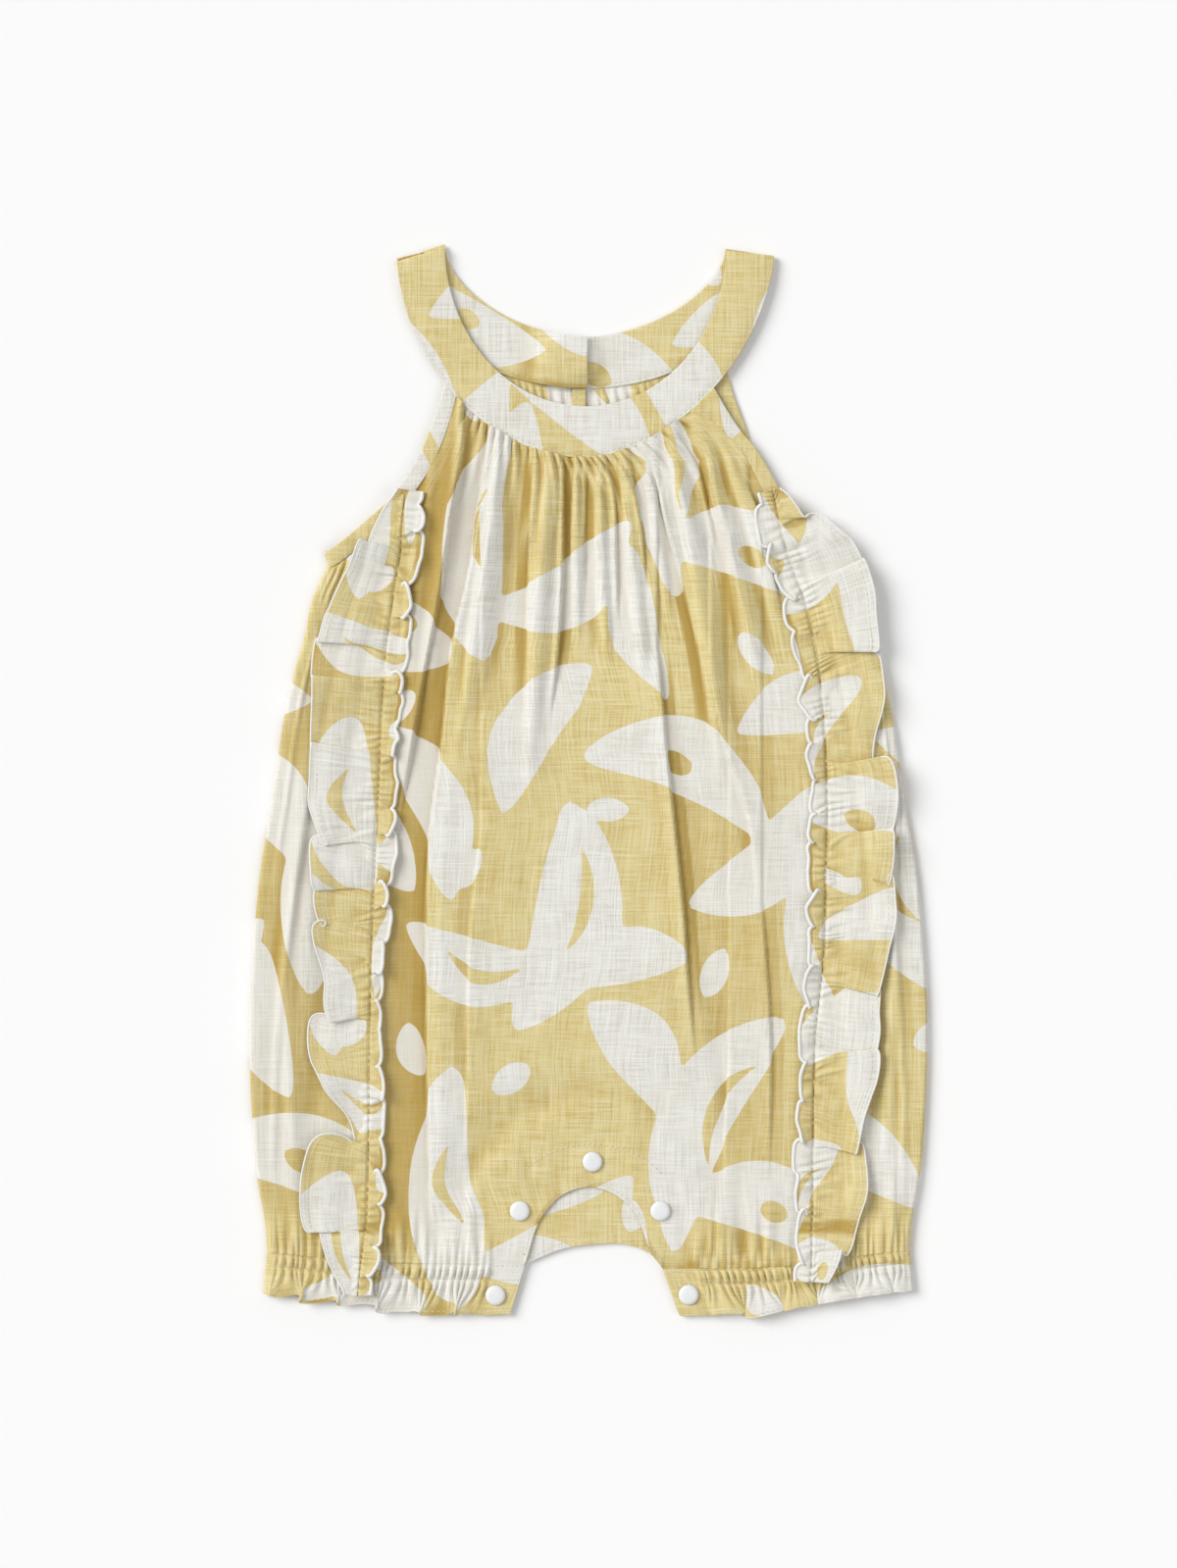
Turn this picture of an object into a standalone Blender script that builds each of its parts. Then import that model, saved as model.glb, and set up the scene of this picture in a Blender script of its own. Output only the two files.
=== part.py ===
"""A baby's halter romper with a ruffle down each front seam, laid flat on its back.

The cloth lies on the surface z = 0: back layer first, then the front layer with its gathers
and soft folds, then the ruffles and the snap caps. +X is to the right of someone who looks
down on the front, +Y goes to the neck and +Z is up. Every size below is in millimetres and
becomes metres when a piece is built. Neighbouring pieces keep SEAM_GAP between them.
"""

import math

import bmesh
import bpy
import numpy as np

MM = 0.001
SEAM_GAP = 0.3

# Cloth walls and the heights at which the layers lie.
CLOTH = 1.0
COLLAR_WALL = 1.5
BINDING_WALL = 1.3
FRONT_REST = 1.4
NECK_LIFT = 1.1
NECK_LIFT_FROM = 94.0
NECK_LIFT_TO = 108.0
SIDE_RADIUS = 1.5
SIDE_WRAP = 22.0

# The collar is a ring of four curves, all round one centre on the shoulder line.
COLLAR_CENTRE = (-1.3, 228.9)
COLLAR_HALF_INNER = 60.1
COLLAR_HALF_OUTER = 80.2
FRONT_INNER_DROP = 68.5
FRONT_OUTER_DROP = 89.9
BACK_INNER_DROP = 38.7
BACK_OUTER_DROP = 60.0
FULLNESS_LEFT = 1.93
FULLNESS_RIGHT = 1.76
FULLNESS_FRONT_INNER = 2.0
FULLNESS_BACK_INNER = 1.75
FULLNESS_BACK_OUTER = 2.0
SHOULDER_RIGHT = (1.2, 3.4)
SHOULDER_LEFT = (180.0, 175.8)
FOLD_INNER_RADIUS = 0.35
FOLD_OUTER_RADIUS = FOLD_INNER_RADIUS + COLLAR_WALL
FRONT_COLLAR_REST = FOLD_OUTER_RADIUS + SEAM_GAP + FOLD_INNER_RADIUS
SHOULDER_SHARES = (0.0, 0.0045, 0.0095, 0.015)
ANGLE_STEP = 0.002
COLLAR_FRONT_COLUMNS = 30
COLLAR_BACK_COLUMNS = 19

# Centre-back closure: the left half laps over the right half and a button holds them.
BACK_LAP_LEFT_END = -0.5
BACK_LAP_RIGHT_END = -16.0
LAP_RAMP = (11.0, 3.0)
BUTTON_CENTRE = (-7.8, 181.5)
BUTTON_RADIUS = 5.5
BUTTON_THICK = 1.6
BUTTON_LIFT = 2.0
BUTTON_FLAT = 7.5
BUTTON_SPREAD = 15.5
SLIT_LENGTH = 60.0
SLIT_WIDTH = 0.8
SLIT_RUN_OUT = 5.0
PLACKET_WIDTH = 5.8
PLACKET_LENGTH = 52.0
PLACKET_WALL = 0.9

# Angles on the collar's outer edge where the front panel and its bindings start.
FRONT_LEFT_ANGLES = (138.7, 134.2)
FRONT_RIGHT_ANGLES = (44.5, 52.8)
BACK_ANGLES = (45.0, 50.5)
ANGLE_GAP = 0.55

# Front armhole bindings: outer edge x, y and inner edge x, y from the collar to the underarm.
BINDING_LEFT = (
    (-66.4, 154.1, -60.7, 151.7),
    (-73.5, 137.3, -68.0, 134.5),
    (-79.0, 128.9, -73.9, 125.3),
    (-85.3, 120.5, -80.7, 116.3),
    (-94.5, 112.1, -90.4, 107.5),
    (-104.2, 103.7, -100.4, 98.8),
    (-111.6, 98.2, -109.5, 92.2),
)
BINDING_RIGHT = (
    (58.8, 159.4, 51.8, 154.6),
    (64.6, 150.6, 59.8, 148.2),
    (71.4, 142.4, 67.0, 139.6),
    (76.4, 134.4, 71.8, 131.4),
    (79.8, 128.2, 75.0, 125.0),
    (85.3, 120.2, 80.7, 116.0),
    (94.5, 112.1, 90.4, 107.5),
    (104.2, 103.7, 100.4, 98.8),
    (111.6, 98.2, 109.5, 92.2),
)

# Back armhole of the right side, outer edge x, y and inner edge x, y. The left one mirrors it.
BINDING_BACK = (
    (59.2, 176.0, 53.1, 174.4),
    (61.7, 166.7, 55.8, 164.7),
    (67.0, 152.4, 61.3, 150.0),
    (70.6, 142.4, 65.1, 139.6),
    (76.5, 131.6, 71.6, 127.8),
    (85.3, 120.2, 80.7, 116.0),
    (94.5, 112.1, 90.4, 107.5),
    (104.2, 103.7, 100.4, 98.8),
    (107.6, 100.9, 105.4, 95.0),
)
BACK_LEFT_NARROWER = 0.015
SIDE_BINDING_END = 0.963
SIDE_BINDING_ROWS = (8, 3)
SIDE_BINDING_RAMP = 0.3
BINDING_END_SHARE = 0.01

# Front seams under the ruffles: y, x of the left seam, x of the right seam.
PRINCESS_SEAMS = (
    (130.0, -77.5, 77.5),
    (117.0, -79.2, 80.3),
    (98.7, -80.6, 84.6),
    (77.3, -83.8, 92.2),
    (55.0, -86.8, 97.2),
    (25.0, -88.7, 100.6),
    (-8.4, -90.0, 101.9),
    (-45.0, -91.8, 101.2),
    (-73.9, -92.9, 100.4),
    (-107.1, -93.5, 97.0),
    (-154.6, -94.1, 95.9),
    (-185.2, -94.9, 95.6),
    (-210.0, -97.8, 95.0),
    (-230.0, -99.5, 94.0),
)

# Side outline: y, half width.
SIDE_OUTLINE = (
    (101.0, 109.4),
    (92.0, 112.0),
    (78.5, 118.0),
    (61.7, 121.8),
    (44.9, 126.4),
    (28.1, 130.2),
    (-5.5, 135.2),
    (-39.1, 140.7),
    (-64.3, 143.2),
    (-106.3, 145.2),
    (-148.3, 143.8),
    (-169.3, 142.0),
    (-190.3, 138.4),
    (-205.0, 137.6),
    (-221.8, 139.2),
    (-232.0, 139.6),
)

# Leg openings: x, casing top y and hem y.
LEG_LINES_LEFT = (
    (-139.6, -200.8, -218.8),
    (-115.5, -203.4, -223.0),
    (-93.5, -205.4, -225.8),
    (-65.9, -206.0, -228.7),
    (-43.8, -206.2, -228.1),
    (-27.3, -206.6, -227.6),
)
LEG_LINES_RIGHT = (
    (31.7, -208.6, -228.8),
    (47.6, -208.2, -228.3),
    (76.2, -207.6, -228.6),
    (97.4, -205.8, -224.2),
    (116.4, -202.6, -221.4),
    (139.6, -200.0, -217.2),
)
INNER_LEG_LEFT = (-27.3, -33.6)
INNER_LEG_RIGHT = (31.7, 38.9)
INNER_LEG_TOP = -207.0
INNER_LEG_FOOT = -227.5
TAB_WIDTH = 13.5

# Front crotch arch and the lower edge of the back crotch, left to right.
FRONT_ARCH = (
    (-27.3, -206.3),
    (-18.9, -184.4),
    (-11.3, -176.8),
    (0.8, -173.3),
    (10.1, -176.0),
    (18.5, -182.7),
    (26.9, -201.2),
    (31.7, -208.3),
)
BACK_ARCH = (
    (-27.3, -206.3),
    (-9.7, -199.5),
    (3.0, -197.8),
    (16.0, -197.9),
    (26.0, -201.8),
    (31.7, -208.3),
)
FACING_TOP = (
    (-45.0, -203.5),
    (-40.0, -182.0),
    (-22.0, -157.0),
    (2.0, -150.0),
    (25.0, -157.0),
    (42.0, -182.0),
    (46.0, -203.5),
)
FACING_INSET = 0.01
FACING_CENTRE = (1.5, -204.0)
FACING_HALF = (53.0, 60.0)
FACING_RIM = (1.5, 1.0)
CROTCH_CALM = (1.15, 2.2)

# Crotch snaps: x, y.
SNAPS = (
    (1.7, -162.5),
    (-29.4, -183.5),
    (30.7, -183.5),
    (-39.8, -219.6),
    (42.8, -219.4),
)
SNAP_RADIUS = 4.3
SNAP_HEIGHT = 1.5
STUD_RADIUS = 4.3
STUD_WALL = 0.9

# Long folds of the front, left to right: three crest points x, y from the collar down,
# reach to the left and to the right of the crest, and height.
FRONT_FOLDS = (
    (-66.5, 136.0, -72.5, 88.0, -78.0, 32.0, 4.6, 5.0, 1.5),
    (-54.8, 146.0, -63.4, 84.0, -70.8, 24.0, 3.6, 6.4, 2.0),
    (-37.6, 139.4, -45.4, 82.7, -56.0, 6.0, 5.0, 12.0, 3.3),
    (-16.8, 138.2, -21.8, 65.9, -27.3, -30.0, 6.0, 8.4, 3.4),
    (-5.2, 137.3, -5.2, 99.5, -4.2, 54.0, 3.2, 3.4, 1.9),
    (4.6, 137.3, 5.5, 95.3, 9.2, 36.0, 3.8, 4.2, 2.1),
    (14.3, 137.8, 18.9, 91.1, 25.2, 28.0, 4.0, 5.4, 2.3),
    (24.8, 140.0, 29.4, 107.9, 35.3, 62.0, 3.4, 4.0, 1.8),
    (35.3, 144.9, 47.0, 82.7, 60.4, -24.0, 5.2, 11.0, 3.4),
    (46.0, 151.0, 61.0, 100.0, 76.0, 26.0, 5.4, 8.4, 2.2),
    (57.0, 146.0, 70.2, 110.0, 84.0, 52.0, 4.4, 5.0, 1.5),
)
FOLD_START_SHARE = 0.55
FOLD_START_RUN = 18.0
FOLD_TOP_WIDTH = 0.62
FOLD_END_SHARE = 0.4
SLOPE_STEP = 0.5
STEEPEST_WALL = 2.0

# The belly of the front stands over a deep fold on the left and drops at one on the right.
BELLY_LEFT = (
    (60.0, -57.6),
    (17.6, -62.6),
    (-25.6, -68.5),
    (-85.3, -69.9),
    (-150.0, -69.4),
    (-200.0, -68.0),
)
BELLY_RIGHT = (
    (60.0, 28.6),
    (4.2, 34.4),
    (-57.1, 40.7),
    (-112.6, 47.9),
    (-160.0, 56.0),
    (-200.0, 60.0),
)
BELLY_RISE = 2.2
BELLY_EDGE = 8.0
BELLY_DROP = 0.5
BELLY_FROM = 70.0
BELLY_FULL = 10.0
BELLY_FADE = 35.0
SEAM_CALM = 9.0

# Gathers: each one is a ridge and a valley of the panel's own columns.
FRONT_COLUMNS = 48
ARMHOLE_ROWS = 4
BACK_ARMHOLE_ROWS = 7
BODY_ROWS = 14
FRONT_ARMHOLE_SHARE = 0.13
BACK_ARMHOLE_SHARE = 0.22
NECK_GATHER = 1.0
NECK_GATHER_SHARE = 0.16
LEG_GATHER = 0.7
LEG_GATHER_SHARE = 0.07
BACK_COLUMNS = 20
BACK_GATHER = 0.7
BACK_GATHER_RUN = (140.0, 165.0)
SLIT_CALM_X = -3.0
SLIT_CALM = (9.0, 15.0)
SIDE_GATHERS = 3
SIDE_GATHER = 0.7
SIDE_GATHER_FROM = 86.0
SIDE_GATHER_FULL = 100.0
SIDE_GATHER_SHARE = 0.16
SIDE_REST_RUN = (0.15, 0.95)
SIDE_CREASE = 0.9
SIDE_CREASE_WAVES = 9.0
SIDE_CREASE_TURN = 1.1
SIDE_CREASE_DRIFT = 0.012
SIDE_FRONT_COLUMNS = 6
SIDE_FOLD_COLUMNS = 3
SIDE_BACK_COLUMNS = 3
GATHER_END_SHARE = 0.05
FRONT_ARCH_COLUMNS = (17, 31)
BACK_ARCH_COLUMNS = (8, 12)
ARCH_CALM_SHARE = 0.06

# Ruffles: distance along the seam, width outwards, width inwards.
RUFFLE_LEFT_WIDTHS = (
    (0.0, 3.0, 7.6),
    (22.0, 14.5, 9.4),
    (38.0, 20.6, 9.6),
    (66.0, 28.0, 8.2),
    (116.0, 28.6, 8.2),
    (150.0, 29.0, 7.4),
    (170.0, 25.0, 7.6),
    (190.0, 25.0, 7.0),
    (212.0, 18.4, 5.0),
    (234.0, 26.0, 5.4),
    (254.0, 20.4, 6.4),
    (272.0, 17.0, 6.8),
    (290.0, 27.0, 7.6),
    (314.0, 24.6, 7.6),
    (328.0, 15.0, 7.4),
    (344.0, 5.0, 6.0),
)
RUFFLE_RIGHT_WIDTHS = (
    (0.0, 3.0, 7.4),
    (14.0, 13.0, 8.6),
    (26.0, 24.0, 8.8),
    (46.0, 28.6, 8.6),
    (70.0, 26.6, 8.0),
    (92.0, 26.0, 8.2),
    (112.0, 22.0, 7.8),
    (126.0, 28.6, 7.6),
    (150.0, 27.6, 7.2),
    (186.0, 28.6, 7.4),
    (214.0, 24.8, 6.6),
    (248.0, 27.4, 6.4),
    (270.0, 21.0, 7.0),
    (294.0, 22.4, 7.4),
    (318.0, 17.6, 7.2),
    (338.0, 7.0, 6.0),
)
# Waves of the ruffles: distance of each crest along the seam and its share of the height.
LEFT_OUTER_CRESTS = (
    (4.0, 0.3), (26.0, 0.8), (50.0, 0.65), (76.0, 1.0), (99.0, 0.6), (124.0, 1.0), (152.0, 0.8),
    (178.0, 1.0), (201.0, 0.55), (233.0, 1.0), (262.0, 0.75), (292.0, 1.0), (318.0, 0.8), (343.0, 0.4),
)
LEFT_INNER_CRESTS = (
    (5.0, 0.5), (22.0, 1.0), (37.0, 0.7), (53.0, 0.9), (74.0, 1.0), (87.0, 0.6), (104.0, 0.9),
    (122.0, 1.0), (139.0, 0.7), (160.0, 1.0), (175.0, 0.8), (196.0, 1.0), (211.0, 0.6), (230.0, 1.0),
    (248.0, 0.8), (268.0, 1.0), (285.0, 0.7), (306.0, 1.0), (326.0, 0.8), (343.0, 0.5),
)
RIGHT_OUTER_CRESTS = (
    (4.0, 0.3), (24.0, 0.7), (49.0, 1.0), (78.0, 0.8), (99.0, 0.6), (129.0, 1.0), (154.0, 0.7),
    (178.0, 1.0), (207.0, 0.85), (232.0, 0.6), (256.0, 1.0), (284.0, 0.8), (312.0, 1.0), (338.0, 0.5),
)
RIGHT_INNER_CRESTS = (
    (5.0, 0.5), (20.0, 0.8), (39.0, 1.0), (57.0, 0.7), (72.0, 1.0), (90.0, 0.8), (111.0, 1.0),
    (126.0, 0.6), (143.0, 0.9), (164.0, 1.0), (179.0, 0.7), (199.0, 1.0), (217.0, 0.8), (236.0, 1.0),
    (254.0, 0.7), (272.0, 1.0), (292.0, 0.9), (308.0, 0.7), (326.0, 1.0), (338.0, 0.5),
)
RUFFLE_COLUMNS = 84
RUFFLE_OUTER_LIFT = 4.2
RUFFLE_INNER_LIFT = 3.4
RUFFLE_OUTER_LEAN = 2.2
RUFFLE_INNER_LEAN = 1.4
RUFFLE_CLEAR = 0.6
RUFFLE_OUTER_SCALLOP = 0.05
RUFFLE_INNER_SCALLOP = 0.3
RUFFLE_STITCH = 0.35
RUFFLE_CREASE = 0.45
RUFFLE_REACHES = ((2.5, 0.0), (-2.5, 0.0), (0.0, 3.0), (0.0, -3.0))
RUFFLE_REACH_CLEAR = 0.2
RUFFLE_TOP_Y = 124.6
CUFF_TOP = 5.6
CUFF_RAMP = (-191.0, -199.0)

CUFF_FRONT_REST = 2.0
CUFF_SIDE_RISE = 1.0
CUFF_FRONT_COLUMNS = 24
CUFF_FOLD_COLUMNS = 3
CUFF_BACK_COLUMNS = 20
CASING_GATHER = 1.0
TAB_FADE = 4.0
CUFF_ROWS = 5
# Waves of the frill, from the inner leg (0) to the side (1): place and height of each crest.
FRILL_LEFT_CRESTS = ((0.02, 0.2), (0.23, 1.0), (0.37, 0.6), (0.55, 1.0), (0.71, 0.8), (0.86, 1.0), (1.0, 0.4))
FRILL_RIGHT_CRESTS = ((0.02, 0.2), (0.20, 0.7), (0.38, 1.0), (0.52, 0.7), (0.69, 1.0), (0.85, 0.9), (1.0, 0.4))
FRILL_WAVE = 1.8
FRILL_SCALLOP = 2.2
FRILL_FROM = 0.4
BACK_CUFF_SHARE = 0.5

# Colours (linear RGB) of the cloth, the bindings and the snaps.
YELLOW = (0.62, 0.50, 0.24)
WHITE_YELLOW = (0.72, 0.66, 0.48)
SNAP_WHITE = (0.85, 0.85, 0.82)


def ease(start, end, value):
    """Smooth step from 0 at start to 1 at end. The ends may be in either order."""
    share = np.clip((value - start) / (end - start), 0.0, 1.0)
    return share * share * (3.0 - 2.0 * share)


def smooth_curve(keys, values, at):
    """Cubic curve through values at rising keys, read at any positions."""
    keys = np.asarray(keys, float)
    values = np.asarray(values, float)
    at = np.clip(at, keys[0], keys[-1])
    slopes = np.gradient(values, keys)
    cell = np.clip(np.searchsorted(keys, at, side="right") - 1, 0, len(keys) - 2)
    span = keys[cell + 1] - keys[cell]
    t = (at - keys[cell]) / span
    start = values[cell] * (1 + 2 * t) * (1 - t) ** 2 + slopes[cell] * span * t * (1 - t) ** 2
    end = values[cell + 1] * (3 - 2 * t) * t**2 - slopes[cell + 1] * span * t**2 * (1 - t)
    return start + end


def column(table, index):
    """Rising keys of a table's first column, and the values of another column."""
    rows = np.array(sorted(table), float)
    return rows[:, 0], rows[:, index]


def path(points, share):
    """Points at shares of the length of a smooth line through the given points."""
    points = np.asarray(points, float)
    steps = np.linalg.norm(np.diff(points, axis=0), axis=1)
    keys = np.concatenate([[0.0], np.cumsum(steps)])
    at = np.asarray(share, float) * keys[-1]
    return np.stack([smooth_curve(keys, points[:, axis], at) for axis in (0, 1)], axis=-1)


def seam_x(y, side):
    """x of the front seam under the left (-1) or right (1) ruffle."""
    return smooth_curve(*column(PRINCESS_SEAMS, 1 if side < 0 else 2), y)


def outline_x(y, side):
    """x of the garment's side outline."""
    return side * smooth_curve(*column(SIDE_OUTLINE, 1), y)


def collar_point(angle, half, drop, fullness, offset=0.0):
    """A point of a collar curve. The angle is 0 at the right shoulder and 180 at the left."""
    turn = np.radians(angle)
    power = 2.0 / fullness
    across = np.sign(np.cos(turn)) * np.abs(np.cos(turn)) ** power
    down = np.abs(np.sin(turn)) ** power
    x = COLLAR_CENTRE[0] + (half + offset) * across
    y = COLLAR_CENTRE[1] - (drop + offset) * down
    return np.stack([x, y], axis=-1)


def front_collar_outer(angle, offset=0.0):
    """Outer edge of the front collar, a little fuller on the left half."""
    fullness = np.where(np.asarray(angle) > 90.0, FULLNESS_LEFT, FULLNESS_RIGHT)
    return collar_point(angle, COLLAR_HALF_OUTER, FRONT_OUTER_DROP, fullness, offset)


def back_collar_outer(angle, offset=0.0):
    """Outer edge of the back collar."""
    return collar_point(angle, COLLAR_HALF_OUTER, BACK_OUTER_DROP, FULLNESS_BACK_OUTER, offset)


def crotch_reach(x, y):
    """Squared distance from the crotch, 1 at the rim of the oval over the back's facing."""
    return ((x - FACING_CENTRE[0]) / FACING_HALF[0]) ** 2 + ((y - FACING_CENTRE[1]) / FACING_HALF[1]) ** 2


def front_rest(x, y):
    """Lowest height of the front layer's underside: over the back, its facing and its gathers."""
    over_facing = ease(*FACING_RIM, crotch_reach(x, y)) * (CLOTH + SEAM_GAP)
    return FRONT_REST + over_facing + NECK_LIFT * ease(NECK_LIFT_FROM, NECK_LIFT_TO, y)


def fold_height(x, y, fold):
    """Height of one long fold: a soft ridge that starts at the collar and runs out below."""
    x0, y0, x1, y1, x2, y2, reach_left, reach_right, height = fold
    crest = smooth_curve((y2, y1, y0), (x2, x1, x0), y)
    grow = FOLD_TOP_WIDTH + (1.0 - FOLD_TOP_WIDTH) * ease(y0, y1, y)
    reach = np.where(x < crest, reach_left, reach_right) * grow
    away = np.clip(np.abs(x - crest) / reach, 0.0, 1.0)
    start = FOLD_START_SHARE + (1.0 - FOLD_START_SHARE) * ease(y0, y0 - FOLD_START_RUN, y)
    end = ease(y2, y2 + (y1 - y2) * (1.0 - FOLD_END_SHARE), y)
    return height * start * end * np.cos(away * math.pi / 2.0) ** 2


def belly_height(x, y):
    """Height of the broad belly between the deep left fold and the right one."""
    left = ease(0.0, BELLY_EDGE, x - smooth_curve(*column(BELLY_LEFT, 1), y))
    right = ease(0.0, BELLY_EDGE, x - smooth_curve(*column(BELLY_RIGHT, 1), y))
    fade_in = ease(BELLY_FROM, BELLY_FULL, y)
    fade_out = ease(INNER_LEG_TOP, INNER_LEG_TOP + BELLY_FADE, y)
    return BELLY_RISE * left * (1.0 - BELLY_DROP * right) * fade_in * fade_out


def front_underside(x, y):
    """Height of the front panel's underside at any place."""
    cubes = belly_height(x, y) ** 3
    for fold in FRONT_FOLDS:
        cubes = cubes + fold_height(x, y, fold) ** 3
    calm = ease(0.0, SEAM_CALM, x - seam_x(y, -1)) * ease(0.0, SEAM_CALM, seam_x(y, 1) - x)
    flat_crotch = ease(*CROTCH_CALM, crotch_reach(x, y))
    return front_rest(x, y) + np.cbrt(cubes) * calm * flat_crotch


def wall_over(height, x, y, thick):
    """Vertical thickness that keeps a sloping wall as thick as a flat one."""
    step = SLOPE_STEP
    slope_x = (height(x + step, y) - height(x - step, y)) / (2 * step)
    slope_y = (height(x, y + step) - height(x, y - step)) / (2 * step)
    return thick * np.minimum(np.sqrt(1.0 + slope_x**2 + slope_y**2), STEEPEST_WALL)


def front_topside(x, y):
    """Height of the front panel's upper face."""
    return front_underside(x, y) + wall_over(front_underside, x, y, CLOTH)


def side_underside(share, y, side):
    """Height of the side panel's front layer, from its seam (share 0) to the outline (1)."""
    rest = FRONT_REST + (2 * SIDE_RADIUS - FRONT_REST) * ease(*SIDE_REST_RUN, share)
    phase = share * SIDE_CREASE_WAVES + side * SIDE_CREASE_TURN + y * SIDE_CREASE_DRIFT
    return rest + SIDE_CREASE * np.sin(share * math.pi) ** 2 * np.cos(phase) ** 2


def waves_at(crests, place):
    """Phase (a turn from crest to crest) and height share of uneven waves at any place."""
    keys, strengths = np.array(crests, float).T
    phase = np.interp(place, keys, np.arange(len(keys)) * 2 * math.pi)
    return phase, np.interp(place, keys, strengths)


def body_topside(x, y, side):
    """Upper face of whatever lies under the ruffle: front panel, side panel or leg casing."""
    seam = seam_x(y, side)
    outer = outline_x(y, side)
    share = np.clip((x - seam) / (outer - seam), 0.0, 1.0)
    inside = (x - seam) * side < 0
    gathers = SIDE_GATHER * ease(SIDE_GATHER_FROM, SIDE_GATHER_FULL, y)
    over_side = side_underside(share, y, side) + CLOTH + gathers
    top = np.where(inside, front_topside(x, y), over_side)
    cuff = CUFF_TOP * ease(*CUFF_RAMP, y)
    binding = (FRONT_REST + 2 * SEAM_GAP + NECK_LIFT + BINDING_WALL) * ease(NECK_LIFT_FROM, NECK_LIFT_TO, y)
    return np.maximum(np.maximum(top, cuff), binding)


def link_piece(name, mesh, material):
    """Put a finished mesh in the romper's collection under its piece's name."""
    piece = bpy.data.objects.new(name, mesh)
    mesh.materials.append(material)
    romper.objects.link(piece)
    return piece


def fabric(name, colour, roughness):
    """A plain Principled material."""
    material = bpy.data.materials.new(name)
    material.use_nodes = True
    shader = material.node_tree.nodes["Principled BSDF"]
    shader.inputs["Base Color"].default_value = (*colour, 1.0)
    shader.inputs["Roughness"].default_value = roughness
    shader.inputs["Metallic"].default_value = 0.0
    return material


def cloth(name, columns, rows, faces, material):
    """A closed wall of cloth from a grid.

    faces(u, v) takes arrays from 0 to 1 across and along the piece and gives its
    inner and outer points, in millimetres.
    """
    mesh_tool = bmesh.new()
    bmesh.ops.create_grid(mesh_tool, x_segments=columns, y_segments=rows, size=0.5)
    inner = list(mesh_tool.verts)
    places = np.array([vertex.co for vertex in inner])
    u = np.clip(places[:, 0] + 0.5, 0.0, 1.0)
    v = np.clip(0.5 - places[:, 1], 0.0, 1.0)
    inner_points, outer_points = faces(u, v)
    for vertex, point in zip(inner, inner_points):
        vertex.co = point * MM
    inner_index = {vertex: index for index, vertex in enumerate(inner)}
    extruded = bmesh.ops.extrude_face_region(mesh_tool, geom=mesh_tool.faces[:])
    outer = [item for item in extruded["geom"] if isinstance(item, bmesh.types.BMVert)]
    rounded = {tuple(np.round(vertex.co, 9)): inner_index[vertex] for vertex in inner}
    for vertex in outer:
        vertex.co = outer_points[rounded[tuple(np.round(vertex.co, 9))]] * MM
    bmesh.ops.recalc_face_normals(mesh_tool, faces=mesh_tool.faces[:])
    mesh = bpy.data.meshes.new(name)
    mesh_tool.to_mesh(mesh)
    mesh_tool.free()
    mesh.shade_smooth()
    mesh.set_sharp_from_angle(angle=math.radians(50.0))
    return link_piece(name, mesh, material)


def flat_wall(points, low, high):
    """Inner and outer points over plan points, from their lower and upper heights."""
    return (
        np.column_stack([points, np.broadcast_to(low, len(points))]),
        np.column_stack([points, np.broadcast_to(high, len(points))]),
    )


def wall_round(middle, u, v, thick):
    """Inner and outer points of a wall on a middle surface, by its own normals."""
    step = 0.004
    along_u = middle(np.minimum(u + step, 1.0), v) - middle(np.maximum(u - step, 0.0), v)
    along_v = middle(u, np.minimum(v + step, 1.0)) - middle(u, np.maximum(v - step, 0.0))
    normal = np.cross(along_u, along_v)
    normal /= np.linalg.norm(normal, axis=1, keepdims=True)
    centre = middle(u, v)
    return centre - normal * thick / 2, centre + normal * thick / 2


def patch(top, left, bottom, right, u, v):
    """Plan points of a four-sided patch between boundary lines read at u or v."""
    u = u[:, None]
    v = v[:, None]
    start = np.zeros(1)
    end = np.ones(1)
    corners = (
        (1 - u) * (1 - v) * top(start)
        + u * (1 - v) * top(end)
        + (1 - u) * v * bottom(start)
        + u * v * bottom(end)
    )
    edges = (1 - v) * top(u[:, 0]) + v * bottom(u[:, 0]) + (1 - u) * left(v[:, 0]) + u * right(v[:, 0])
    return edges - corners


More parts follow.
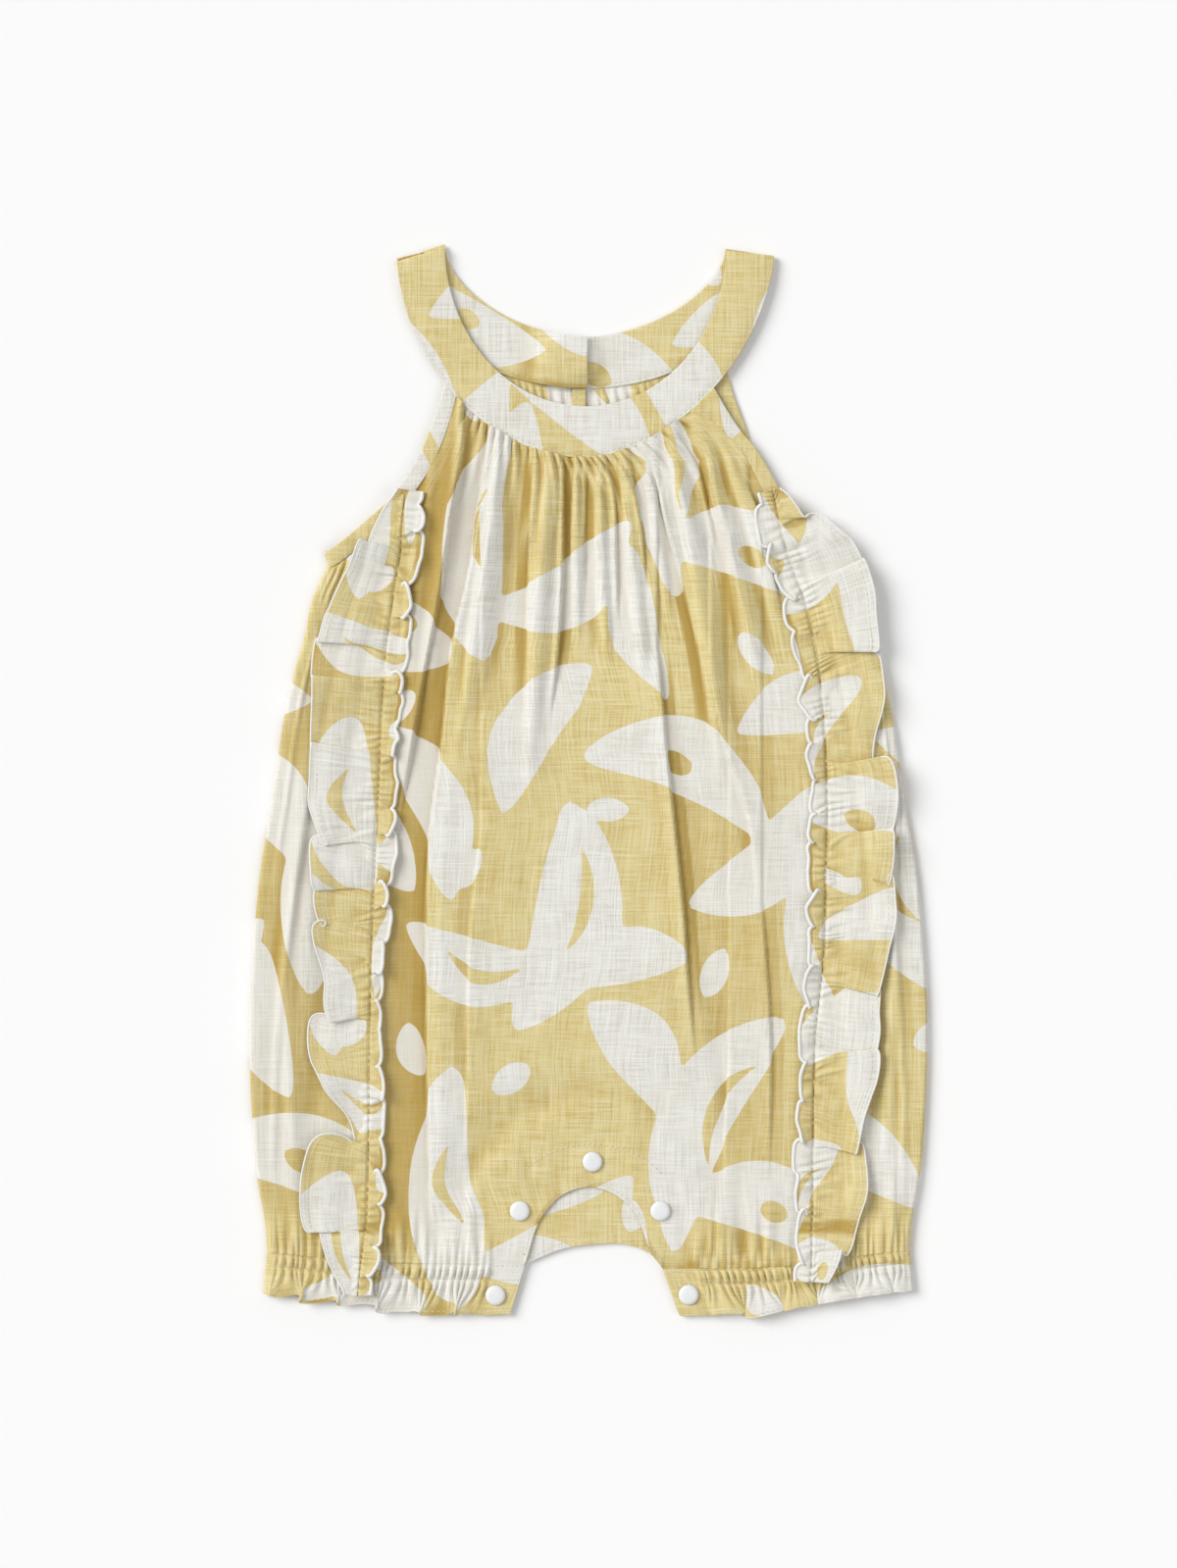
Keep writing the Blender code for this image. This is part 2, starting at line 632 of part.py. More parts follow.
def collar_band(edges, start, end, u, v, lift, upper):
    """A stretch of the collar between two angles, turned over at the shoulder where asked.

    edges are the inner and the outer line. start and end hold the angle on the inner and on
    the outer line, and whether the band turns over there. The upper layer turns down, the
    lower one turns up to meet it.
    """
    inner_edge, outer_edge = edges

    def plan_at(share):
        inner_line = inner_edge(start[0] + (end[0] - start[0]) * share)
        outer_line = outer_edge(start[1] + (end[1] - start[1]) * share)
        return inner_line + (outer_line - inner_line) * v[:, None]

    plan = plan_at(u)
    ahead = plan_at(u + ANGLE_STEP) - plan
    step = np.linalg.norm(ahead, axis=1, keepdims=True)
    direction = ahead / step
    speed = step[:, 0] / ANGLE_STEP
    quarter = FOLD_OUTER_RADIUS * math.pi / 2
    rise = lift(plan[:, 0], plan[:, 1])
    reaches = (FOLD_INNER_RADIUS, FOLD_OUTER_RADIUS) if upper else (FOLD_OUTER_RADIUS, FOLD_INNER_RADIUS)
    layers = []
    for flat_z, reach in ((rise, reaches[0]), (rise + COLLAR_WALL, reaches[1])):
        points = np.column_stack([plan, flat_z])
        for turns, from_end, sign in ((start[2], u, 1.0), (end[2], 1.0 - u, -1.0)):
            distance = from_end * speed
            rounded = turns & (distance < quarter)
            turn = np.clip(distance / FOLD_OUTER_RADIUS, 0.0, math.pi / 2)
            inwards = FOLD_OUTER_RADIUS - distance - np.cos(turn) * reach
            spot = plan + direction * (sign * inwards)[:, None]
            height = np.sin(turn) * reach
            turned_z = FOLD_OUTER_RADIUS + (SEAM_GAP + height if upper else -height)
            points[rounded] = np.column_stack([spot, turned_z])[rounded]
        layers.append(points)
    return layers


def button_lift(x, y):
    """Rise of the back collar over the button beneath it."""
    distance = np.hypot(x - BUTTON_CENTRE[0], y - BUTTON_CENTRE[1])
    return BUTTON_LIFT * ease(BUTTON_SPREAD, BUTTON_FLAT, distance)


def shoulder_columns(u, ends, columns):
    """Pull the columns next to a rounded end into the fold: u stays 0 and 1 at the ends."""
    count = len(SHOULDER_SHARES) - 1
    places = np.arange(columns + 1)
    shares = np.full(columns + 1, np.nan)
    if ends[0]:
        shares[: count + 1] = SHOULDER_SHARES
    if ends[1]:
        shares[columns - count :] = 1.0 - np.array(SHOULDER_SHARES)[::-1]
    shares[0] = 0.0
    shares[-1] = 1.0
    known = ~np.isnan(shares)
    return np.interp(np.round(u * columns), places[known], shares[known])


def build_collar():
    """The front band and the two lapped back halves of the halter collar."""

    def front_inner(angle):
        return collar_point(angle, COLLAR_HALF_INNER, FRONT_INNER_DROP, FULLNESS_FRONT_INNER)

    def back_inner(angle):
        return collar_point(angle, COLLAR_HALF_INNER, BACK_INNER_DROP, FULLNESS_BACK_INNER)

    def flat_front(x, y):
        return np.full_like(x, FRONT_COLLAR_REST)

    def lapped_left(x, y):
        lap = ease(BACK_LAP_RIGHT_END - LAP_RAMP[0], BACK_LAP_RIGHT_END - LAP_RAMP[1], x)
        return button_lift(x, y) + lap * (COLLAR_WALL + 2.0 * SEAM_GAP)

    def angle_at(x, half, fullness):
        across = (x - COLLAR_CENTRE[0]) / half
        return math.degrees(math.acos(math.copysign(abs(across) ** (fullness / 2.0), across)))

    cloth(
        "collar_front",
        COLLAR_FRONT_COLUMNS,
        2,
        lambda u, v: collar_band(
            (front_inner, front_collar_outer),
            (*SHOULDER_LEFT, True),
            (*SHOULDER_RIGHT, True),
            shoulder_columns(u, (True, True), COLLAR_FRONT_COLUMNS),
            v,
            flat_front,
            True,
        ),
        print_cloth,
    )
    halves = (
        ("collar_back_left", SHOULDER_LEFT, BACK_LAP_LEFT_END, lapped_left),
        ("collar_back_right", SHOULDER_RIGHT, BACK_LAP_RIGHT_END, button_lift),
    )
    for name, shoulder, lap_end, lift in halves:
        end = (
            angle_at(lap_end, COLLAR_HALF_INNER, FULLNESS_BACK_INNER),
            angle_at(lap_end, COLLAR_HALF_OUTER, FULLNESS_BACK_OUTER),
            False,
        )
        cloth(
            name,
            COLLAR_BACK_COLUMNS,
            3,
            lambda u, v, shoulder=shoulder, end=end, lift=lift: collar_band(
                (back_inner, back_collar_outer),
                (*shoulder, True),
                end,
                shoulder_columns(u, (True, False), COLLAR_BACK_COLUMNS),
                v,
                lift,
                False,
            ),
            print_cloth,
        )


def front_armhole(side, which, share):
    """A binding edge from the collar to the underarm: which is 0 for outer and 1 for inner."""
    table = BINDING_LEFT if side < 0 else BINDING_RIGHT
    angles = FRONT_LEFT_ANGLES if side < 0 else FRONT_RIGHT_ANGLES
    first = front_collar_outer(np.array(angles[which]), 0.5)
    points = [tuple(first)] + [row[2 * which : 2 * which + 2] for row in table]
    return path(points, share)


def armhole_split(side):
    """Share of the binding, from the collar, where the front seam leaves its inner edge."""
    shares = np.linspace(0.2, 0.9, 600)
    edge = front_armhole(side, 1, shares)
    past = side * edge[:, 0] > side * seam_x(edge[:, 1], side)
    return float(shares[np.argmax(past)])


def underarm_y(x, side):
    """y of the binding's inner edge at a place out from the front seam."""
    table = BINDING_LEFT if side < 0 else BINDING_RIGHT
    keys = [(side * row[2], row[3]) for row in table[-5:]]
    return smooth_curve(*column(keys, 1), side * x)


def seam_corner_y(side):
    """y where the front seam starts, just below the binding."""
    edge = front_armhole(side, 1, armhole_split(side))
    return float(edge[1]) - 2.0 * SEAM_GAP


def leg_line(x, side, index):
    """y of the casing's top (1) or of the hem (2) at a place across the leg."""
    lines = LEG_LINES_LEFT if side < 0 else LEG_LINES_RIGHT
    return smooth_curve(*column(lines, index), x)


def body_foot(seam, side):
    """Lowest y of a seam line x = seam(y, side), just above the casing."""
    y = np.array(INNER_LEG_TOP)
    for _ in range(4):
        y = leg_line(seam(y, side), side, 1) + SEAM_GAP
    return float(y)


def body_edge(points, seam, corner_y, side, v, armhole_share):
    """Side edge of a front or back panel: the armhole down to the corner, then the seam.

    v runs from 0 at the collar through armhole_share at the corner to 1 at the casing.
    """
    foot = body_foot(seam, side)
    clear = side * SEAM_GAP / 2
    y = corner_y + (foot - corner_y) * np.clip((v - armhole_share) / (1.0 - armhole_share), 0.0, 1.0)
    on_seam = np.column_stack([seam(y, side) - clear, y])
    corner = np.array([float(seam(np.array(corner_y), side)) - clear, corner_y])
    on_armhole = path(np.vstack([points, corner]), np.clip(v / armhole_share, 0.0, 1.0))
    return np.where((v < armhole_share)[:, None], on_armhole, on_seam)


def body_bottom(u, left_foot, right_foot, arch, arch_start, arch_end):
    """Bottom edge of a front or back panel: casing line, crotch arch, casing line."""
    x_left = left_foot[0] + (arch[0][0] - left_foot[0]) * np.clip(u / arch_start, 0.0, 1.0)
    x_right = arch[-1][0] + (right_foot[0] - arch[-1][0]) * np.clip((u - arch_end) / (1.0 - arch_end), 0.0, 1.0)
    left_part = np.column_stack([x_left, leg_line(x_left, -1, 1) + SEAM_GAP])
    right_part = np.column_stack([x_right, leg_line(x_right, 1, 1) + SEAM_GAP])
    arch_part = path(arch, np.clip((u - arch_start) / (arch_end - arch_start), 0.0, 1.0))
    place = np.where((u < arch_start)[:, None], left_part, arch_part)
    return np.where((u > arch_end)[:, None], right_part, place)


def body_rows(v, armhole_rows, armhole_share):
    """Spread a body panel's rows: armhole_rows down to the corner, BODY_ROWS below it."""
    corner = armhole_rows / (armhole_rows + BODY_ROWS)
    return np.interp(v, (0.0, corner, 1.0), (0.0, armhole_share, 1.0))


def build_front_panel():
    """The front, gathered into the collar, with its long folds, belly and crotch arch."""
    angle_left = FRONT_LEFT_ANGLES[1] - ANGLE_GAP
    angle_right = FRONT_RIGHT_ANGLES[1] + ANGLE_GAP
    arch_start, arch_end = (column_number / FRONT_COLUMNS for column_number in FRONT_ARCH_COLUMNS)

    def top(u):
        return front_collar_outer(angle_left + (angle_right - angle_left) * u, SEAM_GAP + 0.1)

    def armhole(side):
        start = front_collar_outer(np.array(angle_left if side < 0 else angle_right), SEAM_GAP + 0.1)
        edge = front_armhole(side, 1, np.linspace(0.1, 0.97, 9) * armhole_split(side))
        return np.vstack([start, edge + 1.3 * SEAM_GAP * np.array([-side, -1.0])])

    def left(v):
        return body_edge(armhole(-1), seam_x, seam_corner_y(-1), -1, v, FRONT_ARMHOLE_SHARE)

    def right(v):
        return body_edge(armhole(1), seam_x, seam_corner_y(1), 1, v, FRONT_ARMHOLE_SHARE)

    left_foot = left(np.ones(1))[0]
    right_foot = right(np.ones(1))[0]

    def bottom(u):
        return body_bottom(u, left_foot, right_foot, FRONT_ARCH, arch_start, arch_end)

    def faces(u, v):
        down = body_rows(v, ARMHOLE_ROWS, FRONT_ARMHOLE_SHARE)
        plan = patch(top, left, bottom, right, u, down)
        x = plan[:, 0]
        y = plan[:, 1]
        ridge = np.sin(u * FRONT_COLUMNS / 2 * math.pi) ** 2
        sides = ease(0.0, GATHER_END_SHARE, u) * ease(1.0, 1.0 - GATHER_END_SHARE, u)
        neck = NECK_GATHER * ease(NECK_GATHER_SHARE, 0.0, down)
        in_arch = ease(arch_start - ARCH_CALM_SHARE, arch_start, u)
        in_arch = in_arch * ease(arch_end + ARCH_CALM_SHARE, arch_end, u)
        leg = LEG_GATHER * ease(1.0 - LEG_GATHER_SHARE, 1.0, down) * (1.0 - in_arch)
        low = front_underside(x, y) + ridge * sides * (neck + leg)
        return flat_wall(plan, low, low + wall_over(front_underside, x, y, CLOTH))

    cloth("front_panel", FRONT_COLUMNS, ARMHOLE_ROWS + BODY_ROWS, faces, print_cloth)


def leg_width(side, y):
    """x of the inner leg edge and of the outline at a height of the leg opening."""
    top_x, foot_x = INNER_LEG_LEFT if side < 0 else INNER_LEG_RIGHT
    share = (INNER_LEG_TOP - y) / (INNER_LEG_TOP - INNER_LEG_FOOT)
    return top_x + (foot_x - top_x) * np.clip(share, -0.5, 1.1), outline_x(y, side)


def build_back_panel():
    """The back lies flat on the surface, gathered at the neck, with the slit below the button."""

    def top(u):
        angle = 180.0 - BACK_ANGLES[1] - ANGLE_GAP + (2 * (BACK_ANGLES[1] + ANGLE_GAP) - 180.0) * u
        return back_collar_outer(angle, SEAM_GAP)

    def edge(side, v):
        start = top(np.array([0.0 if side < 0 else 1.0]))
        shares = np.linspace(0.08, back_split(side) - 0.02, 12)
        armhole = back_armhole(side, 1, shares) + 2.0 * SEAM_GAP * np.array([-side, -1.0])
        points = np.vstack([start, armhole])
        return body_edge(points, back_seam_x, back_corner_y(side), side, v, BACK_ARMHOLE_SHARE)

    left_foot = edge(-1, np.ones(1))[0]
    right_foot = edge(1, np.ones(1))[0]

    def bottom(u):
        arch_start, arch_end = (column_number / BACK_COLUMNS for column_number in BACK_ARCH_COLUMNS)
        return body_bottom(u, left_foot, right_foot, BACK_ARCH, arch_start, arch_end)

    def faces(u, v):
        down = body_rows(v, BACK_ARMHOLE_ROWS, BACK_ARMHOLE_SHARE)
        plan = patch(top, lambda w: edge(-1, w), bottom, lambda w: edge(1, w), u, down)
        ridge = np.sin(u * BACK_COLUMNS / 2 * math.pi) ** 2
        low = ridge * BACK_GATHER * ease(*BACK_GATHER_RUN, plan[:, 1])
        low = low * ease(0.0, 2 * GATHER_END_SHARE, u) * ease(1.0, 1.0 - 2 * GATHER_END_SHARE, u)
        low = low * ease(*SLIT_CALM, np.abs(plan[:, 0] - SLIT_CALM_X))
        return flat_wall(plan, low, low + CLOTH)

    back = cloth("back_panel", BACK_COLUMNS, BACK_ARMHOLE_ROWS + BODY_ROWS, faces, print_cloth)
    slit_middle = float(back_collar_outer(np.array(90.0))[1]) + (SLIT_RUN_OUT - SLIT_LENGTH) / 2
    slit = cutter_box(
        "slit_cutter",
        (BACK_LAP_LEFT_END, slit_middle, CLOTH),
        (SLIT_WIDTH, SLIT_LENGTH + SLIT_RUN_OUT, 4 * CLOTH),
    )
    cut(back, slit)
    for number in (1, 2, 3):
        cut(back, stud_cutter(number))


def back_seam_x(y, side):
    """x of the seam between the side panel and the back panel, on the back."""
    return outline_x(y, side) - side * SIDE_WRAP


def back_armhole(side, which, share):
    """The back armhole's outer (0) or inner (1) edge, from the collar to the side's fold."""
    angle = BACK_ANGLES[which] if side > 0 else 180.0 - BACK_ANGLES[which]
    points = [tuple(back_collar_outer(np.array(angle), 0.5))]
    for row in BINDING_BACK:
        x = row[2 * which]
        y = row[2 * which + 1]
        narrower = 0.0 if side > 0 else BACK_LEFT_NARROWER * float(ease(112.0, 142.0, y))
        points.append((side * x * (1.0 - narrower), y))
    return path(points, share)


def back_split(side):
    """Share of the back binding, from the collar, where the back seam leaves its inner edge."""
    shares = np.linspace(0.3, 0.99, 600)
    edge = back_armhole(side, 1, shares)
    past = side * edge[:, 0] > side * back_seam_x(edge[:, 1], side)
    return float(shares[np.argmax(past)])


def back_corner_y(side):
    """y where the back seam starts, just below the binding."""
    return float(back_armhole(side, 1, back_split(side))[1]) - 2.0 * SEAM_GAP


def cutter_box(name, centre, size):
    """A box that cuts, kept out of the render."""
    mesh_tool = bmesh.new()
    bmesh.ops.create_cube(mesh_tool, size=1.0)
    for vertex in mesh_tool.verts:
        vertex.co = [(centre[axis] + vertex.co[axis] * size[axis]) * MM for axis in range(3)]
    return cutter_from(name, mesh_tool)


def stud_cutter(number):
    """The round seat of a snap's stud in the back layer."""
    x, y = SNAPS[number - 1]
    mesh_tool = bmesh.new()
    radius = (STUD_RADIUS + SEAM_GAP) * MM
    bmesh.ops.create_cone(
        mesh_tool, cap_ends=True, segments=16, radius1=radius, radius2=radius, depth=3 * CLOTH * MM
    )
    bmesh.ops.translate(mesh_tool, verts=mesh_tool.verts[:], vec=(x * MM, y * MM, 0.4 * CLOTH * MM))
    return cutter_from(f"stud_cutter_{number}", mesh_tool)


def cutter_from(name, mesh_tool):
    """Link a cutter, hidden from the render and drawn as wire."""
    mesh = bpy.data.meshes.new(name)
    mesh_tool.to_mesh(mesh)
    mesh_tool.free()
    shape = bpy.data.objects.new(name, mesh)
    shape.hide_render = True
    shape.display_type = "WIRE"
    cutters.objects.link(shape)
    return shape


def cut(piece, shape):
    """Cut a shape out of a piece."""
    modifier = piece.modifiers.new(shape.name, "BOOLEAN")
    modifier.operation = "DIFFERENCE"
    modifier.solver = "EXACT"
    modifier.object = shape


def build_side_panel(name, side):
    """A side panel: front layer from the ruffle seam, round the side and under to the back seam."""
    columns = SIDE_FRONT_COLUMNS + SIDE_FOLD_COLUMNS + SIDE_BACK_COLUMNS
    front_end = SIDE_FRONT_COLUMNS / columns
    fold_end = (SIDE_FRONT_COLUMNS + SIDE_FOLD_COLUMNS) / columns
    radius = SIDE_RADIUS
    turn_centre = radius + CLOTH / 2

    def across(share, y, seam):
        start = seam(y, side) + side * SEAM_GAP / 2
        end = outline_x(y, side) - side * turn_centre
        return start + (end - start) * share

    def place(share, v, seam, corner_y):
        top_y = np.full_like(share, corner_y)
        for _ in range(12):
            top_y = underarm_y(across(share, top_y, seam), side) - 2.2 * SEAM_GAP
        top_y = np.where(share < 0.001, corner_y, top_y)
        foot_y = np.full_like(share, INNER_LEG_TOP)
        for _ in range(4):
            foot_y = leg_line(across(share, foot_y, seam), side, 1) + SEAM_GAP
        y = top_y + (foot_y - top_y) * v
        return across(share, y, seam), y

    def faces(u, v):
        front = np.clip(u / front_end, 0.0, 1.0)
        fold = np.clip((u - front_end) / (fold_end - front_end), 0.0, 1.0)
        back = np.clip((u - fold_end) / (1.0 - fold_end), 0.0, 1.0)
        x, y = place(front, v, seam_x, seam_corner_y(side))
        back_x, back_y = place(1.0 - back, v, back_seam_x, back_corner_y(side))
        ridge = np.sin(front * SIDE_GATHERS * math.pi) ** 2
        low = side_underside(front, y, side) + SIDE_GATHER * ridge * ease(SIDE_GATHER_SHARE, 0.0, v)
        turn = math.pi / 2 - fold * math.pi
        in_fold = (u > front_end + 0.001) & (u <= fold_end + 0.001)
        in_back = u > fold_end + 0.001
        layers = []
        for flat_z, back_z, reach in ((low, CLOTH, radius - CLOTH / 2), (low + CLOTH, 0.0, radius + CLOTH / 2)):
            points = np.column_stack([x, y, flat_z])
            points[in_fold, 0] = (x + side * np.cos(turn) * reach)[in_fold]
            points[in_fold, 2] = (turn_centre + np.sin(turn) * reach)[in_fold]
            points[in_back, 0] = back_x[in_back]
            points[in_back, 1] = back_y[in_back]
            points[in_back, 2] = back_z
            layers.append(points)
        return layers

    cloth(name, columns, BODY_ROWS, faces, print_cloth)


def binding_rest(y):
    """Height of the front bindings' underside."""
    return FRONT_REST + SEAM_GAP + NECK_LIFT * ease(NECK_LIFT_FROM, NECK_LIFT_TO, y)


def build_bindings():
    """Bias bindings of both armholes: front, over the side panel and back."""
    for side, label in ((-1, "left"), (1, "right")):
        split = armhole_split(side)

        def front(u, v, side=side, split=split):
            share = v * (split - BINDING_END_SHARE)
            outer = front_armhole(side, 0, share)
            inner = front_armhole(side, 1, share)
            plan = inner + (outer - inner) * u[:, None]
            low = binding_rest(plan[:, 1])
            return flat_wall(plan, low, low + BINDING_WALL)

        cloth(f"armhole_binding_front_{label}", 1, 10, front, binding_cloth)

        def over_side(u, v, side=side, split=split):
            radius = SIDE_RADIUS
            turn_centre = radius + BINDING_WALL / 2
            front_end = SIDE_BINDING_ROWS[0] / sum(SIDE_BINDING_ROWS)
            along = np.clip(v / front_end, 0.0, 1.0)
            start = split + BINDING_END_SHARE
            share = start + (SIDE_BINDING_END - start) * along
            outer = front_armhole(side, 0, share)
            inner = front_armhole(side, 1, share)
            plan = inner + (outer - inner) * u[:, None]
            neck = binding_rest(plan[:, 1])
            low = neck + (2 * radius - neck) * ease(SIDE_BINDING_RAMP, 1.0, along)
            turn = math.pi / 2 - np.clip((v - front_end) / (1.0 - front_end), 0.0, 1.0) * math.pi
            in_fold = v > front_end + 0.001
            layers = []
            for flat_z, reach in ((low, radius - BINDING_WALL / 2), (low + BINDING_WALL, turn_centre)):
                points = np.column_stack([plan, flat_z])
                points[in_fold, 0] = (plan[:, 0] + side * np.cos(turn) * reach)[in_fold]
                points[in_fold, 2] = (turn_centre + np.sin(turn) * reach)[in_fold]
                layers.append(points)
            return layers

        cloth(f"armhole_binding_side_{label}", 1, sum(SIDE_BINDING_ROWS), over_side, binding_cloth)

        def back(u, v, side=side):
            outer = back_armhole(side, 0, v)
            inner = back_armhole(side, 1, v)
            plan = inner + (outer - inner) * u[:, None]
            return flat_wall(plan, 0.0, BINDING_WALL)

        cloth(f"armhole_binding_back_{label}", 1, 16, back, binding_cloth)


def build_leg_cuff(name, side):
    """A leg's elastic casing and frill: front layer, round the side and back layer."""
    columns = CUFF_FRONT_COLUMNS + CUFF_FOLD_COLUMNS + CUFF_BACK_COLUMNS
    front_end = CUFF_FRONT_COLUMNS / columns
    fold_end = (CUFF_FRONT_COLUMNS + CUFF_FOLD_COLUMNS) / columns
    radius = SIDE_RADIUS
    crests = FRILL_LEFT_CRESTS if side < 0 else FRILL_RIGHT_CRESTS

    def across(share, y):
        inner, outer = leg_width(side, y)
        outer = outer - side * (radius + CLOTH / 2)
        return inner + (outer - inner) * share

    def place(share, v):
        top_x = across(share, np.array(INNER_LEG_TOP))
        foot_x = across(share, np.array(INNER_LEG_FOOT))
        top_y = leg_line(top_x, side, 1)
        foot_y = leg_line(foot_x, side, 2)
        phase, strength = waves_at(crests, share)
        scallop = FRILL_SCALLOP * strength * (0.5 + 0.5 * np.sin(phase)) * ease(FRILL_FROM, 1.0, v)
        scallop = scallop * gathered(share, top_x, np.array(INNER_LEG_TOP))
        return top_x + (foot_x - top_x) * v, top_y + (foot_y - top_y) * v + scallop

    def gathered(share, x, y):
        inner, _ = leg_width(side, y)
        return ease(TAB_WIDTH, TAB_WIDTH + TAB_FADE, np.abs(x - inner)) * ease(1.0, 0.96, share)

    def ripple(share, v, columns_here, x, y):
        ridge = np.sin(share * columns_here / 2 * math.pi) ** 2
        phase, strength = waves_at(crests, share)
        wave = FRILL_WAVE * strength * (0.5 + 0.5 * np.cos(phase)) * ease(FRILL_FROM, 1.0, v)
        return gathered(share, x, y) * (CASING_GATHER * ridge * (1.0 - 0.6 * v) + wave)

    def faces(u, v):
        front = np.clip(u / front_end, 0.0, 1.0)
        fold = np.clip((u - front_end) / (fold_end - front_end), 0.0, 1.0)
        back = np.clip((u - fold_end) / (1.0 - fold_end), 0.0, 1.0)
        x, y = place(np.where(u > fold_end, 1.0 - back, front), v)
        low = CUFF_FRONT_REST + CUFF_SIDE_RISE * front + ripple(front, v, CUFF_FRONT_COLUMNS, x, y)
        under = np.column_stack([x, y, low])
        over = np.column_stack([x, y, low + CLOTH])
        turn = math.pi / 2 - fold * math.pi
        in_fold = u > front_end
        for points, reach in ((under, radius - CLOTH / 2), (over, radius + CLOTH / 2)):
            points[in_fold, 0] = (x + side * np.cos(turn) * reach)[in_fold]
            points[in_fold, 2] = (radius + CLOTH / 2 + np.sin(turn) * reach)[in_fold]
        in_back = u > fold_end
        lift = BACK_CUFF_SHARE * np.minimum(ripple(1.0 - back, v, CUFF_BACK_COLUMNS, x, y), 1.0)
        for points, height in ((under, CLOTH), (over, 0.0)):
            points[in_back, 0] = x[in_back]
            points[in_back, 2] = (height + lift)[in_back]
        return under, over

    cuff = cloth(name, columns, CUFF_ROWS, faces, print_cloth)
    cut(cuff, stud_cutter(4 if side < 0 else 5))


def build_facing():
    """The back's crotch facing, which shows below the front's arch."""

    def faces(u, v):
        low_line = path(BACK_ARCH, FACING_INSET + (1.0 - 2 * FACING_INSET) * u)
        high_line = path(FACING_TOP, u)
        plan = high_line + (low_line - high_line) * v[:, None]
        return flat_wall(plan, CLOTH + SEAM_GAP, 2 * CLOTH + SEAM_GAP)

    cloth("back_crotch_facing", 18, 3, faces, print_cloth)


def build_placket():
    """The binding strip along the left of the slit, on the inside of the back."""
    top_y = float(back_collar_outer(np.array(90.0))[1]) - 2 * SEAM_GAP
    right_x = BACK_LAP_LEFT_END - SLIT_WIDTH / 2 - SEAM_GAP

    def faces(u, v):
        plan = np.column_stack([right_x - PLACKET_WIDTH * (1 - u), top_y - PLACKET_LENGTH * v])
        return flat_wall(plan, CLOTH + SEAM_GAP, CLOTH + SEAM_GAP + PLACKET_WALL)

    cloth("back_placket", 1, 6, faces, binding_cloth)


def build_ruffle(name, side):
    """A ruffle gathered along its stitch line, wide and waved outwards, narrow and frilled inwards."""
    widths = RUFFLE_LEFT_WIDTHS if side < 0 else RUFFLE_RIGHT_WIDTHS
    outer_crests = LEFT_OUTER_CRESTS if side < 0 else RIGHT_OUTER_CRESTS
    inner_crests = LEFT_INNER_CRESTS if side < 0 else RIGHT_INNER_CRESTS
    length = widths[-1][0]
    heights = np.linspace(RUFFLE_TOP_Y, RUFFLE_TOP_Y - length, 40)
    line = np.column_stack([seam_x(heights, side), heights])

    def middle(u, v):
        distance = v * length
        stitch = path(line, v)
        ahead = path(line, np.minimum(v + 0.01, 1.0)) - path(line, np.maximum(v - 0.01, 0.0))
        ahead /= np.linalg.norm(ahead, axis=1, keepdims=True)
        across = np.column_stack([ahead[:, 1], -ahead[:, 0]]) * -side
        outwards = np.clip((u - RUFFLE_STITCH) / (1.0 - RUFFLE_STITCH), 0.0, 1.0)
        inwards = np.clip((RUFFLE_STITCH - u) / RUFFLE_STITCH, 0.0, 1.0)
        phase_out, strength_out = waves_at(outer_crests, distance)
        phase_in, strength_in = waves_at(inner_crests, distance)
        width_out = smooth_curve(*column(widths, 1), distance)
        width_out = width_out * (1.0 + RUFFLE_OUTER_SCALLOP * np.cos(phase_out))
        width_in = smooth_curve(*column(widths, 2), distance)
        width_in = width_in * (1.0 + RUFFLE_INNER_SCALLOP * np.sin(phase_in))
        offset = width_out * outwards - width_in * inwards
        lean = RUFFLE_OUTER_LEAN * strength_out * outwards**1.3 * np.sin(phase_out)
        lean = lean + RUFFLE_INNER_LEAN * strength_in * inwards * np.sin(phase_in)
        crease_out = phase_out + RUFFLE_CREASE * np.sin(phase_out)
        lift = RUFFLE_OUTER_LIFT * strength_out * outwards**0.9 * (0.5 + 0.5 * np.cos(crease_out))
        lift = lift + RUFFLE_INNER_LIFT * strength_in * inwards**0.9 * (0.55 + 0.45 * np.cos(phase_in))
        plan = stitch + across * offset[:, None] + ahead * lean[:, None]
        rest = body_topside(plan[:, 0], plan[:, 1], side)
        for shift_x, shift_y in RUFFLE_REACHES:
            near = body_topside(plan[:, 0] + shift_x, plan[:, 1] + shift_y, side)
            rest = np.maximum(rest, near - RUFFLE_REACH_CLEAR)
        return np.column_stack([plan, rest + RUFFLE_CLEAR + CLOTH / 2 + lift])

    def faces(u, v):
        bunched = np.interp(u, (0.0, 0.25, 1.0), (0.0, RUFFLE_STITCH, 1.0))
        return wall_round(middle, bunched, v, CLOTH)

    cloth(name, 4, RUFFLE_COLUMNS, faces, print_cloth)


def disc(name, centre, radius, low, high, bevel, material):
    """A round snap part or button with softened edges."""
    mesh_tool = bmesh.new()
    depth = (high - low) * MM
    bmesh.ops.create_cone(
        mesh_tool, cap_ends=True, segments=16, radius1=radius * MM, radius2=radius * MM, depth=depth
    )
    mesh = bpy.data.meshes.new(name)
    mesh_tool.to_mesh(mesh)
    mesh_tool.free()
    mesh.shade_smooth()
    mesh.set_sharp_from_angle(angle=math.radians(50.0))
    piece = link_piece(name, mesh, material)
    piece.location = (centre[0] * MM, centre[1] * MM, (low + high) / 2 * MM)
    if bevel > 0:
        rounding = piece.modifiers.new("rounding", "BEVEL")
        rounding.width = bevel * MM
        rounding.segments = 1
        rounding.limit_method = "ANGLE"
    return piece


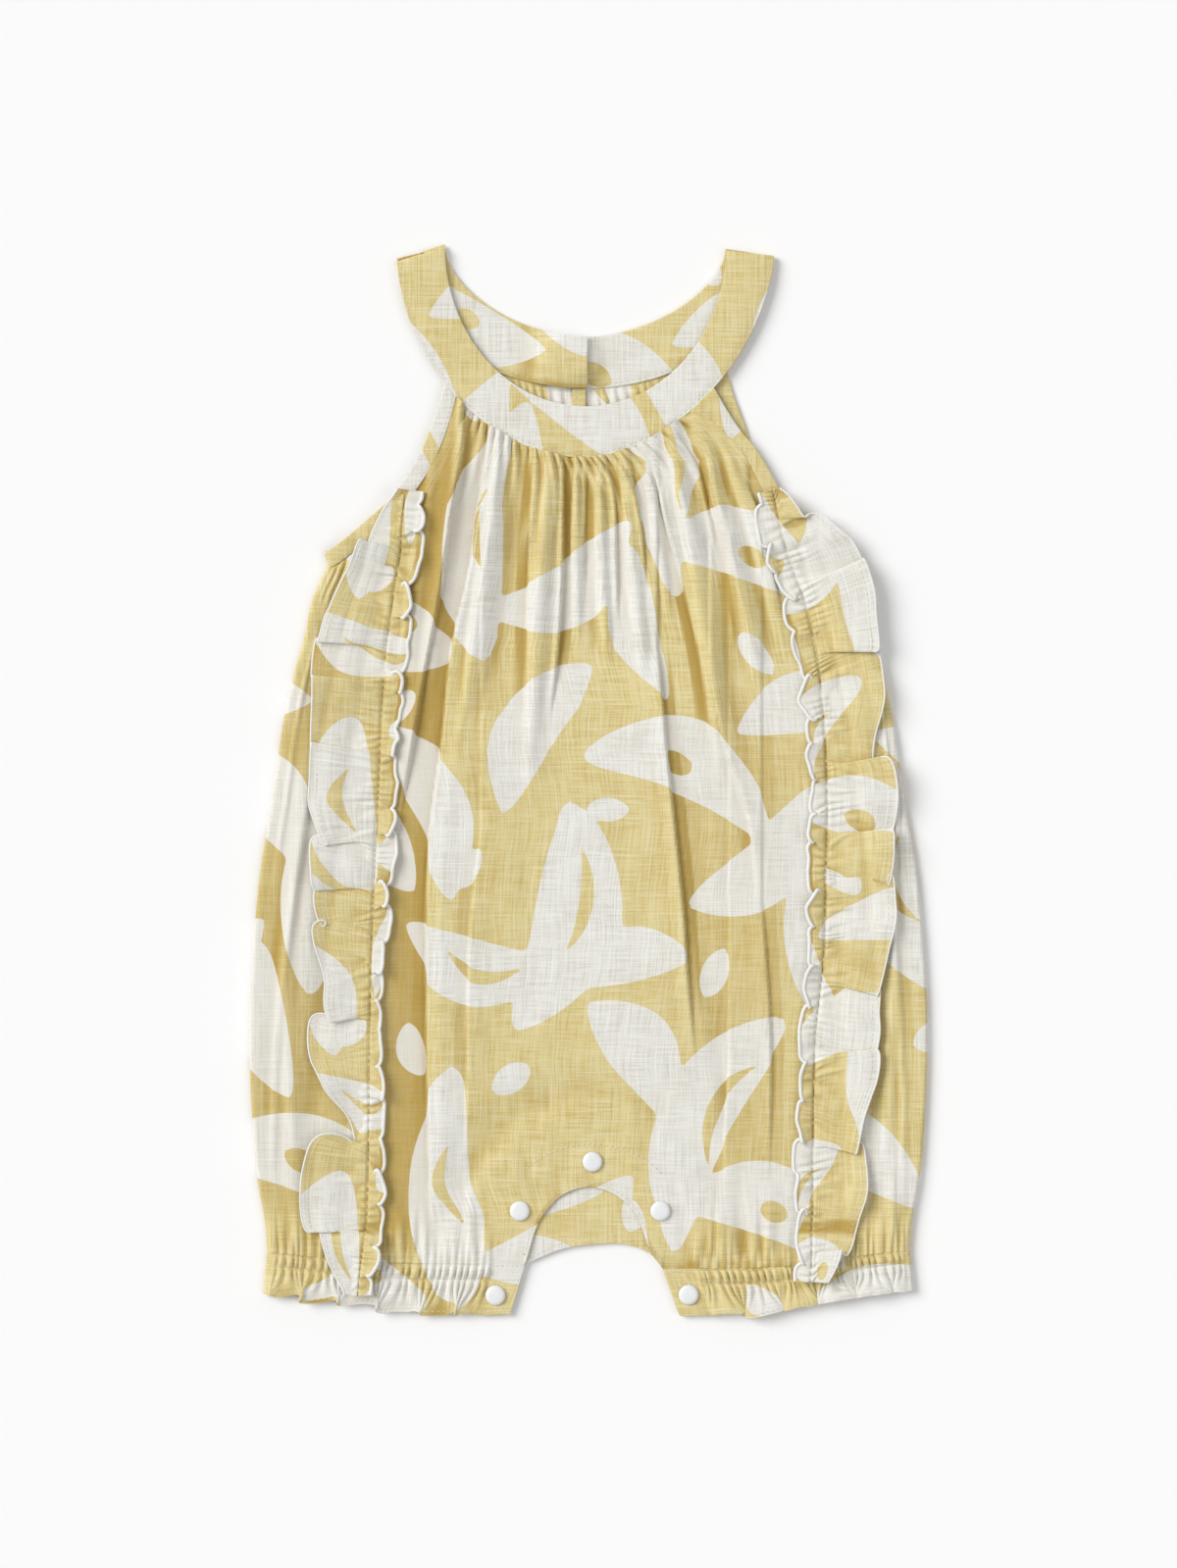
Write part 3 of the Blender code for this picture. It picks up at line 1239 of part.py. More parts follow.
def build_snaps():
    """Five snaps: a domed cap on the front layer and a stud seated in the back layer."""
    for number, (x, y) in enumerate(SNAPS, start=1):
        if number <= 3:
            top = float(front_underside(np.array([x]), np.array([y]))[0]) + CLOTH
        else:
            side = -1 if x < 0 else 1
            inner, outer = leg_width(side, np.array([y]))
            share = (abs(x - float(inner[0])) + SNAP_RADIUS) / abs(float(outer[0] - inner[0]))
            top = CUFF_FRONT_REST + CUFF_SIDE_RISE * share + CLOTH
        low = top + SEAM_GAP
        disc(f"snap_cap_{number}", (x, y), SNAP_RADIUS, low, low + SNAP_HEIGHT, 0.5, snap_plastic)
        disc(f"snap_stud_{number}", (x, y), STUD_RADIUS, 0.0, STUD_WALL, 0.0, snap_plastic)


def build_romper():
    """Build every piece of the romper."""
    build_collar()
    build_back_panel()
    build_facing()
    build_placket()
    build_front_panel()
    for side, label in ((-1, "left"), (1, "right")):
        build_side_panel(f"side_panel_{label}", side)
        build_leg_cuff(f"leg_cuff_{label}", side)
        build_ruffle(f"ruffle_{label}", side)
    build_bindings()
    build_snaps()
    disc("back_button", BUTTON_CENTRE, BUTTON_RADIUS, 0.0, BUTTON_THICK, 0.4, snap_plastic)


for leftover in list(bpy.data.objects):
    bpy.data.objects.remove(leftover, do_unlink=True)
romper = bpy.data.collections.new("baby_halter_romper")
cutters = bpy.data.collections.new("cutters")
bpy.context.scene.collection.children.link(romper)
bpy.context.scene.collection.children.link(cutters)
print_cloth = fabric("printed_slub_cloth", YELLOW, 0.85)
binding_cloth = fabric("binding_cloth", WHITE_YELLOW, 0.85)
snap_plastic = fabric("snap_plastic", SNAP_WHITE, 0.35)
build_romper()
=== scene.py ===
"""Looks of a baby's halter romper that lies flat on its back.

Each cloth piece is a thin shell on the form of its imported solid, with finer gathers and creases, a
slub weave and a generic leaf print. Sizes are in millimetres and become metres when a mesh is made.
+X is to the right of someone who looks down on the front, +Y goes to the neck and +Z is up.

Throughout, x, y and z are places in that frame, u and v are shares from 0 to 1 across and down a
piece, and side is the half of the garment, which is also the sign of x there.
"""

import logging
import math
from abc import ABC, abstractmethod
from dataclasses import dataclass
from enum import Enum, IntEnum
from functools import partial
from typing import Callable, Sequence

import bmesh
import bpy
import numpy as np
from mathutils import Matrix, Vector


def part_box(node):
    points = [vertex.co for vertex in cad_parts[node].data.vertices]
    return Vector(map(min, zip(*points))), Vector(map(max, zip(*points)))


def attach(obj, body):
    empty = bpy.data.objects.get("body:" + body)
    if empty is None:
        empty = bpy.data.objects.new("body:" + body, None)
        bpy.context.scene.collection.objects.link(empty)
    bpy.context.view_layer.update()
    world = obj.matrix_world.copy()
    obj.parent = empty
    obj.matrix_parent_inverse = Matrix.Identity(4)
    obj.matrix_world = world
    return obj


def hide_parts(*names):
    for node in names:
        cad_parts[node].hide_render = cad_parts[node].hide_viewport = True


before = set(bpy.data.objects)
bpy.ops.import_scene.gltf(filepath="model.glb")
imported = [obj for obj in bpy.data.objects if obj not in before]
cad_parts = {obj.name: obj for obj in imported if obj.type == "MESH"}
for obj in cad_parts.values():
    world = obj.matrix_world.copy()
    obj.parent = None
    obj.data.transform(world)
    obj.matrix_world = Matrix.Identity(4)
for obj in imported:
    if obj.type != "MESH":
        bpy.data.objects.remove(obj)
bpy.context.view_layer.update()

Array = np.ndarray
Table = Sequence[Sequence[float]]
Place = tuple[float, float]
Colour = tuple[float, float, float]
Surface = Callable[[Array, Array], Array]
Edge = Callable[[Array], Array]
Seam = Callable[[Array, int], Array]
Tree = bpy.types.NodeTree
Socket = bpy.types.NodeSocket
Material = bpy.types.Material
BMesh = bmesh.types.BMesh

log = logging.getLogger("romper")


class Side(IntEnum):
    """Half of the garment."""

    LEFT = -1
    RIGHT = 1

    @property
    def label(self) -> str:
        """The half's name in the names of pieces."""
        return self.name.lower()


class Slot(Enum):
    """The record's material slots."""

    PRINT = "printed_slub_cloth"
    BINDING = "binding_cloth"
    PLASTIC = "snap_plastic"


class Held(Enum):
    """How a sheet of cloth is held."""

    GATHERED = "gathered"
    LAID = "laid"
    FOLDED = "folded"


class BindingPart(Enum):
    """Stretch of an armhole's binding."""

    FRONT = "front"
    SIDE = "side"
    BACK = "back"


MM = 0.001
# Gap between sewn solids, wall of the cloth's solids and of the shells on them, and the overlap
# of a panel's foot with the leg casing.
SEAM_GAP = 0.3
CLOTH = 1.0
SHELL = 0.5
JOIN = 0.03
COLLAR_WALL = 1.5
BINDING_WALL = 1.3
# The front layer's underside: its least height, and its rise over the gathers at the neck.
FRONT_REST = 1.4
NECK_LIFT = 1.1
NECK_LIFT_RUN = (94.0, 108.0)
# The fold at the garment's side, and how far the side panel reaches under the back.
SIDE_RADIUS = 1.5
SIDE_WRAP = 22.0

# The collar is a ring of four curves, all round one centre on the shoulder line.
COLLAR_CENTRE = (-1.3, 228.9)
COLLAR_HALF_INNER = 60.1
COLLAR_HALF_OUTER = 80.2
FRONT_INNER_DROP = 68.5
FRONT_OUTER_DROP = 89.9
BACK_INNER_DROP = 38.7
BACK_OUTER_DROP = 60.0
FULLNESS_LEFT = 1.93
FULLNESS_RIGHT = 1.76
FULLNESS_FRONT_INNER = 2.0
FULLNESS_BACK_INNER = 1.75
FULLNESS_BACK_OUTER = 2.0
SHOULDER_RIGHT = (1.2, 3.4)
SHOULDER_LEFT = (180.0, 175.8)
FOLD_INNER_RADIUS = 0.35
FOLD_OUTER_RADIUS = FOLD_INNER_RADIUS + COLLAR_WALL
FRONT_COLLAR_REST = FOLD_OUTER_RADIUS + SEAM_GAP + FOLD_INNER_RADIUS
BACK_LAP_LEFT_END = -0.5
BACK_LAP_RIGHT_END = -16.0
LAP_RAMP = (11.0, 3.0)
BUTTON_CENTRE = (-7.8, 181.5)
BUTTON_LIFT = 2.0
BUTTON_FLAT = 7.5
BUTTON_SPREAD = 15.5
SLIT_WIDTH = 0.8

# Angles on the collar's outer edge where a panel's binding and the panel start.
FRONT_ANGLES = {Side.LEFT: (138.7, 134.2), Side.RIGHT: (44.5, 52.8)}
BACK_ANGLES = (45.0, 50.5)
ANGLE_GAP = 0.55

# Armhole bindings: outer edge x, y and inner edge x, y from the collar to the underarm.
BINDINGS = {
    Side.LEFT: (
        (-66.4, 154.1, -60.7, 151.7), (-73.5, 137.3, -68, 134.5), (-79, 128.9, -73.9, 125.3),
        (-85.3, 120.5, -80.7, 116.3), (-94.5, 112.1, -90.4, 107.5), (-104.2, 103.7, -100.4, 98.8),
        (-111.6, 98.2, -109.5, 92.2),
    ),
    Side.RIGHT: (
        (58.8, 159.4, 51.8, 154.6), (64.6, 150.6, 59.8, 148.2), (71.4, 142.4, 67, 139.6),
        (76.4, 134.4, 71.8, 131.4), (79.8, 128.2, 75, 125), (85.3, 120.2, 80.7, 116), (94.5, 112.1, 90.4, 107.5),
        (104.2, 103.7, 100.4, 98.8), (111.6, 98.2, 109.5, 92.2),
    ),
}
BINDING_BACK = (
    (59.2, 176, 53.1, 174.4), (61.7, 166.7, 55.8, 164.7), (67, 152.4, 61.3, 150), (70.6, 142.4, 65.1, 139.6),
    (76.5, 131.6, 71.6, 127.8), (85.3, 120.2, 80.7, 116), (94.5, 112.1, 90.4, 107.5), (104.2, 103.7, 100.4, 98.8),
    (107.6, 100.9, 105.4, 95),
)
BACK_LEFT_NARROWER = 0.015
SIDE_BINDING_END = 0.995

# Front seams under the ruffles: y, x of the left seam, x of the right seam.
FRONT_SEAMS = (
    (130, -77.5, 77.5), (117, -79.2, 80.3), (98.7, -80.6, 84.6), (77.3, -83.8, 92.2), (55, -86.8, 97.2),
    (25, -88.7, 100.6), (-8.4, -90, 101.9), (-45, -91.8, 101.2), (-73.9, -92.9, 100.4), (-107.1, -93.5, 97),
    (-154.6, -94.1, 95.9), (-185.2, -94.9, 95.6), (-210, -97.8, 95), (-230, -99.5, 94),
)
# Side outline: y, half width.
SIDE_OUTLINE = (
    (101, 109.4), (92, 112), (78.5, 118), (61.7, 121.8), (44.9, 126.4), (28.1, 130.2), (-5.5, 135.2),
    (-39.1, 140.7), (-64.3, 143.2), (-106.3, 145.2), (-148.3, 143.8), (-169.3, 142), (-190.3, 138.4), (-205, 137.6),
    (-221.8, 139.2), (-232, 139.6),
)
# Leg openings: x, casing top y and hem y. Inner leg edges: x at the top and at the foot.
LEG_LINES = {
    Side.LEFT: (
        (-139.6, -200.8, -218.8), (-115.5, -203.4, -223), (-93.5, -205.4, -225.8), (-65.9, -206, -228.7),
        (-43.8, -206.2, -228.1), (-27.3, -206.6, -227.6),
    ),
    Side.RIGHT: (
        (31.7, -208.6, -228.8), (47.6, -208.2, -228.3), (76.2, -207.6, -228.6), (97.4, -205.8, -224.2),
        (116.4, -202.6, -221.4), (139.6, -200, -217.2),
    ),
}
INNER_LEG = {Side.LEFT: (-27.3, -33.6), Side.RIGHT: (31.7, 38.9)}
INNER_LEG_TOP = -207.0
INNER_LEG_FOOT = -227.5
TAB_WIDTH = 13.5

# Front crotch arch, lower edge of the back crotch and upper edge of its facing, left to right.
FRONT_ARCH = (
    (-27.3, -206.3), (-18.9, -184.4), (-11.3, -176.8), (0.8, -173.3), (10.1, -176), (18.5, -182.7), (26.9, -201.2),
    (31.7, -208.3),
)
BACK_ARCH = (
    (-27.3, -206.3), (-9.7, -199.5), (3, -197.8), (16, -197.9), (26, -201.8), (31.7, -208.3),
)
FACING_TOP = (
    (-45, -203.5), (-40, -182), (-22, -157), (2, -150), (25, -157), (42, -182), (46, -203.5),
)
FACING_CENTRE = (1.5, -204.0)
FACING_HALF = (53.0, 60.0)
FACING_RIM = (1.5, 1.0)
CROTCH_CALM = (1.15, 2.2)

# Crotch snaps: x, y.
SNAPS = ((1.7, -162.5), (-29.4, -183.5), (30.7, -183.5), (-39.8, -219.6), (42.8, -219.4))

# Long folds of the front, left to right: three crest points x, y from the collar down,
# reach to the left and to the right of the crest, and height.
FRONT_FOLDS = (
    (-66.5, 136, -72.5, 88, -78, 32, 4.6, 5, 1.5), (-54.8, 146, -63.4, 84, -70.8, 24, 3.6, 6.4, 2),
    (-37.6, 139.4, -45.4, 82.7, -56, 6, 5, 12, 3.3), (-16.8, 138.2, -21.8, 65.9, -27.3, -30, 6, 8.4, 3.4),
    (-5.2, 137.3, -5.2, 99.5, -4.2, 54, 3.2, 3.4, 1.9), (4.6, 137.3, 5.5, 95.3, 9.2, 36, 3.8, 4.2, 2.1),
    (14.3, 137.8, 18.9, 91.1, 25.2, 28, 4, 5.4, 2.3), (24.8, 140, 29.4, 107.9, 35.3, 62, 3.4, 4, 1.8),
    (35.3, 144.9, 47, 82.7, 60.4, -24, 5.2, 11, 3.4), (46, 151, 61, 100, 76, 26, 5.4, 8.4, 2.2),
    (57, 146, 70.2, 110, 84, 52, 4.4, 5, 1.5),
)
FOLD_START_SHARE = 0.55
FOLD_START_RUN = 18.0
FOLD_TOP_WIDTH = 0.62
FOLD_END_SHARE = 0.4

# Sharp edges where one fold of the front lies over the next: side that lies high (1 is right),
# height, reach, share of its length over which it runs out, and points y, x from the collar down.
FOLD_EDGES = (
    (-1, 2.9, 7, 0.3, ((142.4, -53.5), (102, -60.5), (76.9, -64.3), (48.7, -69.7), (3.4, -77.3), (-25.6, -82.3))),
    (1, 2.9, 9, 0.06, ((146, -42.8), (116, -47), (86.5, -51.7), (60, -58), (17.6, -62.6), (-25.6, -68),
        (-85.3, -69.2), (-140, -68.6), (-190, -67))),
    (1, 2, 4.5, 0.35, ((137.8, -23.1), (112, -24.8), (74.3, -26), (40, -26.5))),
    (-1, 2.9, 4.5, 0.35, ((139, -10.9), (99.5, -10.9), (61.7, -12.6), (22, -16.8))),
    (1, 1.4, 3, 0.4, ((137, -5.6), (116, -7), (88, -7.6))),
    (-1, 1.4, 3.5, 0.4, ((137, -0.8), (108, -1.7), (72, -1.6))),
    (-1, 1.9, 4, 0.4, ((137, 7.6), (121.8, 10.9), (99.5, 11.8), (62, 13))),
    (-1, 1.7, 4, 0.4, ((139, 17.2), (108.8, 22.3), (78, 25.4))),
    (1, 2.9, 6, 0.4, ((139.5, 26.9), (116.3, 31.5), (78.5, 42), (49.1, 48.4), (12, 52.4))),
    (-1, 1.5, 3.5, 0.4, ((147.4, 38.6), (137.8, 44.9), (116.3, 51.2), (96, 55))),
    (1, 2, 5, 0.4, ((150, 48.3), (134.8, 50.8), (99.5, 59.6), (45, 71.4))),
    (-1, 2, 4.5, 0.4, ((126.8, 68), (115.5, 72.7), (99.1, 76.9), (70, 83))),
    (-1, 2.4, 7, 0.4, ((58, 29.4), (4.2, 34.4), (-20, 37), (-57, 40.7), (-82, 42.4), (-136, 47.9))),
    (1, 1.6, 6, 0.4, ((46, 51.7), (10.5, 59.2), (-14.3, 67.6), (-60, 72))),
    (1, 1, 8, 0.4, ((-20, -46), (-60, -50.4), (-127, -52), (-176, -53.4))),
    (-1, 1.2, 8, 0.4, ((-50, 74), (-110, 78), (-180, 77))), (1, 1, 7, 0.4, ((-120, 60), (-160, 58), (-200, 60))),
)
FOLD_RECESS = 0.5
FOLD_RECESS_REACH = 3.2
FOLD_START = 14.0
# The two of these edges that bound the low strips beside the ruffles, which get extra painted shade.
LEFT_STRIP_EDGE = FOLD_EDGES[1][-1]
RIGHT_STRIP_EDGE = FOLD_EDGES[12][-1]

# The belly of the front stands over a deep fold on the left and drops at one on the right: y, x.
BELLY_LEFT = (
    (60, -57.6), (17.6, -62.6), (-25.6, -68.5), (-85.3, -69.9), (-150, -69.4), (-200, -68),
)
BELLY_RIGHT = (
    (60, 28.6), (4.2, 34.4), (-57.1, 40.7), (-112.6, 47.9), (-160, 56), (-200, 60),
)
BELLY_RISE = 2.2
BELLY_EDGE = 8.0
BELLY_DROP = 0.5
BELLY_FROM = 70.0
BELLY_FULL = 10.0
BELLY_FADE = 35.0
SEAM_CALM = 9.0

SIDE_GATHER = 0.7
SIDE_GATHER_RUN = (86.0, 100.0)
SIDE_REST_RUN = (0.15, 0.95)
SIDE_CREASE = 0.9
SIDE_CREASE_WAVES = 9.0
SIDE_CREASE_TURN = 1.1
SIDE_CREASE_DRIFT = 0.012
CUFF_TOP = 5.6
CUFF_RAMP = (-191.0, -199.0)
CUFF_FRONT_REST = 2.0
CUFF_SIDE_RISE = 1.0
CASING_GATHER = 2.1
SHIRR_PITCH = 3.2
CASING_ROWS = (0.03, 0.31)
CASING_LOW = 0.5

# The printed cloth's repeat, and its leaves and the slits in them: x, y, angle, length, width,
# bend, place of the widest part and bluntness of the tips.
REPEAT = (260.0, 280.0)
LEAVES = (
    (45, 54, 96, 106.7, 39.1, 13.5, 0.5, 0.5), (97, 35, 24, 91.2, 32.2, -13.5, 0.55, 0.64),
    (7, 17, 150, 73.7, 29.6, 10.5, 0.5, 0.68), (171, 84, 62, 112.5, 37.4, 18, 0.52, 0.48),
    (137, 111, 128, 70.8, 31.3, -9, 0.55, 0.68), (202, 45, -18, 87.3, 33.1, 15, 0.48, 0.58),
    (97, 171, 80, 98.9, 40.9, -15, 0.5, 0.53), (57, 153, 168, 87.3, 29.6, 12, 0.52, 0.64),
    (127, 153, 12, 59.2, 25.2, 7.5, 0.5, 0.76), (228, 162, 104, 102.8, 34.8, 15, 0.5, 0.51),
    (193, 197, 42, 77.6, 31.3, -12, 0.46, 0.66), (251, 209, -34, 75.7, 29.6, 9, 0.54, 0.62),
    (155, 233, 158, 98.9, 34.8, -18, 0.5, 0.5), (84, 252, 54, 79.5, 29.6, 10.5, 0.5, 0.67),
    (30, 219, 118, 83.4, 33.1, -10.5, 0.52, 0.58), (218, 261, 8, 71.8, 27, 9, 0.5, 0.72),
    (136, 17, 100, 66.9, 25.2, 7.5, 0.5, 0.6), (77, 103, 30, 21.3, 13.1, 0, 0.5, 0.5),
    (21, 115, 110, 24.2, 14.8, 2, 0.5, 0.5), (171, 148, 70, 22.3, 13.9, 0, 0.5, 0.5),
    (247, 97, 20, 26.2, 15.7, 0, 0.5, 0.5), (52, 193, 60, 19.4, 12.2, 0, 0.5, 0.5),
    (197, 5, 130, 22.3, 13.1, 0, 0.5, 0.5), (113, 218, 0, 19.4, 11.3, 0, 0.5, 0.5),
    (7, 261, 40, 22.3, 13.1, 0, 0.5, 0.5),
)
LEAF_SLITS = (
    (104, 179, 84, 46, 6.5, -7, 0.5, 0.8), (177, 90, 62, 50, 7.1, 11.2, 0.5, 0.8),
    (45, 57, 96, 36, 6.5, 7, 0.5, 0.8), (228, 162, 104, 40, 6.5, 11.2, 0.5, 0.8),
    (204, 46, -18, 14, 9, 0, 0.5, 0.5), (151, 238, 150, 15, 9.5, 0, 0.5, 0.5), (60, 150, 168, 40, 6, 9, 0.5, 0.8),
    (8, 18, 150, 12, 8, 0, 0.5, 0.5),
)
LEAF_MELT = 2.5
LEAF_INSET = 0.6
# Painted shade in folds: the reach over which a point's height is compared with its neighbours', and the depth
# below them at which the painted shade is full.
PAINTED_SHADE_WINDOW = 2.6
PAINTED_SHADE_FULL_DEPTH = 1.5
FRONT_CLOTH_WIDTH = 222.0
FOLD_TAKES = 2.6
FRONT_PRINT_START = (112.0, 230.0)
SIDE_PRINT_START = {Side.LEFT: (14.0, 120.0), Side.RIGHT: (96.0, 205.0)}


def ease(start: float, end: float, value: Array | float) -> Array:
    """Smooth step from 0 at start to 1 at end. The ends may be in either order."""
    share = np.clip((np.asarray(value, float) - start) / (end - start), 0, 1)
    return share * share * (3 - 2 * share)


def bell(off: Array, width: Array | float) -> Array:
    """Bell curve that is 1 where off is 0."""
    return np.exp(-((off / width) ** 2))


def wave(phase: Array) -> Array:
    """Wave from 0 to 1 that is 1 where the phase is 0."""
    return 0.5 + 0.5 * np.cos(phase)


def smooth_curve(keys: Array, values: Array, at: Array | float) -> Array:
    """Read a cubic curve through values.

    Args:
        keys, values: Rising places, and the curve's values there.
        at: Where to read it.

    Returns:
        Its values there.
    """
    keys = np.asarray(keys, float)
    values = np.asarray(values, float)
    at = np.clip(at, keys[0], keys[-1])
    slopes = np.gradient(values, keys)
    cell = np.clip(np.searchsorted(keys, at, side="right") - 1, 0, len(keys) - 2)
    span = keys[cell + 1] - keys[cell]
    t = (at - keys[cell]) / span
    start = values[cell] * (1 + 2 * t) * (1 - t) ** 2 + slopes[cell] * span * t * (1 - t) ** 2
    end = values[cell + 1] * (3 - 2 * t) * t**2 - slopes[cell + 1] * span * t**2 * (1 - t)
    return start + end


def column(table: Table, index: int = 1) -> tuple[Array, Array]:
    """Rising keys of a table's first column, and the values of another column."""
    rows = np.array(sorted(table), float)
    return rows[:, 0], rows[:, index]


def follow(table: Table, at: Array | float, index: int = 1) -> Array:
    """Smooth curve through a column of a table, read at places along its first column."""
    return smooth_curve(*column(table, index), at)


def run_along(points: Array) -> Array:
    """Distance along a line of points at each of them."""
    return np.concatenate([[0], np.cumsum(np.linalg.norm(np.diff(points, axis=0), axis=1))])


def path(points: Table | Array, share: Array | float) -> Array:
    """Points at shares of the length of a smooth line.

    Args:
        points: x and y of the points that the line goes through.
        share: Shares of its length.

    Returns:
        x and y at each share.
    """
    points = np.asarray(points, float)
    keys = run_along(points)
    at = np.asarray(share, float) * keys[-1]
    return np.stack([smooth_curve(keys, points[:, axis], at) for axis in (0, 1)], axis=-1)


def wander(place: Array, step: float, seed: int) -> Array:
    """Smooth seeded unevenness from -1 to 1 along a line.

    Args:
        place: Places along the line.
        step, seed: Distance over which it changes, and its seed.

    Returns:
        Its values there.
    """
    lattice = np.random.default_rng(seed).uniform(-1, 1, 4096)
    cell = np.floor(place / step).astype(int)
    share = ease(0, 1, place / step - cell)
    return lattice[cell % 4096] * (1 - share) + lattice[(cell + 1) % 4096] * share


def between_cells(table: Array, row: Array, cell: Array, row_share: Array, cell_share: Array) -> Array:
    """Read a table that repeats, between four of its values.

    Args:
        table: The values.
        row, cell: The lower ones of the rows and of the places in them.
        row_share, cell_share: Shares of the way to the next ones.

    Returns:
        The values between.
    """
    rows, cells = table.shape
    low, high = (
        table[line % rows, cell % cells] * (1 - cell_share) + table[line % rows, (cell + 1) % cells] * cell_share
        for line in (row, row + 1)
    )
    return low * (1 - row_share) + high * row_share


def mottle(x: Array, y: Array, step_x: float, step_y: float, seed: int) -> Array:
    """Smooth seeded unevenness from -1 to 1 over a surface, that changes over each step."""
    lattice = np.random.default_rng(seed).uniform(-1, 1, (256, 256))
    cell_x = np.floor(x / step_x).astype(int)
    cell_y = np.floor(y / step_y).astype(int)
    shares = ease(0, 1, y / step_y - cell_y), ease(0, 1, x / step_x - cell_x)
    return between_cells(lattice.T, cell_y, cell_x, *shares)


def crumples(x: Array, y: Array, *layers: tuple[float, float, float, int]) -> Array:
    """Sum of layers of unevenness: height, steps along x and y, and seed of each one."""
    return sum(height * mottle(x + 400, y + 400, *steps_and_seed) for height, *steps_and_seed in layers)


def leaf_edge(x: Array, y: Array, row: Sequence[float]) -> Array:
    """Distance to one printed leaf's edge, negative inside it.

    Args:
        x, y: Places on the flat cloth.
        row: The leaf's row of its table.

    Returns:
        The distances, in millimetres of cloth.
    """
    centre_x, centre_y, angle, length, width, bend, widest, bluntness = row
    off_x = (x - centre_x + REPEAT[0] / 2) % REPEAT[0] - REPEAT[0] / 2
    off_y = (y - centre_y + REPEAT[1] / 2) % REPEAT[1] - REPEAT[1] / 2
    turn = math.radians(angle)
    along = off_x * math.cos(turn) + off_y * math.sin(turn)
    across = off_y * math.cos(turn) - off_x * math.sin(turn)
    share = np.clip(along / length + 0.5, 0, 1)
    middle = bend * (0.4 - (2 * share - 1) ** 2)
    skew = math.log(0.5) / math.log(widest)
    half = width / 2 * np.sin(math.pi * share**skew) ** bluntness
    away = np.abs(across - middle) - half
    beyond = np.maximum(np.abs(along) - length / 2, 0)
    return np.hypot(beyond, np.maximum(away, 0)) + np.minimum(away, 0)


def print_edge(cloth_place: Array) -> Array:
    """Distance to the leaf print's edge, negative on the white, at places on the flat cloth."""
    nearest = np.full(len(cloth_place), 1e3)
    for row in LEAVES:
        leaf = leaf_edge(*cloth_place.T, row)
        mix = np.clip(0.5 + 0.5 * (leaf - nearest) / LEAF_MELT, 0, 1)
        nearest = leaf + (nearest - leaf) * mix - LEAF_MELT * mix * (1 - mix)
    nearest = nearest + LEAF_INSET
    for row in LEAF_SLITS:
        nearest = np.maximum(nearest, -leaf_edge(*cloth_place.T, row))
    return nearest


def seam_x(y: Array | float, side: int) -> Array:
    """x of the front seam under a ruffle."""
    return follow(FRONT_SEAMS, y, 1 if side < 0 else 2)


def outline_x(y: Array | float, side: int) -> Array:
    """x of the garment's side outline."""
    return side * follow(SIDE_OUTLINE, y)


def fold_x(y: Array | float, side: int) -> Array:
    """x where the cloth starts to turn under at the side."""
    return outline_x(y, side) - side * (SIDE_RADIUS + CLOTH / 2)


def back_seam_x(y: Array | float, side: int) -> Array:
    """x of the seam between the side panel and the back panel, on the back."""
    return outline_x(y, side) - side * SIDE_WRAP


def inner_leg_x(y: Array | float, side: int) -> Array:
    """x of the inner leg edge."""
    top_x, foot_x = INNER_LEG[side]
    return top_x + (foot_x - top_x) * np.clip((INNER_LEG_TOP - y) / (INNER_LEG_TOP - INNER_LEG_FOOT), -0.5, 1.1)


def collar_point(angle: Array, half: float, drop: float, fullness: Array | float, offset: float = 0.0) -> Array:
    """Points of a collar curve.

    Args:
        angle: Angles, 0 at the right shoulder and 180 at the left one.
        half, drop: Half its width, and its reach down from the shoulder line.
        fullness: 2 for an ellipse and less for a more pointed curve.
        offset: Distance outside it.

    Returns:
        x and y at each angle.
    """
    turn = np.radians(angle)
    power = 2 / fullness
    across = np.sign(np.cos(turn)) * np.abs(np.cos(turn)) ** power
    down = np.abs(np.sin(turn)) ** power
    x = COLLAR_CENTRE[0] + (half + offset) * across
    y = COLLAR_CENTRE[1] - (drop + offset) * down
    return np.stack([x, y], axis=-1)


def front_collar_outer(angle: Array | float, offset: float = 0.0) -> Array:
    """Outer edge of the front collar, a little fuller on the left half."""
    fullness = np.where(np.asarray(angle) > 90, FULLNESS_LEFT, FULLNESS_RIGHT)
    return collar_point(angle, COLLAR_HALF_OUTER, FRONT_OUTER_DROP, fullness, offset)


def back_collar_outer(angle: Array | float, offset: float = 0.0) -> Array:
    """Outer edge of the back collar."""
    return collar_point(angle, COLLAR_HALF_OUTER, BACK_OUTER_DROP, FULLNESS_BACK_OUTER, offset)


def crotch_reach(x: Array, y: Array) -> Array:
    """Squared distance from the crotch, 1 at the rim of the oval over the back's facing."""
    return ((x - FACING_CENTRE[0]) / FACING_HALF[0]) ** 2 + ((y - FACING_CENTRE[1]) / FACING_HALF[1]) ** 2


def front_rest(x: Array, y: Array) -> Array:
    """Lowest height of the front layer's underside: over the back, its facing and its gathers."""
    over_facing = ease(*FACING_RIM, crotch_reach(x, y)) * (CLOTH + SEAM_GAP)
    return FRONT_REST + over_facing + NECK_LIFT * ease(*NECK_LIFT_RUN, y)


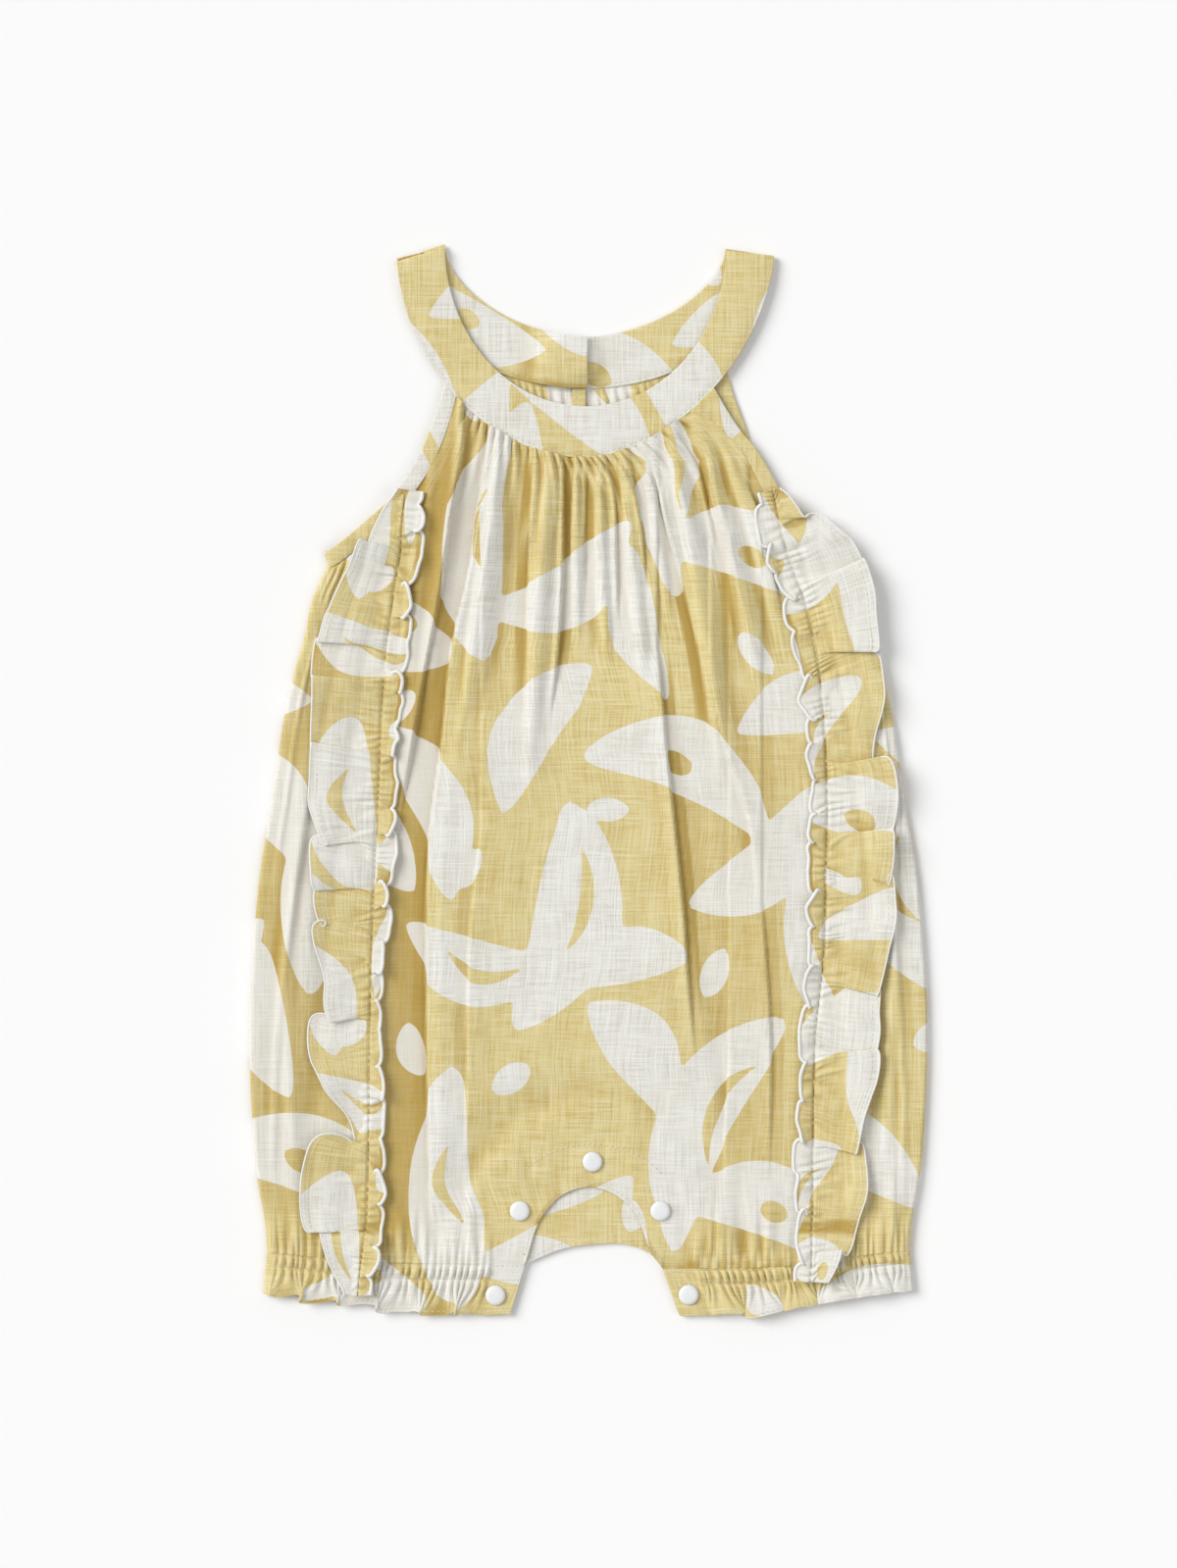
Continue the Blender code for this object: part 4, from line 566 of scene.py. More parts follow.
def fold_height(x: Array, y: Array, fold: Sequence[float]) -> Array:
    """Height of one long fold: a soft ridge that starts at the collar and runs out below.

    Args:
        x, y: Places on the front.
        fold: The fold's row of its table.

    Returns:
        The fold's height there.
    """
    x0, y0, x1, y1, x2, y2, reach_left, reach_right, height = fold
    crest = smooth_curve((y2, y1, y0), (x2, x1, x0), y)
    grow = FOLD_TOP_WIDTH + (1 - FOLD_TOP_WIDTH) * ease(y0, y1, y)
    reach = np.where(x < crest, reach_left, reach_right) * grow
    away = np.clip(np.abs(x - crest) / reach, 0, 1)
    start = FOLD_START_SHARE + (1 - FOLD_START_SHARE) * ease(y0, y0 - FOLD_START_RUN, y)
    end = ease(y2, y2 + (y1 - y2) * (1 - FOLD_END_SHARE), y)
    return height * start * end * np.cos(away * math.pi / 2) ** 2


def fold_edge_height(x: Array, y: Array) -> Array:
    """Rise at the sharp fold edges, with the recess beside each one."""
    rise = np.zeros(np.broadcast(x, y).shape)
    for side, height, reach, run_out, points in FOLD_EDGES:
        keys, places = column(points)
        away = (x - smooth_curve(keys, places, y)) * side
        foot, top = keys[0], keys[-1]
        fade = ease(foot, foot + run_out * (top - foot), y) * (0.5 + 0.5 * ease(top, top - FOLD_START, y))
        above = np.exp(-np.maximum(away, 0) / reach) * ease(-0.4, 0.5, away)
        below = np.exp(-np.maximum(-away, 0) / FOLD_RECESS_REACH) * ease(0.4, -0.5, away)
        rise = rise + height * fade * (above - FOLD_RECESS * below)
    return rise


def belly_height(x: Array, y: Array) -> Array:
    """Height of the broad belly between the deep left fold and the right one."""
    left = ease(0, BELLY_EDGE, x - follow(BELLY_LEFT, y))
    right = ease(0, BELLY_EDGE, x - follow(BELLY_RIGHT, y))
    fade_in = ease(BELLY_FROM, BELLY_FULL, y)
    fade_out = ease(INNER_LEG_TOP, INNER_LEG_TOP + BELLY_FADE, y)
    return BELLY_RISE * left * (1 - BELLY_DROP * right) * fade_in * fade_out


def seam_calm(x: Array, y: Array) -> Array:
    """0 at the ruffle seams and 1 elsewhere on the front."""
    return ease(0, SEAM_CALM, x - seam_x(y, Side.LEFT)) * ease(0, SEAM_CALM, seam_x(y, Side.RIGHT) - x)


def front_calm(x: Array, y: Array) -> Array:
    """0 at the ruffle seams and round the snaps, where the front lies flat, and 1 elsewhere."""
    return seam_calm(x, y) * ease(*CROTCH_CALM, crotch_reach(x, y))


def front_underside(x: Array, y: Array) -> Array:
    """Height of the front panel's underside at any place."""
    cubes = belly_height(x, y) ** 3
    for fold in FRONT_FOLDS:
        cubes = cubes + fold_height(x, y, fold) ** 3
    return front_rest(x, y) + np.cbrt(cubes) * front_calm(x, y)


def side_underside(share: Array, y: Array, side: int) -> Array:
    """Height of the side panel's front layer, from its seam (share 0) to the outline (1)."""
    rest = FRONT_REST + (2 * SIDE_RADIUS - FRONT_REST) * ease(*SIDE_REST_RUN, share)
    phase = share * SIDE_CREASE_WAVES + side * SIDE_CREASE_TURN + y * SIDE_CREASE_DRIFT
    return rest + SIDE_CREASE * np.sin(share * math.pi) ** 2 * np.cos(phase) ** 2


def waves_at(crests: Table, place: Array) -> tuple[Array, Array]:
    """Phase, which makes one turn from crest to crest, and height share of uneven waves."""
    keys, heights = column(crests)
    return np.interp(place, keys, np.arange(len(keys)) * 2 * math.pi), np.interp(place, keys, heights)


def body_topside(x: Array, y: Array, side: int) -> Array:
    """Upper face of whatever lies under the ruffle: front panel, side panel or leg casing."""
    seam = seam_x(y, side)
    share = np.clip((x - seam) / (outline_x(y, side) - seam), 0, 1)
    over_side = side_underside(share, y, side) + CLOTH + SIDE_GATHER * ease(*SIDE_GATHER_RUN, y)
    over_front = front_underside(x, y) + CLOTH
    top = np.where((x - seam) * side < 0, over_front, over_side)
    cuff = CUFF_TOP * ease(*CUFF_RAMP, y)
    binding = (FRONT_REST + 2 * SEAM_GAP + NECK_LIFT + BINDING_WALL) * ease(*NECK_LIFT_RUN, y)
    return np.maximum(np.maximum(top, cuff), binding)


def leg_line(x: Array, side: int, index: int) -> Array:
    """y of the casing's top (1) or of the hem (2) at a place across the leg."""
    return follow(LEG_LINES[side], x, index)


def elastic_gathers(x: Array, side: int) -> Array:
    """Height of the elastic's gathers at a place across the leg, from 0 to 1."""
    place = np.abs(x)
    return wave(place * 2 * math.pi / SHIRR_PITCH + 2.6 * wander(place, 3.6, 63 + side)) ** 0.8


def casing_profile(v: Array | float) -> Array:
    """Share of the gathers' height down the casing: it puffs between two pinched stitch rows."""
    v = np.asarray(v, float)
    puff = CASING_LOW + (1 - CASING_LOW) * bell(v - sum(CASING_ROWS) / 2, 0.085)
    for row in CASING_ROWS:
        puff = puff * (1 - 0.6 * bell(v - row, 0.022))
    return puff


def tab_calm(x: Array, y: Array, side: int) -> Array:
    """0 on the flat snap tab beside the inner leg and 1 where the elastic gathers."""
    return ease(TAB_WIDTH - 1, TAB_WIDTH + 2, np.abs(x - inner_leg_x(y, side)))


def cuff_rest(x: Array, y: Array, side: int) -> Array:
    """Height of the middle of the leg's front layer where it is flat."""
    inner = inner_leg_x(y, side)
    share = np.clip((x - inner) / (fold_x(y, side) - inner), 0, 1)
    return CUFF_FRONT_REST + CUFF_SIDE_RISE * share + CLOTH / 2


def long_leg_folds(x: Array, y: Array, above: Array, side: int) -> Array:
    """Height of soft wide folds that run up from the casing, clear of the ruffles.

    Args:
        x, y, side: Places on a panel, and the leg.
        above: How far they are above the casing's top.

    Returns:
        The folds' height there.
    """
    place = np.abs(x)
    ridge = wave(place * 2 * math.pi / 8.4 + 3.2 * wander(place, 7, 69 + side)) ** 1.4
    reach = 36 + 17 * wander(place, 6.5, 71 + side)
    outwards = (x - seam_x(y, side)) * side
    open_cloth = ease(-8, -15, outwards) + ease(24, 31, outwards)
    open_cloth = open_cloth * tab_calm(x, np.minimum(y, INNER_LEG_TOP), side)
    open_cloth = open_cloth * ease(2, 9, np.abs(x - outline_x(y, side)))
    return 1.5 * ridge * open_cloth * ease(reach, 2, above)


def gather_to_leg(x: Array, y: Array, z: Array, side: int) -> Array:
    """Bring the foot of a panel down to the elastic casing, in the casing's own gathers.

    Args:
        x, y, z: Places on the panel without these gathers.
        side: The leg.

    Returns:
        The heights with them.
    """
    above = y - leg_line(x, side, 1)
    near = ease(9, 0, above)
    reach = 17 + 11 * wander(np.abs(x), SHIRR_PITCH, 67 + side)
    gathers = elastic_gathers(x, side) * tab_calm(x, np.minimum(y, INNER_LEG_TOP), side)
    free = z + 1.15 * gathers * ease(reach, 0, above) ** 1.4 + long_leg_folds(x, y, above, side)
    joined = cuff_rest(x, y, side) + CASING_GATHER * casing_profile(0) * gathers
    return free * (1 - near) + joined * near


def front_armhole(side: int, which: int, share: Array | float) -> Array:
    """The front armhole's outer (0) or inner (1) edge, from the collar to the underarm."""
    first = front_collar_outer(np.array(FRONT_ANGLES[side][which]), 0.5)
    return path([tuple(first)] + [row[2 * which : 2 * which + 2] for row in BINDINGS[side]], share)


def back_armhole(side: int, which: int, share: Array | float) -> Array:
    """The back armhole's outer (0) or inner (1) edge, from the collar to the side's fold."""
    angle = BACK_ANGLES[which] if side > 0 else 180 - BACK_ANGLES[which]
    points = [tuple(back_collar_outer(np.array(angle), 0.5))]
    for row in BINDING_BACK:
        x, y = row[2 * which : 2 * which + 2]
        narrower = 0 if side > 0 else BACK_LEFT_NARROWER * float(ease(112, 142, y))
        points.append((side * x * (1 - narrower), y))
    return path(points, share)


def leaving_share(armhole: Callable, seam: Seam, span: Place, side: int) -> float:
    """Share of an armhole's inner edge, from the collar, where a seam leaves it.

    Args:
        armhole, seam, side: The armhole's edges, the seam's line and their side.
        span: Shares between which to look.

    Returns:
        The share.
    """
    shares = np.linspace(*span, 600)
    edge = armhole(side, 1, shares)
    return float(shares[np.argmax(side * edge[:, 0] > side * seam(edge[:, 1], side))])


def armhole_split(side: int) -> float:
    """Share of the binding, from the collar, where the front seam leaves its inner edge."""
    return leaving_share(front_armhole, seam_x, (0.2, 0.9), side)


def back_split(side: int) -> float:
    """Share of the back binding, from the collar, where the back seam leaves its inner edge."""
    return leaving_share(back_armhole, back_seam_x, (0.3, 0.99), side)


def seam_corner_y(side: int) -> float:
    """y where the front seam starts, just below the binding."""
    return float(front_armhole(side, 1, armhole_split(side))[1]) - 2 * SEAM_GAP


def back_corner_y(side: int) -> float:
    """y where the back seam starts, just below the binding."""
    return float(back_armhole(side, 1, back_split(side))[1]) - 2 * SEAM_GAP


def underarm_y(x: Array, side: int) -> Array:
    """y of the binding's inner edge at a place out from the front seam."""
    return follow([(side * row[2], row[3]) for row in BINDINGS[side][-5:]], side * x)


def patch(edges: tuple[Edge, Edge, Edge, Edge], u: Array, v: Array) -> Array:
    """Plan points of a four-sided patch.

    Args:
        edges: Top and bottom lines, read at u, and left and right lines, read at v.
        u, v: Shares across and down.

    Returns:
        x and y of each point.
    """
    top, bottom, left, right = edges
    start, end = np.zeros(1), np.ones(1)
    across, down = u[:, None], v[:, None]
    corners = (
        (1 - across) * (1 - down) * top(start)
        + across * (1 - down) * top(end)
        + (1 - across) * down * bottom(start)
        + across * down * bottom(end)
    )
    return (1 - down) * top(u) + down * bottom(u) + (1 - across) * left(v) + across * right(v) - corners


def body_foot(seam: Seam, side: int) -> float:
    """Lowest y of a seam line, just above the casing."""
    y = np.array(INNER_LEG_TOP)
    for _ in range(4):
        y = leg_line(seam(y, side), side, 1) + JOIN
    return float(y)


def body_edge(points: Array, seam: Seam, corner_y: float, side: int, v: Array, armhole_share: float) -> Array:
    """Side edge of a front or back panel: the armhole down to the corner, then the seam.

    Args:
        points: The armhole from the collar down.
        seam, corner_y, side: The seam's line, where it starts, and its side.
        v, armhole_share: Shares down, and the share at the corner.

    Returns:
        x and y of each point.
    """
    foot = body_foot(seam, side)
    clear = side * SEAM_GAP / 2
    y = corner_y + (foot - corner_y) * np.clip((v - armhole_share) / (1 - armhole_share), 0, 1)
    on_seam = np.column_stack([seam(y, side) - clear, y])
    corner = np.array([float(seam(np.array(corner_y), side)) - clear, corner_y])
    on_armhole = path(np.vstack([points, corner]), np.clip(v / armhole_share, 0, 1))
    return np.where((v < armhole_share)[:, None], on_armhole, on_seam)


def body_bottom(u: Array, feet: tuple[Array, Array], arch: Table, arch_run: Place) -> Array:
    """Bottom edge of a front or back panel: casing line, crotch arch, casing line.

    Args:
        u, feet: Shares across, and the left and right lower corners.
        arch, arch_run: The crotch arch, and the shares where it starts and ends.

    Returns:
        x and y of each point.
    """
    x_left = feet[0][0] + (arch[0][0] - feet[0][0]) * np.clip(u / arch_run[0], 0, 1)
    right_share = np.clip((u - arch_run[1]) / (1 - arch_run[1]), 0, 1)
    x_right = arch[-1][0] + (feet[1][0] - arch[-1][0]) * right_share
    left_part = np.column_stack([x_left, leg_line(x_left, Side.LEFT, 1) + JOIN])
    right_part = np.column_stack([x_right, leg_line(x_right, Side.RIGHT, 1) + JOIN])
    arch_part = path(arch, np.clip((u - arch_run[0]) / (arch_run[1] - arch_run[0]), 0, 1))
    place = np.where((u < arch_run[0])[:, None], left_part, arch_part)
    return np.where((u > arch_run[1])[:, None], right_part, place)


def turn_under(points: Array, share: Array, inside: Array, side: int, wall: float) -> None:
    """Bend points round the side's fold, from above to below.

    Args:
        points, inside: The points, which change, and which of them lie in the fold.
        share, side, wall: Share of the way round it, its side and the cloth's wall.
    """
    turn = math.pi / 2 - share[inside] * math.pi
    points[inside, 0] += side * np.cos(turn) * SIDE_RADIUS
    points[inside, 2] = SIDE_RADIUS + wall / 2 + np.sin(turn) * SIDE_RADIUS


def front_side_x(y: Array, side: int) -> Array:
    """x of the front panel's side edge at a height: its seam, or the armhole above it."""
    armhole = front_armhole(side, 1, np.linspace(armhole_split(side), 0, 60))
    return np.where(y < armhole[0, 1], seam_x(y, side), np.interp(y, armhole[:, 1], armhole[:, 0]))


def front_cloth_map() -> tuple[Array, Array, Array]:
    """Where the front's flat cloth goes: folds take up more of its width than the rest.

    Returns:
        Heights y, shares across from edge to edge, and x on the flat cloth for each pair.
    """
    heights = np.linspace(-232, 176, 137)
    shares = np.linspace(0, 1, 401)
    left = front_side_x(heights, Side.LEFT)[:, None]
    right = front_side_x(heights, Side.RIGHT)[:, None]
    x = left + (right - left) * shares
    y = heights[:, None] * np.ones_like(x)
    z = front_underside(x, y) + fold_edge_height(x, y)
    used = np.hypot(np.diff(x, axis=1), FOLD_TAKES * np.diff(z, axis=1))
    taken = np.concatenate([np.zeros_like(left), np.cumsum(used, axis=1)], axis=1)
    across = 0.7 * taken / taken[:, -1:] + 0.3 * shares
    return heights, shares, (across - 0.5) * FRONT_CLOTH_WIDTH


def front_cloth_place(x: Array, y: Array) -> Array:
    """Place on the flat cloth of points of the front panel or of the legs below it.

    Args:
        x, y: Plan of the points.

    Returns:
        x and y on the flat cloth.
    """
    heights, shares, table = front_cloth_map()
    left, right = front_side_x(y, Side.LEFT), front_side_x(y, Side.RIGHT)
    row = np.clip((y - heights[0]) / (heights[1] - heights[0]), 0, len(heights) - 1.001)
    cell = np.clip((x - left) / (right - left), 0, 1) * (len(shares) - 1.001)
    row_low, cell_low = row.astype(int), cell.astype(int)
    across = between_cells(table, row_low, cell_low, row - row_low, cell - cell_low)
    return np.column_stack([across, y]) + np.array(FRONT_PRINT_START)


def add_node(tree: Tree, kind: str, inputs: dict, **settings: object) -> bpy.types.Node:
    """Add a shader node.

    Args:
        tree, kind: The nodes it joins, and its kind without ShaderNode.
        inputs, settings: Values or other nodes' outputs by input, and its own properties.

    Returns:
        The node.
    """
    node = tree.nodes.new(f"ShaderNode{kind}")
    for name, value in settings.items():
        setattr(node, name, value)
    feed(tree, node, inputs)
    return node


def feed(tree: Tree, node: bpy.types.Node, inputs: dict) -> None:
    """Link a node's inputs or set them to numbers or colours.

    Args:
        tree, node: The nodes and the one among them.
        inputs: Numbers, colours or other nodes' outputs by input.
    """
    for key, value in inputs.items():
        socket = node.inputs[key]
        if isinstance(value, Socket):
            tree.links.new(value, socket)
        elif socket.type == "RGBA":
            socket.default_value = (*value, 1)
        else:
            socket.default_value = value


def math_node(tree: Tree, operation: str, *values: object) -> Socket:
    """Add a Math node whose inputs are numbers or sockets, and return its output."""
    return add_node(tree, "Math", dict(enumerate(values)), operation=operation).outputs[0]


def mix_colour(tree: Tree, factor: object, first: object, second: object) -> Socket:
    """Add a colour Mix node and return its output. Each input is a value or a socket."""
    return add_node(tree, "Mix", {0: factor, 6: first, 7: second}, data_type="RGBA").outputs[2]


def streaks(tree: Tree, place: Socket, scale: Place, detail: float) -> Socket:
    """Add a Noise Texture drawn out along one direction of the weave, and return its value."""
    mapping = add_node(tree, "Mapping", {"Scale": (*scale, 1), "Vector": place})
    inputs = {"Scale": 1, "Detail": detail, "Roughness": 0.6, "Vector": mapping.outputs[0]}
    return add_node(tree, "TexNoise", inputs, noise_dimensions="2D").outputs["Fac"]


def slub_weave_group() -> Tree:
    """Uneven linen threads both ways.

    Returns:
        A group from the place on the cloth, in metres, to Shade (about 0.5), Slub (thick
        light threads, 0 to 1) and Height.
    """
    group = bpy.data.node_groups.new("slub_weave", "ShaderNodeTree")
    group.interface.new_socket(name="Place", in_out="INPUT", socket_type="NodeSocketVector")
    for label in ("Shade", "Slub", "Height"):
        group.interface.new_socket(name=label, in_out="OUTPUT", socket_type="NodeSocketFloat")
    place = group.nodes.new("NodeGroupInput").outputs["Place"]
    end = group.nodes.new("NodeGroupOutput")
    warp = streaks(group, place, (1500, 50), 2)
    weft = streaks(group, place, (62, 1700), 2)
    thick_warp = streaks(group, place, (900, 26), 1)
    thick_weft = streaks(group, place, (30, 1000), 1)
    cloudy = streaks(group, place, (60, 60), 3)
    warp, weft = math_node(group, "MULTIPLY", warp, 0.54), math_node(group, "MULTIPLY", weft, 0.46)
    threads = math_node(group, "ADD", warp, weft)
    even, uneven = math_node(group, "MULTIPLY", threads, 0.85), math_node(group, "MULTIPLY", cloudy, 0.15)
    shade = math_node(group, "ADD", even, uneven)
    thick = math_node(group, "MAXIMUM", thick_warp, thick_weft)
    inputs = {"From Min": 0.57, "From Max": 0.76, "Value": thick}
    slub = add_node(group, "MapRange", inputs, interpolation_type="SMOOTHSTEP").outputs["Result"]
    height = math_node(group, "ADD", threads, math_node(group, "MULTIPLY", slub, 0.35))
    feed(group, end, {"Shade": shade, "Slub": slub, "Height": height})
    return group


def new_material(name: str, values: dict) -> tuple[Material, Tree, bpy.types.Node]:
    """Start a material.

    Args:
        name, values: Its name and the plain values of its shader's inputs.

    Returns:
        The material, its nodes and its shader.
    """
    material = bpy.data.materials.new(name)
    material.use_nodes = True
    shader = material.node_tree.nodes["Principled BSDF"]
    feed(material.node_tree, shader, values)
    return material, material.node_tree, shader


def add_bump(tree: Tree, shader: bpy.types.Node, height: Socket, strength: float, distance: float) -> None:
    """Give a shader a bump of a height, whose full strength stands for a distance in metres."""
    bump = add_node(tree, "Bump", {"Strength": strength, "Distance": distance, "Height": height})
    tree.links.new(bump.outputs["Normal"], shader.inputs["Normal"])


@dataclass(frozen=True)
class PrintedCloth:
    """Slub linen and cotton with the leaf print, read from the piece's weave map, and painted shade in its folds.
    """

    name: str
    group: Tree
    ground: Colour = (0.745, 0.640, 0.325)
    ground_thread: Colour = (0.860, 0.805, 0.580)
    ground_deep: Colour = (0.585, 0.450, 0.155)
    # Painted shade: the darker, more saturated yellow that the ground is mixed towards in folds.
    ground_hollow: Colour = (0.420, 0.260, 0.030)
    leaf: Colour = (0.815, 0.808, 0.755)
    leaf_thread: Colour = (0.930, 0.925, 0.895)
    leaf_deep: Colour = (0.640, 0.605, 0.520)
    # Painted shade: the greyer white that the leaves are mixed towards in folds.
    leaf_hollow: Colour = (0.750, 0.705, 0.610)
    bleed: float = 0.18
    slub: float = 0.36
    # How strongly the painted fold shade darkens both colours.
    hollow: float = 0.76
    bump: float = 0.4

    def material(self) -> Material:
        """Build the material."""
        values = {"Roughness": 0.86, "Specular IOR Level": 0.25, "Sheen Weight": 0.12, "Sheen Roughness": 0.5}
        material, tree, shader = new_material(self.name, values)
        weave_map = add_node(tree, "UVMap", {}, uv_map="weave")
        weave = add_node(tree, "Group", {}, node_tree=self.group)
        tree.links.new(weave_map.outputs[0], weave.inputs["Place"])
        shade, slub, height = weave.outputs
        edge = add_node(tree, "Attribute", {}, attribute_name="print_edge").outputs["Fac"]
        ragged = math_node(tree, "MULTIPLY_ADD", shade, 0.9, -0.45)
        inputs = {"From Min": self.bleed, "From Max": -self.bleed, "Value": math_node(tree, "ADD", edge, ragged)}
        leaf_side = add_node(tree, "MapRange", inputs, interpolation_type="SMOOTHSTEP").outputs["Result"]
        dark = add_node(tree, "MapRange", {"From Min": 0.56, "From Max": 0.36, "Value": shade}).outputs["Result"]
        light = math_node(tree, "MULTIPLY", slub, self.slub)
        # Painted shade: each woven colour is mixed towards its painted shade colour (low) by the painted fold shade
        # attribute.
        fold = add_node(tree, "Attribute", {}, attribute_name="fold_depth").outputs["Fac"]
        hollow = math_node(tree, "MULTIPLY", fold, self.hollow)
        colours = []
        for plain, deep, thread, low in (
            (self.ground, self.ground_deep, self.ground_thread, self.ground_hollow),
            (self.leaf, self.leaf_deep, self.leaf_thread, self.leaf_hollow),
        ):
            woven = mix_colour(tree, light, mix_colour(tree, dark, plain, deep), thread)
            colours.append(mix_colour(tree, hollow, woven, low))
        tree.links.new(mix_colour(tree, leaf_side, *colours), shader.inputs["Base Color"])
        add_bump(tree, shader, height, self.bump, 0.00025)
        return material


@dataclass(frozen=True)
class ThreadFinish:
    """Twisted sewing or overlock thread."""

    name: str
    light: Colour
    deep: Colour
    ply: float = 1400.0

    def material(self) -> Material:
        """Build the material."""
        material, tree, shader = new_material(self.name, {"Roughness": 0.8})
        place = add_node(tree, "TexCoord", {}).outputs["Object"]
        twist = add_node(tree, "TexNoise", {"Scale": self.ply, "Detail": 1, "Vector": place}).outputs["Fac"]
        tree.links.new(mix_colour(tree, twist, self.deep, self.light), shader.inputs["Base Color"])
        add_bump(tree, shader, twist, 0.5, 0.0002)
        return material


@dataclass(frozen=True)
class SnapPlastic:
    """Smooth white moulded plastic with a faint unevenness."""

    name: str = "snap_plastic"
    colour: Colour = (0.87, 0.88, 0.88)
    shadow: Colour = (0.80, 0.81, 0.81)
    roughness: Place = (0.22, 0.34)

    def material(self) -> Material:
        """Build the material."""
        material, tree, shader = new_material(self.name, {})
        place = add_node(tree, "TexCoord", {}).outputs["Object"]
        noise = add_node(tree, "TexNoise", {"Scale": 260, "Vector": place}).outputs["Fac"]
        tree.links.new(mix_colour(tree, noise, self.shadow, self.colour), shader.inputs["Base Color"])
        inputs = {"To Min": self.roughness[0], "To Max": self.roughness[1], "Value": noise}
        tree.links.new(add_node(tree, "MapRange", inputs).outputs["Result"], shader.inputs["Roughness"])
        return material


@dataclass(frozen=True)
class Finishes:
    """All finishes of the garment."""

    cloth: Material
    bindings: Material
    overlock: Material
    sewing: Material
    plastic: Material


def finish(piece: bpy.types.Object, material: Material, slot: Slot, *nodes: str) -> bpy.types.Object:
    """Dress a piece, seat it on the frame and report it.

    Args:
        piece, material, slot: The piece and its finish; slot is not used.
        nodes: CAD nodes it stands for.

    Returns:
        The same piece.
    """
    piece.data.materials.append(material)
    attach(piece, "root")
    if nodes:
        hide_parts(*nodes)
    log.info("%s: %d faces", piece.name, len(piece.data.polygons))
    return piece


def link_mesh(name: str, mesh_tool: BMesh) -> bpy.types.Object:
    """Turn a bmesh into a linked object with smooth faces.

    Args:
        name, mesh_tool: The object's name, and the bmesh, which is freed.

    Returns:
        The object.
    """
    mesh = bpy.data.meshes.new(name)
    mesh_tool.to_mesh(mesh)
    mesh_tool.free()
    mesh.shade_smooth()
    piece = bpy.data.objects.new(name, mesh)
    bpy.context.scene.collection.objects.link(piece)
    return piece


def upper_line(surface: Surface, u: Array | float, v: Array | float, wall: float = SHELL) -> Array:
    """A line on the upper face of a cloth: one share runs along it and the other one is fixed."""
    return surface(*np.broadcast_arrays(u, v)) + np.array([0, 0, wall / 2])


def roll_along(name: str, line: Array, radius: float, sides: int = 7) -> bpy.types.Object:
    """A closed roll of thread along a line.

    Args:
        name, line: The roll's name, and points of the line.
        radius, sides: Its radius and its faces round.

    Returns:
        The roll.
    """
    ahead = np.gradient(line, axis=0)
    ahead /= np.linalg.norm(ahead, axis=1, keepdims=True)
    across = np.cross(ahead, (0, 0, 1))
    across /= np.maximum(np.linalg.norm(across, axis=1, keepdims=True), 1e-6)
    upwards = np.cross(across, ahead)
    mesh_tool = bmesh.new()
    count = len(line) - 1
    bmesh.ops.create_grid(mesh_tool, x_segments=sides, y_segments=count, size=0.5)
    for vertex in mesh_tool.verts:
        turn = (vertex.co.x + 0.5) * 2 * math.pi
        row = int(round((0.5 - vertex.co.y) * count))
        rim = across[row] * math.cos(turn) + upwards[row] * math.sin(turn)
        vertex.co = (line[row] + rim * radius) * MM
    bmesh.ops.remove_doubles(mesh_tool, verts=mesh_tool.verts[:], dist=1e-7)
    ends = [edge for edge in mesh_tool.edges if edge.is_boundary]
    bmesh.ops.holes_fill(mesh_tool, edges=ends, sides=0)
    bmesh.ops.recalc_face_normals(mesh_tool, faces=mesh_tool.faces[:])
    return link_mesh(name, mesh_tool)


@dataclass(frozen=True)
class StitchRow:
    """One row of sewing stitches along a line that lies on the cloth."""

    line: Array
    pitch: float = 2.6
    length: float = 1.9
    thickness: float = 0.42

    def add_to(self, mesh_tool: BMesh) -> None:
        """Add the row's stitches to a bmesh."""
        keys = run_along(self.line)
        for place in np.arange(self.pitch / 2, keys[-1], self.pitch):
            first, last = (
                np.array([np.interp(at, keys, self.line[:, axis]) for axis in range(3)])
                for at in (place - self.length / 2, place + self.length / 2)
            )
            ahead = Vector(last - first)
            if ahead.length < self.length * 0.3:
                continue
            turn = ahead.to_track_quat("X", "Z").to_matrix().to_4x4()
            size = Matrix.Diagonal((self.length / 2, self.thickness / 2, self.thickness / 2.4, 1))
            matrix = Matrix.Translation(Vector((first + last) / 2) * MM) @ turn @ size @ Matrix.Scale(MM, 4)
            bmesh.ops.create_icosphere(mesh_tool, subdivisions=1, radius=1, matrix=matrix)


def stitch_piece(name: str, rows: Sequence[StitchRow]) -> bpy.types.Object:
    """Join rows of stitches in one piece."""
    mesh_tool = bmesh.new()
    for row in rows:
        row.add_to(mesh_tool)
    return link_mesh(name, mesh_tool)


class ClothForm(ABC):
    """The form of a sheet of cloth, with its cells across and along it."""

    columns: int
    rows: int
    print_start: Place

    @abstractmethod
    def surface(self, u: Array, v: Array) -> Array:
        """The middle of the cloth."""

    def flat(self, u: Array, v: Array) -> Array:
        """Place on the flat printed cloth."""
        return self.surface(u, v)[:, :2] + np.array(self.print_start)

    def recess(self, u: Array, v: Array) -> Array | float:
        """Extra painted shade, beyond what the folds' own shape gives."""
        return 0


